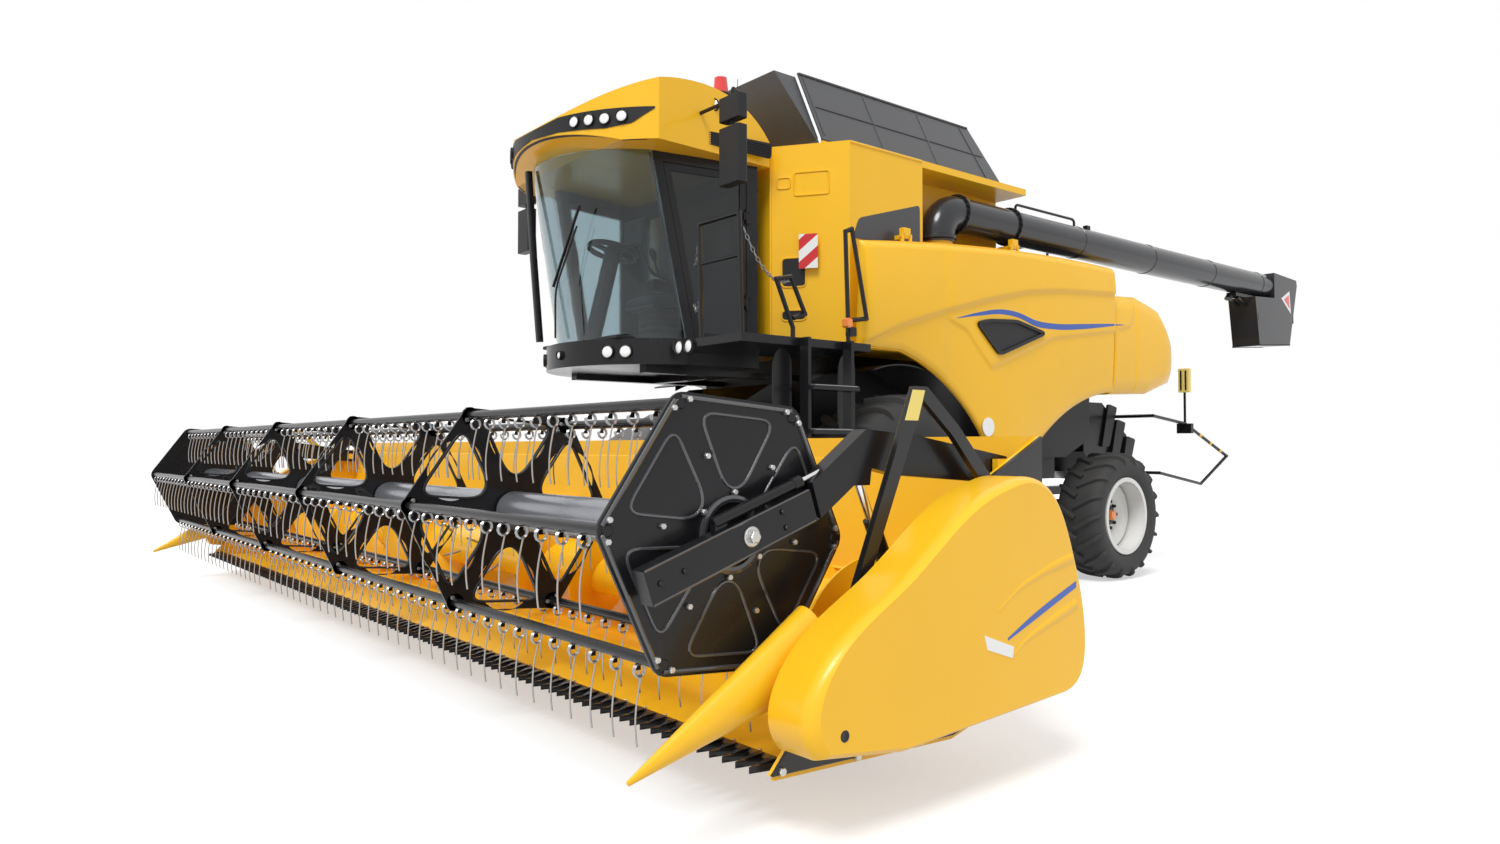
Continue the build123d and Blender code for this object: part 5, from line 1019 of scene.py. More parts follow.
@dataclass
class Flank:
    """A crowned outer skin over a flat side: it stands out from the side by a smooth function of the distance
    from its edges, and steps along its creases.

    The skin's x is base + depth·(rounded edge factor) + crown·(1 - v²) + each crease's height·tanh of the
    distance from its line.
    """

    base: float
    top: list
    bottom: list
    depth: float = 0.05
    crown: float = 0.03
    edge: float = 0.08
    front_edge: float = 0.05
    rear_edge: float = 0.05
    creases: list = field(default_factory=list)
    pocket: list = field(default_factory=list)
    pocket_depth: float = 0.03
    rows: int = 120
    cols: int = 200

    def limits(self, station: Array) -> tuple[Array, Array]:
        """Lowest and highest point of the skin at stations."""
        low, high = np.array(self.bottom), np.array(self.top)
        return np.interp(station, low[:, 0], low[:, 1]), np.interp(station, high[:, 0], high[:, 1])

    def reach(self, station: Array, height: Array) -> Array:
        """How far the skin stands out at stations and heights.

        Args:
            station: stations.
            height: heights of the same shape.

        Returns:
            Distances from the side.
        """
        low, high = self.limits(station)
        start, end = self.top[0][0], self.top[-1][0]

        def curve(distance: Array, radius: float) -> Array:
            """Quarter-round rise over a radius from an edge."""
            part = np.clip(1 - distance / radius, 0, 1)
            return np.sqrt(np.clip(1 - part ** 2, 0, 1))

        factor = curve(high - height, self.edge) * curve(height - low, self.edge)
        factor = factor * curve(station - start, self.front_edge) * curve(end - station, self.rear_edge)
        v = np.clip((2 * height - low - high) / np.maximum(high - low, 0.01), -1, 1)
        out = self.depth + self.crown * (1 - v ** 2)
        for line, step, width in self.creases:
            rows = np.array(line)
            level = np.interp(station, rows[:, 0], rows[:, 1])
            slope = np.gradient(rows[:, 1], rows[:, 0])
            square = np.sqrt(1 + np.interp(station, rows[:, 0], slope) ** 2)
            inside = (station >= rows[0, 0]) & (station <= rows[-1, 0])
            fade = np.clip((station - rows[0, 0]) / 0.12, 0, 1) * inside
            out = out + step * fade * np.tanh((height - level) / square / width)
        if self.pocket:
            out = out - self.pocket_depth * self.inside_pocket(station, height)
        return factor * out

    def inside_pocket(self, station: Array, height: Array) -> Array:
        """1 well inside the pocket's outline, 0 outside it, with a soft step between.

        Args:
            station: stations.
            height: heights of the same shape.

        Returns:
            The mask.
        """
        corners = np.array(self.pocket)
        depth = np.full(np.shape(station), 1e9)
        for a, b in zip(corners, np.roll(corners, -1, 0)):
            way = (b - a) / np.linalg.norm(b - a)
            depth = np.minimum(depth, (station - a[0]) * way[1] - (height - a[1]) * way[0])
        return np.clip(depth / 0.018, 0, 1)

    def skin(self) -> Shell:
        """The skin as a closed dome: front grid, back grid sunk in the side, and the seam between them.

        Returns:
            A closed shell.
        """
        stations = np.linspace(self.top[0][0], self.top[-1][0], self.cols)
        low, high = self.limits(stations)
        v = np.linspace(0, 1, self.rows)[:, None]
        v = v * 0.9 + 0.1 * (0.5 - 0.5 * np.cos(np.pi * v))
        height = low + (high - low) * v
        station = np.broadcast_to(stations, height.shape)
        out = self.base + 0.0006 + self.reach(station, height)
        front = np.stack([out, station + AXLE_Y, height], -1)
        quads = weave(self.rows, self.cols, False, False)
        count = self.rows * self.cols
        back = front.copy()
        back[..., 0] = self.base - 0.010
        edge = np.concatenate([np.arange(self.cols), np.arange(2 * self.cols - 1, count, self.cols),
                               np.arange(count - 2, count - self.cols - 1, -1),
                               np.arange(count - 2 * self.cols, 0, -self.cols)])
        after = np.roll(edge, -1)
        wall = np.stack([edge, after, after + count, edge + count], -1)
        points = np.concatenate([front.reshape(-1, 3), back.reshape(-1, 3)])
        return Shell(points, np.concatenate([quads, wall]), [edge + count])

    def band(self, stations: list, tops: list, bottoms: list, lift: float = 0.0012, steps: int = 60) -> Shell:
        """A flat band that lies on the skin between two smooth lines of heights.

        Args:
            stations: stations of the points that shape it.
            tops: heights of its upper edge there.
            bottoms: heights of its lower edge there.
            lift: how far it lies off the skin.
            steps: points along it.

        Returns:
            A closed shell.
        """
        s = np.linspace(stations[0], stations[-1], steps)
        high, low = smooth_line(s, stations, tops), smooth_line(s, stations, bottoms)
        v = np.linspace(0, 1, 5)[:, None]
        height = low + (high - low) * v
        station = np.broadcast_to(s, height.shape)
        x = self.base + 0.0006 + self.reach(station, height)
        rows = np.stack([x + lift, station + AXLE_Y, height], -1)
        under = np.stack([x - 0.002, station + AXLE_Y, height], -1)
        return closed_sheet(rows, under)


def smooth_line(where: Array, xs: list, ys: list) -> Array:
    """A line through points with eased slopes: cubic between neighbours, its slopes from both runs.

    Args:
        where: places to read the line at.
        xs: the points' places.
        ys: the points' values.

    Returns:
        The values at those places.
    """
    xs, ys = np.array(xs, float), np.array(ys, float)
    slope = np.gradient(ys, xs)
    index = np.clip(np.searchsorted(xs, where) - 1, 0, len(xs) - 2)
    run = xs[index + 1] - xs[index]
    t = (where - xs[index]) / run
    return ((2 * t ** 3 - 3 * t ** 2 + 1) * ys[index] + (t ** 3 - 2 * t ** 2 + t) * run * slope[index]
            + (-2 * t ** 3 + 3 * t ** 2) * ys[index + 1] + (t ** 3 - t ** 2) * run * slope[index + 1])


def closed_sheet(upper: Array, lower: Array) -> Shell:
    """A thin closed sheet from two grids of the same size, one over the other.

    Args:
        upper: (rows, cols, 3) points of one face.
        lower: the same number of points of the other face.

    Returns:
        A closed shell.
    """
    rows, cols = upper.shape[:2]
    count = rows * cols
    quads = weave(rows, cols, False, False)
    edge = np.concatenate([np.arange(cols), np.arange(2 * cols - 1, count, cols),
                           np.arange(count - 2, count - cols - 1, -1), np.arange(count - 2 * cols, 0, -cols)])
    after = np.roll(edge, -1)
    wall = np.stack([edge, after, after + count, edge + count], -1)
    points = np.concatenate([upper.reshape(-1, 3), lower.reshape(-1, 3)])
    return Shell(points, np.concatenate([quads, quads[:, ::-1] + count, wall]))


def arc_points(a: tuple, b: tuple, c: tuple, count: int = 16) -> list:
    """Points on the circle through three points, from the first to the last.

    Args:
        a: first point.
        b: a point on the way.
        c: last point.
        count: number of points.

    Returns:
        The points as pairs.
    """
    (ax, ay), (bx, by), (cx, cy) = a, b, c
    d = 2 * (ax * (by - cy) + bx * (cy - ay) + cx * (ay - by))
    ux = ((ax * ax + ay * ay) * (by - cy) + (bx * bx + by * by) * (cy - ay) + (cx * cx + cy * cy)
          * (ay - by)) / d
    uy = ((ax * ax + ay * ay) * (cx - bx) + (bx * bx + by * by) * (ax - cx) + (cx * cx + cy * cy)
          * (bx - ax)) / d
    start, mid, end = (math.atan2(y - uy, x - ux) for x, y in (a, b, c))
    if (mid - start) % (2 * math.pi) > (end - start) % (2 * math.pi):
        end -= 2 * math.pi * (1 if end > start else 0)
    elif end < start:
        end += 2 * math.pi
    angle = np.linspace(start, end, count)
    radius = math.hypot(ax - ux, ay - uy)
    return list(zip(ux + radius * np.cos(angle), uy + radius * np.sin(angle)))


@dataclass
class SidePanels:
    """The two large side panels: crowned skins with a long crease, a V fold, a vent and a blue stripe."""

    top: tuple = ((-0.570, 2.995), (0.4, 3.092), (1.3, 3.160), (2.2, 3.190), (3.130, 3.196))
    crease: tuple = ((-0.60, 2.160), (-0.148, 2.345), (0.383, 2.505), (0.992, 2.660), (1.594, 2.790),
                     (2.108, 2.853), (2.813, 2.900), (3.2, 2.925))
    fold: tuple = ((0.383, 2.470), (0.694, 2.369), (0.898, 2.179), (1.047, 2.056), (1.489, 2.215),
                   (1.996, 2.387), (2.924, 2.516), (3.2, 2.55))
    vent: tuple = ((0.826, 2.440), (1.140, 2.185), (1.835, 2.421), (1.396, 2.500), (0.991, 2.476))

    def lower_edge(self) -> list:
        """The lower edge as the solid has it: front corner, wheel arch, low tip and rear arch.

        Returns:
            Rows of station and height.
        """
        arch = arc_points((1.27, 0.985), (0.75, 1.70), (-0.10, 2.14), 24)[::-1]
        tip = arc_points((1.50, 1.04), (1.39, 0.955), (1.27, 0.985), 8)[::-1]
        rear = arc_points((3.165, 1.92), (2.20, 1.64), (1.50, 1.04), 24)[::-1]
        line = [(-0.59, 2.152)] + arch + tip[1:] + rear[1:]
        return [(s, z + 0.006) for s, z in line]

    def flank(self) -> Flank:
        """The left panel's skin."""
        return Flank(1.625, list(self.top), self.lower_edge(), depth=0.040, crown=0.035, edge=0.07,
                     front_edge=0.045, rear_edge=0.03,
                     creases=[(list(self.crease), 0.013, 0.016), (list(self.fold), 0.008, 0.012)],
                     pocket=list(self.vent), pocket_depth=0.032, rows=150, cols=240)

    def build(self) -> None:
        """Builds the skins, the vents, the stripes and the blank discs on both sides."""
        flank = self.flank()
        skin = flank.skin()
        stripe = flank.band([0.551, 0.871, 1.207, 1.429, 1.724, 2.033, 2.5, 2.9, 3.128],
                            [2.463, 2.541, 2.595, 2.590, 2.536, 2.531, 2.566, 2.600, 2.618],
                            [2.459, 2.510, 2.550, 2.542, 2.480, 2.476, 2.515, 2.568, 2.600])
        disc_station, disc_height, disc_radius = 1.028, 1.532, 0.083
        corners = np.array(self.vent)
        outline = rounded(corners, 0.05, 6, closed=True)
        x = flank.base + 0.0006 + flank.reach(outline[:, 0], outline[:, 1])
        frame_path = at_x(float(np.median(x)) + 0.012, outline)
        vent_frame = carry(oblong(0.030, 0.022), frame_path, (1, 0, 0), closed=True)
        middle = corners.mean(0)
        plate = rounded(middle + (corners - middle) * 0.97, 0.05, 6, closed=True)
        floor_x = flank.base + 0.003 + float(flank.reach(middle[0], middle[1]))
        vent_plate = prism(at_x(floor_x, plate), (0.004, 0, 0))
        slats = []
        for z in np.arange(2.24, 2.49, 0.028):
            inside = [s for s in np.linspace(0.84, 1.82, 99)
                      if float(flank.inside_pocket(np.array(s), np.array(z))) > 0.9]
            if len(inside) > 3:
                slats.append(carry(oblong(0.004, 0.012),
                                   spots([(floor_x + 0.006, inside[0], z), (floor_x + 0.006, inside[-1], z)]),
                                   (0.5, 0, 1)))
        angle = np.linspace(0, 2 * np.pi, 40, endpoint=False)
        ring_y, ring_z = disc_station + disc_radius * np.cos(angle), disc_height + disc_radius * np.sin(angle)
        disc_x = flank.base + flank.reach(ring_y, ring_z).max() - 0.003
        disc = prism(at_x(disc_x, np.stack([ring_y, ring_z], -1)), (0.006, 0, 0))
        for side, name in ((1, "left"), (-1, "right")):
            body = f"panel_{name}"

            def turn(shell: Shell) -> Shell:
                """The shell on this side."""
                return shell if side > 0 else shell.mirrored()

            make(f"panel_skin_{name}", [turn(skin)], YELLOW, body, 50)
            make(f"panel_stripe_{name}", [turn(stripe)], BLUE, body)
            make(f"panel_vent_frame_{name}", [turn(vent_frame)], BLACK, body)
            make(f"panel_vent_plate_{name}", [turn(vent_plate)] + [turn(s) for s in slats], PLASTIC, body)
            make(f"panel_disc_{name}", [turn(disc)], WHITE, body)
            lugs = []
            for station in (0.0, 1.5):
                level = 3.105 + station * math.tan(math.radians(4.05))
                lugs.append(upright_box(spot(side * 1.60, station, level + 0.035), (0.05, 0.085, 0.07)))
            make(f"panel_lugs_{name}", lugs, YELLOW, body)


@dataclass
class RearQuarters:
    """The rounded yellow rear quarters beside the hood, with the stripe's end and the rear lamps."""

    top: tuple = ((3.182, 2.925), (3.5, 2.948), (3.72, 2.952), (3.95, 2.905), (4.15, 2.855), (4.28, 2.735),
                  (4.40, 2.60), (4.455, 2.42))
    bottom: tuple = ((3.182, 1.905), (3.6, 1.918), (3.9, 1.935), (4.2, 2.02), (4.40, 2.085), (4.455, 2.28))

    def build(self) -> None:
        """Builds the skins, the stripe's end and the lamps."""
        bend = [(3.15, 2.552), (3.35, 2.59), (3.47, 2.62), (3.55, 2.72), (3.6, 2.9), (3.62, 3.1)]
        flank = Flank(1.56, list(self.top), list(self.bottom), depth=0.055, crown=0.035, edge=0.16,
                      front_edge=0.025, rear_edge=0.26, creases=[(bend, 0.007, 0.012)], rows=90, cols=110)
        skin = flank.skin()
        stripe = flank.band([3.20, 3.28, 3.36], [2.624, 2.628, 2.628], [2.610, 2.618, 2.626])
        for side, name in ((1, "left"), (-1, "right")):
            turned_shells = [s if side > 0 else s.mirrored() for s in (skin, stripe)]
            make(f"rear_quarter_skin_{name}", [turned_shells[0]], YELLOW, "machine", 50)
            make(f"rear_quarter_stripe_{name}", [turned_shells[1]], BLUE, "machine")
            dome = [(0, 0.052), (0.018, 0.052), (0.026, 0.044), (0.028, 0.0)]
            lamp = turned(dome, spot(side * 1.2, 4.46, 2.40), (0, 1, -0.1), 24)
            lamp_low = turned(dome, spot(side * 1.2, 4.462, 2.26), (0, 1, -0.1), 24)
            bezel = upright_box(spot(side * 1.2, 4.452, 2.33), (0.16, 0.03, 0.34))
            make(f"rear_lamp_bezel_{name}", [bezel], PLASTIC, "machine")
            make(f"rear_stop_lamp_{name}", [lamp], RED, "machine")
            make(f"rear_turn_lamp_{name}", [lamp_low], AMBER, "machine")


@dataclass
class Shields:
    """The header's large end shields: the outer face's skin with its fold and stripe, and a white patch that
    is a painted highlight.
    """

    face: float = 4.747

    def build(self) -> None:
        """Builds the marks on both shields and the bolts."""
        for side, name in ((1, "left"), (-1, "right")):
            def on_face(rows: list, thick: float = 0.0012) -> Shell:
                """Flat film on the shield's outer face."""
                return prism(at_x(side * self.face, rows), (side * thick, 0, 0))

            s = np.linspace(-2.972, -2.50, 24)
            high = smooth_line(s, [-2.972, -2.793, -2.65, -2.50], [0.613, 0.690, 0.742, 0.792])
            low = smooth_line(s, [-2.972, -2.793, -2.65, -2.50], [0.603, 0.664, 0.714, 0.766])
            stripe = on_face(list(zip(s, high)) + list(zip(s[::-1], low[::-1])))
            make(f"shield_stripe_{name}", [stripe], BLUE, "header")
            # White patch behind the stripe's start: a painted highlight on the shield's face.
            highlight_patch = on_face([(-3.12, 0.640), (-2.935, 0.575), (-2.945, 0.532), (-3.10, 0.583)], 0.002)
            make(f"shield_painted_highlight_{name}", [highlight_patch], WHITE, "header")
            folds = []
            fold = np.array([(-0.03, 0), (-0.012, 0.009), (0, 0.011), (0.012, 0.009), (0.03, 0)])
            for line in ([(-2.945, 0.532), (-2.86, 0.590), (-2.70, 0.640), (-2.50, 0.700)],
                         [(-3.03, 0.722), (-2.882, 0.804), (-2.70, 0.858), (-2.53, 0.892)]):
                path = rounded(at_x(side * (self.face - 0.004), line), 0.05, 5)
                folds.append(carry(fold, path, (side, 0, 0), size=np.linspace(0.5, 1.0, len(path))))
            make(f"shield_folds_{name}", folds, YELLOW, "header", 60)
            screw = spot(side * self.face, -3.86, 0.400)
            make(f"shield_screw_{name}",
                 [turned([(-0.01, 0.020), (0.001, 0.020), (0.003, 0.016), (0.001, 0.011)], screw,
                         (side, 0, 0), 20)],
                 BLACK, "header")


@dataclass
class Wheel:
    """A wheel's lugged tyre, dished rim and hub."""

    name: str
    node: str
    body: str
    side: int
    centre_x: float
    station: float
    radius: float
    width: float
    rim: float
    lugs: int
    disc_x: float

    def axle_point(self, x: float = 0.0) -> Array:
        """Point on the wheel's axis."""
        return spot(x, self.station, self.radius)

    def carcass(self, axial: Array) -> Array:
        """Radius of the tyre's body at distances from its middle: flat crown, round shoulder, bulged wall.

        Args:
            axial: distances from the tyre's middle.

        Returns:
            Radii.
        """
        half = self.width / 2
        rows = np.array([(0.0, 0.945), (0.5, 0.940), (0.72, 0.925), (0.86, 0.895), (0.95, 0.84),
                         (0.985, 0.78)])
        return self.radius * np.interp(np.abs(axial) / half, rows[:, 0], rows[:, 1])

    def tyre(self) -> None:
        """The tyre as a turned closed profile with slanted lugs laid over its crown and shoulders."""
        half, r = self.width / 2, self.radius
        wall = [(0.0, 0.945), (0.3, 0.944), (0.5, 0.940), (0.72, 0.925), (0.86, 0.895), (0.93, 0.85),
                (0.965, 0.79), (0.955, 0.72),
                (0.90, 0.66), (0.84, 0.625), (0.80, self.rim / r + 0.045), (0.80, self.rim / r + 0.012),
                (0.73, self.rim / r)]
        right = [(a * half, k * r) for a, k in wall]
        left = [(-a, k) for a, k in right[1:][::-1]]
        centre = self.axle_point(self.centre_x)
        body = turned(left + right, centre, (1, 0, 0), 96, loop=True)
        s = np.linspace(0, 1, 12)
        axial = half * (-0.03 + 0.985 * s ** 0.92)
        radius = self.carcass(axial) - 0.012
        lean = self.width * 0.30 * s / r
        grow = np.interp(s, [0, 0.75, 0.9, 1.0], [1.0, 1.0, 0.85, 0.25])
        path = np.stack([axial, radius * np.sin(lean), radius * np.cos(lean)], -1)
        normal = unit(np.stack([np.interp(s, [0, 0.6, 0.85, 1], [0, 0.12, 0.6, 1.4]), np.sin(lean),
                                np.cos(lean)], -1))
        tall = self.radius * 0.055 + 0.010
        wide = self.width * 0.055
        section = np.array([(-wide, 0), (-wide * 0.66, tall * 0.9), (-wide * 0.5, tall), (wide * 0.5, tall),
                            (wide * 0.66, tall * 0.9), (wide, 0)])
        lug = carry(section, path, normal, size=grow)
        high = np.linalg.norm(lug.points[:, 1:], axis=1)
        over = np.maximum(high / (r - 0.001), 1.0)
        lug.points[:, 1:] /= over[:, None]
        step = 2 * np.pi / self.lugs
        turns_a = spin_x(np.arange(self.lugs) * step)
        other = Shell(lug.points * (-1, 1, 1), lug.quads, lug.rims)
        turns_b = spin_x((np.arange(self.lugs) + 0.5) * step)
        centres = np.broadcast_to(centre, (self.lugs, 3))
        shells = [body, lug.copies(centres, turns_a), other.copies(centres, turns_b)]
        bead = [turned([(sx * half * 0.90, r * 0.70), (sx * (half * 0.90 + 0.004), r * 0.71),
                        (sx * half * 0.925, r * 0.72)],
                       centre, (1, 0, 0), 72, loop=True) for sx in SIDES]
        piece = make(self.name, shells + bead, RUBBER, self.body, 30)
        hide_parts(self.node)

    def hub(self, cap: Finish) -> None:
        """Dished disc, wheel nuts, the hub's plate and the hub's cap.

        Args:
            cap: finish of the hub's cap.
        """
        out = self.side
        disc = self.axle_point(self.disc_x * out)
        rim = self.rim
        dish = turned([(out * 0.016, rim * 0.30), (out * 0.020, rim * 0.52), (out * 0.060, rim * 0.66),
                       (out * 0.070, rim * 0.90),
                       (out * 0.062, rim * 0.90), (out * 0.050, rim * 0.66), (out * 0.012, rim * 0.52),
                       (out * 0.008, rim * 0.30)],
                      disc, (1, 0, 0), 64, loop=True)
        make(f"{self.body}_dish", [dish], RIM, self.body, 30)
        angle = np.arange(10) * np.pi / 5
        ring = rim * 0.40
        nuts = bolts(np.stack([np.full(10, disc[0] + out * 0.020), disc[1] + ring * np.cos(angle),
                               disc[2] + ring * np.sin(angle)], -1),
                     (out, 0, 0), 0.020, 0.030)
        make(f"{self.body}_nuts", [nuts], BLACK, self.body)
        centre = [turned([(0.0, rim * 0.29), (0.05, rim * 0.28), (0.055, rim * 0.25), (0.055, 0.0)], disc,
                         (out, 0, 0), 36)]
        make(f"{self.body}_hub_plate", centre, HOUSING, self.body)
        dome = turned([(0.055, rim * 0.15), (0.085, rim * 0.145), (0.105, rim * 0.11), (0.112, 0.0)], disc,
                      (out, 0, 0), 28)
        make(f"{self.body}_hub_cap", [dome], cap, self.body)


@dataclass
class Cab:
    """The cab's lamps, seals, wipers, mirrors' faces, antenna and what stands in it."""

    floor: float = 2.19
    roof_radius: float = 1.3736
    roof_centre: float = -1.2264
    base_radius: float = 0.969
    base_centre: float = -1.361
    strip_height: tuple = ((0, 0.40, 0.75, 0.92, 1.04), (0.065, 0.120, 0.145, 0.120, 0.012))

    def roof_front(self, x: Array) -> Array:
        """Station of the roof's bowed front at x."""
        return self.roof_centre - np.sqrt(self.roof_radius ** 2 - np.asarray(x, float) ** 2)

    def roof_top(self, station: Array) -> Array:
        """Height of the roof's upper surface at a station."""
        return smooth_line(np.asarray(station, float), [-2.61, -2.35, -1.90, -1.30, -0.96],
                           [3.85, 4.01, 4.14, 4.09, 3.83])

    def strip_top(self, x: Array) -> Array:
        """Upper edge of the lamp strip: just under the roof's surface at the bowed front."""
        return np.minimum(self.roof_top(self.roof_front(x)) - 0.008, 3.878 + 0.0 * x)

    def lamp(self, centre: Array, axis: tuple, radius: float) -> tuple[Shell, Shell]:
        """A lamp's ring and its domed glass.

        Args:
            centre: middle of the lamp's face.
            axis: where it shines.
            radius: radius of its glass.

        Returns:
            The two shells.
        """
        ring = turned([(-0.01, radius * 1.22), (0.012, radius * 1.22), (0.016, radius * 1.12),
                       (0.010, radius * 1.0), (-0.01, radius * 1.0)],
                      centre, axis, 28, loop=True)
        glass = turned([(-0.008, radius), (0.004, radius), (0.010, radius * 0.7), (0.012, 0.0)], centre, axis,
                       28)
        return ring, glass

    def roof_lamps(self) -> None:
        """Black strip along the visor, eight round lamps in it, corner lamps and the side grilles."""
        x = np.linspace(-1.04, 1.04, 97)
        y = self.roof_front(x)
        edge = self.strip_top(x)
        tall = np.interp(np.abs(x), *self.strip_height)
        v = np.linspace(0, 1, 4)[:, None]
        height = edge - tall * (1 - v)
        normal = unit(np.stack([x, y - self.roof_centre, 0 * x], -1))
        base = np.stack([np.broadcast_to(x, height.shape), np.broadcast_to(y, height.shape) + AXLE_Y, height],
                        -1)
        strip = closed_sheet(base + normal * 0.006, base - normal * 0.01)
        make("roof_lamp_strip", [strip], PLASTIC, "machine")
        rings, glasses = [], []
        for lamp_x in (0.515, 0.635, 0.750, 0.860):
            for side in SIDES:
                yy = float(self.roof_front(lamp_x))
                top = float(self.strip_top(np.array(lamp_x)))
                h = float(np.interp(lamp_x, *self.strip_height))
                n = unit(np.array([side * lamp_x, yy - self.roof_centre, 0]))
                ring, glass = self.lamp(spot(side * lamp_x, yy, top - h / 2) + n * 0.010, tuple(n), 0.040)
                rings.append(ring)
                glasses.append(glass)
        for side in SIDES:
            ring, glass = self.lamp(spot(side * 1.006, -2.02, 3.80), (side * 0.75, -0.65, -0.1), 0.045)
            rings.append(ring)
            glasses.append(glass)
            ring, glass = self.lamp(spot(side * 1.010, -1.56, 4.02), (side * 0.5, -0.85, 0), 0.045)
            rings.append(ring)
            glasses.append(glass)
        for lamp_x, radius in ((0.50, 0.045), (0.62, 0.045), (-0.50, 0.045), (-0.62, 0.045), (0.0, 0.03)):
            yy = self.base_centre - math.sqrt(self.base_radius ** 2 - lamp_x ** 2)
            n = unit(np.array([lamp_x, yy - self.base_centre, 0]))
            ring, glass = self.lamp(spot(lamp_x, yy, 2.09) + n * 0.010, tuple(n), radius)
            rings.append(ring)
            glasses.append(glass)
        for side in SIDES:
            for lamp_x in (1.06, 1.18):
                ring, glass = self.lamp(spot(side * lamp_x, -1.912, 2.10), (0.0, -1, 0), 0.045)
                if side > 0:
                    rings.append(ring)
                    glasses.append(glass)
        make("lamp_rings", rings, PLASTIC, "machine")
        make("lamp_glasses", glasses, LAMP, "machine")
        grilles = []
        for side in SIDES:
            x_front, x_rear = side * 1.024, side * 1.062
            outline = rounded([(-1.66, 3.80), (-1.63, 3.70), (-1.01, 3.685), (-1.00, 3.815)], 0.03, 4,
                              closed=True)
            xs = np.interp(outline[:, 0], [-1.66, -1.0], [x_front, x_rear])
            grilles.append(prism(spots(np.column_stack([xs, outline])), (side * 0.006, 0, 0)))
            for z in np.arange(3.70, 3.80, 0.018):
                line = spots([(x_front + side * 0.008, -1.62, z), (x_rear + side * 0.008, -1.02, z)])
                grilles.append(carry(oblong(0.004, 0.008), line, (side, 0, 0.5)))
        make("roof_side_grilles", grilles, PLASTIC, "machine")

    def seals(self) -> None:
        """Rubber edge along the roof's lower rim, the wiper, the antenna, the beacons' bases and the mirrors'
        faces.
        """
        x = np.linspace(-0.99, 0.99, 60)
        path = np.stack([x, self.roof_front(x) + AXLE_Y + 0.02,
                         3.648 + 0.11 * np.clip((-self.roof_front(x) - 2.3) / 0.3, 0, 1)], -1)
        seal = carry(circle(0.012, 6), path, (0, 0, 1))
        wiper = carry(circle(0.008, 6),
                      rounded(spots([(0.05, -2.405, 2.22), (0.12, -2.445, 2.6), (0.42, -2.425, 3.05)]), 0.1,
                              5), (0, 1, 0))
        blade = carry(oblong(0.012, 0.02),
                      spots([(0.10, -2.452, 2.62), (0.40, -2.432, 3.10), (0.47, -2.430, 3.20)]), (0, 1, 0))
        make("cab_seals", [seal, wiper, blade], PLASTIC, "machine")
        antenna = [rod(spot(0.62, -1.02, 4.02), spot(0.60, -0.985, 4.485), 0.0028, 6),
                   turned([(0, 0.018), (0.03, 0.016), (0.05, 0.006)], spot(0.62, -1.02, 4.0), (0, 0, 1), 14)]
        make("antenna", antenna, BLACK, "machine")
        bases = [turned([(-0.03, 0.075), (0.02, 0.075), (0.028, 0.066), (0.028, 0.0)],
                        spot(side * 0.9, -1.4, 4.152), (0, 0, 1), 28) for side in SIDES]
        make("beacon_bases", bases, PLASTIC, "machine")
        faces = []
        for side in SIDES:
            for low, high in ((3.25, 3.62), (3.71, 3.84)):
                outline = rounded([(side * 1.51, low), (side * 1.69, low), (side * 1.69, high),
                                   (side * 1.51, high)], 0.03, 5, closed=True)
                face = spots([(x, MIRROR_FACE, z) for x, z in outline])
                faces.append(prism(face, (0, 0.002, 0)))
        make("mirror_faces", faces, MIRROR_GLASS, "machine")

    def inside(self) -> None:
        """Steering wheel rim, monitor, console levers and the seat."""
        foot, head = spot(0, -2.05, self.floor), spot(0, -1.85, self.floor + 0.78)
        axis = unit(head - foot)
        angle = np.linspace(0, 2 * np.pi, 40, endpoint=False)
        u = np.array([1.0, 0, 0])
        v = np.cross(axis, u)
        ring = head + axis * 0.03 + 0.205 * (np.cos(angle)[:, None] * u + np.sin(angle)[:, None] * v)
        rim = carry(circle(0.015, 10), ring, axis, closed=True)
        knob = turned([(0, 0.05), (0.03, 0.06), (0.05, 0.05), (0.056, 0.0)], head + axis * 0.02, axis, 24)
        make("steering_wheel_rim", [rim, knob], PLASTIC, "machine")
        screen = upright_box(spot(0.50, -1.95, 3.05), (0.26, 0.04, 0.20), 0.01)
        arm = tube(spots([(0.50, -1.93, 3.0), (0.50, -1.80, 2.75), (0.42, -1.55, 2.72)]), 0.014, 0.06,
                   (1, 0, 0.01))
        make("cab_monitor", [screen, arm], PLASTIC, "machine")
        lever = [rod(spot(0.33, -1.60, 2.75), spot(0.33, -1.66, 2.92), 0.010, 8),
                 turned([(0, 0.020), (0.04, 0.028), (0.09, 0.024), (0.11, 0.0)], spot(0.33, -1.65, 2.89),
                        (0, -0.3, 1), 16)]
        make("control_lever", lever, PLASTIC, "machine")
        pillar = carry(rounded_square(0.05),
                       spots([(-0.30, -2.36, 2.22), (-0.30, -2.42, 2.9), (-0.30, -2.47, 3.62)]), (1, 0, 0))
        make("inner_pillar", [pillar], BLACK, "machine")
        sill = upright_box(spot(0, -2.0, 2.205), (1.2, 0.35, 0.03), 0.006)
        make("cab_floor_mat", [sill], PLASTIC, "machine")
        self.seat()

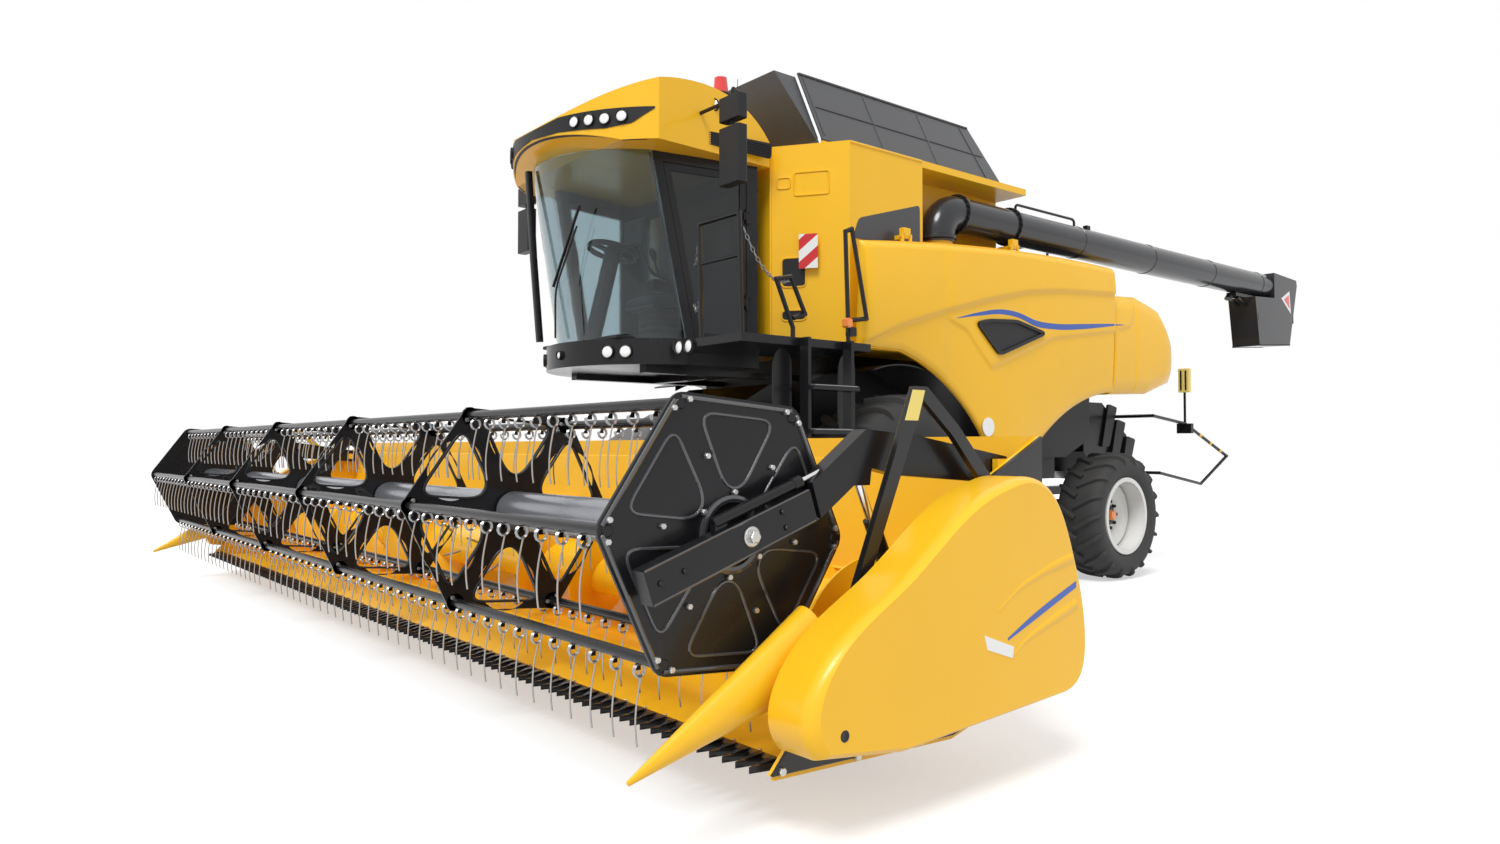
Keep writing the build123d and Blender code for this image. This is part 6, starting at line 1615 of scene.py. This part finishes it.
    def seat(self) -> None:
        """Seat: padded cushion and back, its pedestal, bellows and armrest."""
        base = []
        t = np.linspace(0, 1, 31)
        size = 1 + 0.05 * np.cos(t * 12 * np.pi)
        base.append(carry(rounded_square(0.30),
                          np.stack([0 * t, -1.365 + AXLE_Y + 0 * t, self.floor + 0.33 * t], -1), (0, 1, 0),
                          size=size))
        base.append(upright_box(spot(0, -1.38, self.floor + 0.345), (0.44, 0.42, 0.035), 0.006))
        base.append(upright_box(spot(0.33, -1.475, self.floor + 0.50), (0.10, 0.42, 0.09), 0.02))
        base.append(upright_box(spot(0.275, -1.35, self.floor + 0.43), (0.03, 0.10, 0.14), 0.005))
        make("seat_pedestal", base, PLASTIC, "machine")
        cushion = pillow(spot(0, -1.39, self.floor + 0.405), (0.50, 0.45, 0.10), 2)
        back = pillow(spot(0, -1.19, self.floor + 0.77), (0.48, 0.11, 0.60), 1)
        head = pillow(spot(0, -1.19, self.floor + 1.02), (0.26, 0.09, 0.12), 1)
        for name, shell in (("seat_cushion", cushion), ("seat_back", back), ("seat_headrest", head)):
            piece = make(name, [shell], CLOTH, "machine", 80)
            if name == "seat_cushion":
                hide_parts("operator_seat")
        angle = np.linspace(0, 2 * np.pi, 48, endpoint=False)
        c, s = np.cos(angle), np.sin(angle)
        loop = np.stack([0.245 * np.sign(c) * np.abs(c) ** 0.45, 0.220 * np.sign(s) * np.abs(s) ** 0.45,
                         0 * c], -1) + spot(0, -1.39, self.floor + 0.405)
        piping = carry(circle(0.005, 6), loop, (0, 0, 1), closed=True)
        make("seat_piping", [piping], PLASTIC, "machine")

    def build(self) -> None:
        """Builds all the cab's pieces."""
        self.roof_lamps()
        self.seals()
        self.inside()


def rounded_square(size: float) -> Array:
    """Square section with round corners."""
    h = size / 2
    return rounded([(-h, -h), (h, -h), (h, h), (-h, h)], size * 0.22, 4, closed=True)


def pillow(centre: Array, size: tuple, flat_axis: int) -> Shell:
    """Crowned cushion: a rounded-box surface whose height falls off towards its edges, with sewn channels.

    Its points are a superellipse in the two long axes. Along the third, they are half the thickness times a
    power of the sine, less a shallow groove at each channel.

    Args:
        centre: the cushion's middle.
        size: its three sizes.
        flat_axis: the axis of its thickness.

    Returns:
        A closed shell.
    """
    u = np.linspace(0, 2 * np.pi, 64, endpoint=False)
    w = np.linspace(-np.pi / 2, np.pi / 2, 33)[:, None]
    power = 0.42
    cw, sw = np.abs(np.cos(w)) ** 0.38, np.sign(np.sin(w)) * np.abs(np.sin(w)) ** 0.75
    a = cw * np.sign(np.cos(u)) * np.abs(np.cos(u)) ** power
    b = cw * np.sign(np.sin(u)) * np.abs(np.sin(u)) ** power
    c = np.broadcast_to(sw, a.shape)
    groove = 1 - 0.16 * np.exp(-((np.abs(a) - 0.38) / 0.035) ** 2) * (np.abs(c) > 0.4)
    axes = [k for k in range(3) if k != flat_axis]
    points = np.zeros((*a.shape, 3))
    points[..., axes[0]] = a * size[axes[0]] / 2
    points[..., axes[1]] = b * size[axes[1]] / 2
    points[..., flat_axis] = c * groove * size[flat_axis] / 2
    points = points + centre
    rows, cols = a.shape
    return Shell(points.reshape(-1, 3), weave(rows, cols))


@dataclass
class Boarding:
    """Ladder, platform and rails with their chains, plates and lamps."""

    def build(self) -> None:
        """Builds step treads, the chains, the hazard plate, the side plates and the lamp."""
        treads, grips = [], []
        for index in range(5):
            z = 0.48 + index * (2.09 - 0.48) / 5 + 0.030
            treads.append(upright_box(spot(1.857, -1.115, z + 0.003), (0.14, 0.44, 0.008), 0.002))
            for y in np.linspace(-1.31, -0.92, 14):
                grips.append(turned([(0, 0.010), (0.006, 0.009), (0.006, 0.004)], spot(1.857, y, z + 0.006),
                                    (0, 0, 1), 8))
        make("ladder_treads", treads + grips, STEEL, "machine")
        deck = []
        for x in np.arange(1.0, 1.76, 0.05):
            deck.append(carry(oblong(0.010, 0.006), spots([(x, -1.87, 2.152), (x, -0.63, 2.152)]), (0, 0, 1)))
        make("platform_tread_bars", deck, HOUSING, "machine")
        links = [chain(spot(1.25, -1.87, 2.92), spot(0.985, -1.72, 2.75), 0.07),
                 chain(spot(1.25, -1.87, 2.42), spot(0.985, -1.72, 2.45), 0.06),
                 chain(spot(1.740, -1.85, 2.90), spot(1.76, -1.42, 2.57), 0.14)]
        make("safety_chains", links, STEEL, "machine")
        a, b = spot(1.30, -0.705, 2.80), spot(1.17, -0.793, 2.80)
        out = unit(np.array([0.56, -0.83, 0])) * 0.028
        plate = prism(np.array([a, b, b + (0, 0, 0.28), a + (0, 0, 0.28)]) + out, unit(out) * 0.004)
        make("hazard_plate", [plate], HAZARD, "machine")
        stem = [rod(a + (-0.06, 0.04, 0.10), a + (-0.06, 0.04, 0.10) + out, 0.010, 8),
                upright_box(spot(1.76, -0.80, 2.235), (0.05, 0.07, 0.07))]
        make("plate_bracket", stem, BLACK, "machine")
        lens = upright_box(spot(1.76, -0.842, 2.30), (0.07, 0.045, 0.075), 0.012)
        make("platform_lamp", [lens], AMBER, "machine")
        plates = []
        for y in (-1.46, -0.80):
            outline = rounded([(y - 0.09, 1.45), (y + 0.09, 1.45), (y + 0.09, 2.02), (y, 2.09),
                               (y - 0.09, 2.02)], 0.08, 6, closed=True)
            plates.append(prism(at_x(1.70, outline), (0.012, 0, 0)))
        make("ladder_side_plates", plates, BLACK, "machine")


HAZARD = Finish("hazard_red_white", (0.85, 0.85, 0.84), 0.35, Grain.PAINT, coat=0.2, tone=0.03, dust=0.03)


HAZARD_WAVES = 34.0
HAZARD_RED = (0.62, 0.015, 0.02)


def paint_hazard_stripes() -> None:
    """Red bars at 45 degrees over the hazard plate's white: a square wave on the difference of x and z."""
    tree = HAZARD.material().node_tree
    parts = node(tree, "SeparateXYZ", {0: node(tree, "TexCoord").outputs["Object"]}).outputs
    across = node(tree, "Math", {0: parts["X"], 1: parts["Z"]}, operation="SUBTRACT").outputs[0]
    phase = node(tree, "Math", {0: across, 1: HAZARD_WAVES}, operation="MULTIPLY").outputs[0]
    wave = node(tree, "Math", {0: phase}, operation="SINE").outputs[0]
    paint_over(tree, node(tree, "Math", {0: wave, 1: 0.0}, operation="GREATER_THAN").outputs[0], HAZARD_RED)


@dataclass
class Tank:
    """Pressed shapes and openings on the tank's walls, and the beads of its covers."""

    corner_a: tuple = (0.95, -0.92)
    corner_b: tuple = (1.50, -0.55)

    def on_wall(self, rows: list, side: int, lift: float) -> Array:
        """Points given by x and height on the slanted front wall, lifted off it.

        Args:
            rows: rows of x and height.
            side: 1 on the left, -1 on the right.
            lift: distance off the wall.

        Returns:
            (n, 3) points.
        """
        rows = np.array(rows, float)
        y = np.interp(rows[:, 0], [self.corner_a[0], self.corner_b[0]], [self.corner_a[1], self.corner_b[1]])
        n = unit(np.array([0.558, -0.830, 0.0]))
        points = spots(np.column_stack([rows[:, 0], y, rows[:, 1]])) + n * lift
        return points * (side, 1, 1)

    def build(self) -> None:
        """Builds frames, slots, the dark side plates and the covers' beads."""
        frames, slots, plates = [], [], []
        for side in SIDES:
            n = unit(np.array([side * 0.558, -0.830, 0.0]))
            for low, high in (((1.12, 3.41), (1.36, 3.60)), ((1.00, 3.475), (1.09, 3.565))):
                corners = rounded([low, (high[0], low[1]), high, (low[0], high[1])], 0.02, 4, closed=True)
                frames.append(carry(circle(0.008, 6), self.on_wall(corners, side, 0.001), n, closed=True))
            for low, high in (((1.03, 2.66), (1.20, 2.90)), ((1.03, 2.385), (1.20, 2.47))):
                corners = rounded([low, (high[0], low[1]), high, (low[0], high[1])], 0.035, 5, closed=True)
                slots.append(prism(self.on_wall(corners, side, -0.004), n * 0.0055))
                frames.append(carry(circle(0.009, 6), self.on_wall(corners, side, 0.0), n, closed=True))
            edge = spots([(side * 0.955, -0.922, 2.2), (side * 0.955, -0.922, 3.80)])
            frames.append(carry(circle(0.012, 8), edge, (0, 1, 0)))
            outline = rounded([(-0.515, 3.045), (-0.445, 3.215), (0.300, 3.432), (0.300, 3.045)], 0.04, 5,
                              closed=True)
            plates.append(prism(at_x(side * 1.4985, outline), (side * 0.006, 0, 0)))
            top = rounded([(-0.54, 3.832), (0.33, 3.832)], 0.1, 3)
            frames.append(carry(circle(0.014, 8), at_x(side * 1.496, top - (0, 0.012)), (1, 0, 0)))
        make("tank_pressings", frames, YELLOW, "machine", 60)
        make("tank_slots", slots, PLASTIC, "machine")
        make("tank_side_plates", plates, COVER, "machine")
        self.covers()

    def covers(self) -> None:
        """Edge beads and stiffening folds on the raised covers, each on its own flap."""
        lean = math.radians(25.4)
        for side, name in ((1, "left"), (-1, "right")):
            up = np.array([-side * math.sin(lean), 0, math.cos(lean)])
            hinge = np.array([side * 1.3, 0, 3.862])
            out = np.array([side * math.cos(lean), 0, math.sin(lean)])
            beads = []
            for height, start, end in ((0.690, -0.66, 1.575), (0.35, -0.60, 1.62)):
                a = hinge + up * height + out * 0.009 + (0, start + AXLE_Y, 0)
                b = hinge + up * height + out * 0.009 + (0, end + AXLE_Y, 0)
                beads.append(rod(a, b, 0.011 if height > 0.5 else 0.006, 8))
            for station in (-0.62, 0.10, 0.82, 1.54):
                a = hinge + up * 0.05 + out * 0.008 + (0, station + AXLE_Y, 0)
                b = hinge + up * 0.67 + out * 0.008 + (0, station + AXLE_Y - (0.1 if station > 1 else 0), 0)
                beads.append(rod(a, b, 0.006, 6))
            make(f"cover_beads_{name}", beads, COVER, f"cover_{name}")


@dataclass
class Unloader:
    """Ring flanges, seams, plates and hanging fittings of the unloading auger."""

    x: float = 1.42
    z: float = 3.455
    radius: float = 0.16

    def build(self) -> None:
        """Builds the bolts on the rings, the seams, the handle, the spout's marks and the work lamp."""
        start = 0.87
        heads, rings = [], []
        angle = np.arange(20) * np.pi / 10
        for station in (start, start + 0.78):
            for face, way in ((-0.002, -1), (0.026, 1)):
                r = self.radius * 1.07
                rows = np.stack([self.x + r * np.cos(angle), np.full(20, station + face + AXLE_Y),
                                 self.z + r * np.sin(angle)], -1)
                heads.append(bolts(rows, (0, way, 0), 0.011, 0.010))
        for station in (start + 1.9, start + 3.3, start + 4.7, start + 6.0):
            rings.append(turned([(0, self.radius), (0.004, self.radius + 0.005), (0.020, self.radius + 0.005),
                                 (0.024, self.radius)],
                                spot(self.x, station, self.z), (0, 1, 0), 48))
        rings.append(turned([(0, self.radius + 0.002), (0.01, self.radius * 1.12),
                             (0.035, self.radius * 1.12), (0.045, self.radius + 0.002)],
                            spot(self.x, 0.62, 3.175), (0, 0, 1), 48))
        make("unloader_bolts", heads, BLACK, "unloader")
        make("unloader_seams", rings, TUBE, "unloader")
        handle = [tube(spots([(self.x + 0.03, 1.75, 3.60), (self.x + 0.03, 1.75, 3.68),
                              (self.x + 0.03, 2.75, 3.68), (self.x + 0.03, 2.75, 3.60)]),
                       0.013, 0.05, (1, 0, 0)),
                  upright_box(spot(self.x + 0.02, 3.0, 3.63), (0.05, 0.06, 0.05)),
                  upright_box(spot(self.x, 6.55, 3.27), (0.12, 0.50, 0.05)),
                  rod(spot(self.x + 0.05, 6.35, 3.23), spot(self.x + 0.05, 6.85, 3.10), 0.022, 12),
                  rod(spot(self.x - 0.05, 6.45, 3.20), spot(self.x - 0.05, 6.75, 3.14), 0.018, 12),
                  turned([(0, 0.03), (0.05, 0.05), (0.06, 0.05), (0.06, 0.04)], spot(self.x, 6.25, 3.26),
                         (0, -0.4, -1), 20)]
        make("unloader_fittings", handle, BLACK, "unloader")
        plate = np.array([(self.x + 0.171, 7.35, 3.30), (self.x + 0.171, 7.60, 3.42),
                          (self.x + 0.171, 7.64, 3.12)])
        mark = prism(spots(plate), (0.002, 0, 0))
        small = prism(spots([(self.x + 0.173, 7.43, 3.295), (self.x + 0.173, 7.575, 3.365),
                             (self.x + 0.173, 7.60, 3.19)]), (0.002, 0, 0))
        make("spout_mark", [mark], WHITE, "unloader")
        # The red centre takes the red lens finish; its slight glow lights it though it is no lamp, a painted
        # glow.
        make("spout_mark_centre", [small], RED, "unloader")
        lips = [carry(oblong(0.02, 0.012),
                      spots([(self.x + sx * 0.171, 6.70, 2.645), (self.x + sx * 0.171, 7.59, 2.705)]),
                      (1, 0, 0)) for sx in SIDES]
        for y, z in ((6.66, 3.0), (7.72, 3.05)):
            lips.append(carry(oblong(0.34, 0.012), spots([(self.x, y, z - 0.05), (self.x, y, z + 0.05)]),
                              (0, 1, 0)))
        make("spout_lips", lips, PLASTIC, "unloader")


@dataclass
class RearEnd:
    """Chopper plates, guard loops' marks, reflectors, the engine bay's grilles and the exhaust."""

    def build(self) -> None:
        """Builds the rear and top details."""
        slats, plates = [], []
        for z in np.linspace(2.38, 3.10, 15):
            for side in SIDES:
                slats.append(carry(oblong(0.010, 0.030),
                                   spots([(side * 1.483, 1.95, z), (side * 1.483, 3.10, z)]), (side, 0, 0.8)))
        for x in np.linspace(-1.30, 1.30, 40):
            slats.append(carry(oblong(0.012, 0.014), spots([(x, 1.95, 3.178), (x, 2.95, 3.178)]), (0, 0, 1)))
        make("engine_bay_slats", slats, PLASTIC, "machine")
        pipe = [turned([(0, 0.075), (0.02, 0.080), (0.30, 0.080), (0.32, 0.062), (0.55, 0.060), (0.56, 0.052),
                        (0.50, 0.050)],
                       spot(-0.95, 2.35, 3.17), (0, 0, 1), 32),
                turned([(0, 0.13), (0.16, 0.13), (0.20, 0.11), (0.20, 0.0)], spot(0.75, 2.45, 3.17),
                       (0, 0, 1), 40)]
        make("exhaust_and_intake", pipe, IRON, "machine")
        rail = [tube(spots([(sx * 1.38, 3.05, 3.16), (sx * 1.38, 3.05, 3.60), (sx * 1.38, 2.0, 3.60),
                            (sx * 1.38, 2.0, 3.16)]), 0.014, 0.08, (1, 0, 0)) for sx in (-1,)]
        rail.append(tube(spots([(-1.36, 3.10, 3.16), (-1.36, 3.10, 3.58), (0.9, 3.10, 3.58),
                                (0.9, 3.10, 3.16)]), 0.014, 0.08, (0, 1, 0)))
        make("deck_rails", rail, BLACK, "machine")
        for side in SIDES:
            for index, (y, z) in enumerate(((4.55, 1.78), (4.72, 1.60), (4.92, 1.40))):
                outline = rounded([(y - 0.10, z - 0.42), (y + 0.06, z - 0.42), (y + 0.24, z + 0.05),
                                   (y + 0.05, z + 0.09)], 0.03, 4, closed=True)
                rows = at_x(side * 0.7005, outline)
                plates.append(prism(rows, (side * (0.03 + 0.012 * index), 0, 0)))
        make("chopper_plates", plates, HOUSING, "machine")
        reflectors, ambers, marks = [], [], []
        for side in SIDES:
            x = side * 1.2
            reflectors.append(upright_box(spot(x, 5.520, 2.165), (0.13, 0.060, 0.29), 0.004))
            ambers.append(upright_box(spot(x, 5.575, 1.58), (0.10, 0.035, 0.07), 0.008))
            for t in np.linspace(0.08, 0.92, 8)[::2]:
                a = spot(x, 5.52, 1.64) * (1 - t) + spot(x, 6.60, 1.24) * t
                b = spot(x, 5.52, 1.64) * (1 - t - 0.05) + spot(x, 6.60, 1.24) * (t + 0.05)
                marks.append(rod(a, b, 0.0215, 12))
        make("rear_reflector_plates", reflectors, PALE, "machine")
        make("rear_side_lamps", ambers, AMBER, "machine")
        make("guard_loop_marks", marks, YELLOW, "machine")
        strips = [upright_box(spot(side * 1.2 + sx * 0.030, 5.487, 2.165), (0.018, 0.008, 0.24),
                              0.002) for side in SIDES for sx in SIDES]
        make("reflector_strips", strips, BLACK, "machine")
        fan = [upright_box(spot(0, 4.462, 2.45), (1.6, 0.02, 0.5), 0.01)]
        for x in np.linspace(-0.7, 0.7, 15):
            fan.append(carry(oblong(0.012, 0.02), spots([(x, 4.475, 2.24), (x, 4.478, 2.66)]), (0, 1, 0)))
        make("hood_rear_grille", fan, PLASTIC, "machine")
        lines = []
        for sx in SIDES:
            lines.append(tube(spots([(sx * 0.55, -0.65, 1.55), (sx * 0.62, -1.2, 1.38),
                                     (sx * 0.62, -2.2, 0.92)]), 0.012, 0.2, (1, 0, 0)))
            lines.append(tube(spots([(sx * 0.50, -0.65, 1.58), (sx * 0.627, -1.2, 1.43),
                                     (sx * 0.627, -2.2, 0.97)]), 0.010, 0.2, (1, 0, 0)))
        make("feeder_pipes", lines, BLACK, "header")


@dataclass
class Studio:
    """Camera, lamps, floor and the pale surroundings."""

    lens: float = 23.57
    place: tuple = (7.06, -7.845, 1.35)
    pitch: float = math.radians(91.48)
    heading: float = math.radians(50.52)
    sun_way: tuple = (0.30, -0.50, 0.81)
    sun: float = 2.15
    sun_width: float = math.radians(22)
    sky_colour: tuple = (0.97, 0.985, 1.0, 1)
    sky: float = 0.70
    floor_radius: float = 60.0
    floor_tone: float = 0.60
    floor_glow: float = 0.50

    def camera(self) -> None:
        """Camera at the photograph's place and angle."""
        data = bpy.data.cameras.new("camera")
        data.lens, data.sensor_width, data.clip_end = self.lens, 36.0, 200.0
        camera = placed("camera", data)
        camera.location = self.place
        camera.rotation_euler = (self.pitch, 0.0, self.heading)
        bpy.context.scene.camera = camera

    def lights(self) -> None:
        """One broad sun from the front and above, over an even sky."""
        data = bpy.data.lights.new("key", "SUN")
        data.energy, data.angle = self.sun, self.sun_width
        lamp = placed("key", data)
        lamp.rotation_mode = "QUATERNION"
        lamp.rotation_quaternion = Vector(self.sun_way).to_track_quat("Z", "Y")

    def surroundings(self) -> None:
        """Sky that the camera, gloss and glass see as plain white, and that lights the object evenly."""
        world = bpy.data.worlds.new("sky")
        bpy.context.scene.world = world
        world.use_nodes = True
        tree = world.node_tree
        plain = tree.nodes["Background"]
        plain.inputs["Color"].default_value = self.sky_colour
        plain.inputs["Strength"].default_value = self.sky
        seen = node(tree, "Background", {"Color": (1, 1, 1, 1), "Strength": 1.0})
        blend = node(tree, "MixShader",
                     {"Fac": self.seen_rays(tree), 1: plain.outputs[0], 2: seen.outputs[0]})
        tree.links.new(blend.outputs[0], tree.nodes["World Output"].inputs["Surface"])

    def seen_rays(self, tree: bpy.types.NodeTree) -> bpy.types.NodeSocket:
        """1 for camera, glossy and transmission rays.

        Args:
            tree: the nodes to add to.

        Returns:
            The socket that carries it.
        """
        rays = node(tree, "LightPath").outputs
        seen = rays["Is Camera Ray"]
        for name in ("Is Glossy Ray", "Is Transmission Ray"):
            seen = node(tree, "Math", {0: seen, 1: rays[name]}, operation="MAXIMUM").outputs[0]
        return seen

    def floor(self) -> None:
        """Wide round floor, white to the camera, that keeps the object's soft shadow."""
        disc = turned([(-0.02, self.floor_radius), (0.0, self.floor_radius)], (0, 0, -0.001), (0, 0, 1), 96)
        mesh = bpy.data.meshes.new("studio_floor")
        mesh.from_pydata(disc.points.tolist(), [], disc.quads.tolist() + [rim.tolist() for rim in disc.rims])
        made = bpy.data.materials.new("studio_floor_white")
        made.use_nodes = True
        tree = made.node_tree
        shader = tree.nodes["Principled BSDF"]
        shader.inputs["Base Color"].default_value = (*[self.floor_tone] * 3, 1)
        shader.inputs["Roughness"].default_value = 1.0
        shader.inputs["Specular IOR Level"].default_value = 0.0
        lift = node(tree, "Math", {0: self.seen_rays(tree), 1: self.floor_glow},
                    operation="MULTIPLY").outputs[0]
        glow = node(tree, "Emission", {"Strength": lift})
        total = node(tree, "AddShader", {0: shader.outputs[0], 1: glow.outputs[0]})
        tree.links.new(total.outputs[0], tree.nodes["Material Output"].inputs["Surface"])
        mesh.materials.append(made)
        floor = placed("studio_floor", mesh)

    def build(self) -> None:
        """Sets the whole studio."""
        self.camera()
        self.lights()
        self.surroundings()
        self.floor()
        bpy.context.scene.view_settings.view_transform = "Standard"


def wheels() -> list:
    """The four wheels.

    Returns:
        The wheels, front and rear, left and right.
    """
    rows = []
    for side, name in ((1, "left"), (-1, "right")):
        rows.append(Wheel(f"front_lugged_tyre_{name}", f"front_tyre_{name}", f"front_wheel_{name}", side,
                          side * 1.4, 0.0, 0.9, 0.68, 0.504, 20, 1.225))
        rows.append(Wheel(f"rear_lugged_tyre_{name}", f"rear_tyre_{name}", f"rear_wheel_{name}", side,
                          side * 1.53, 3.2, 0.65, 0.50, 0.364, 18, 1.50))
    return rows


def main() -> None:
    """Builds every sub-assembly in order."""
    logging.basicConfig(level=logging.INFO, format="%(message)s")
    dress_nodes()
    Reel().build()
    for side in SIDES:
        ReelArm(side).build()
    Cutter().build()
    SidePanels().build()
    RearQuarters().build()
    Shields().build()
    for wheel in wheels():
        wheel.tyre()
        # The rear caps take the amber lens finish; its slight glow lights them though they are no lamps, a
        # painted glow.
        wheel.hub(AMBER if wheel.body.startswith("rear") else BLACK)
    Cab().build()
    Boarding().build()
    paint_hazard_stripes()
    Tank().build()
    Unloader().build()
    RearEnd().build()
    Studio().build()


if __name__ == "__main__":
    main()
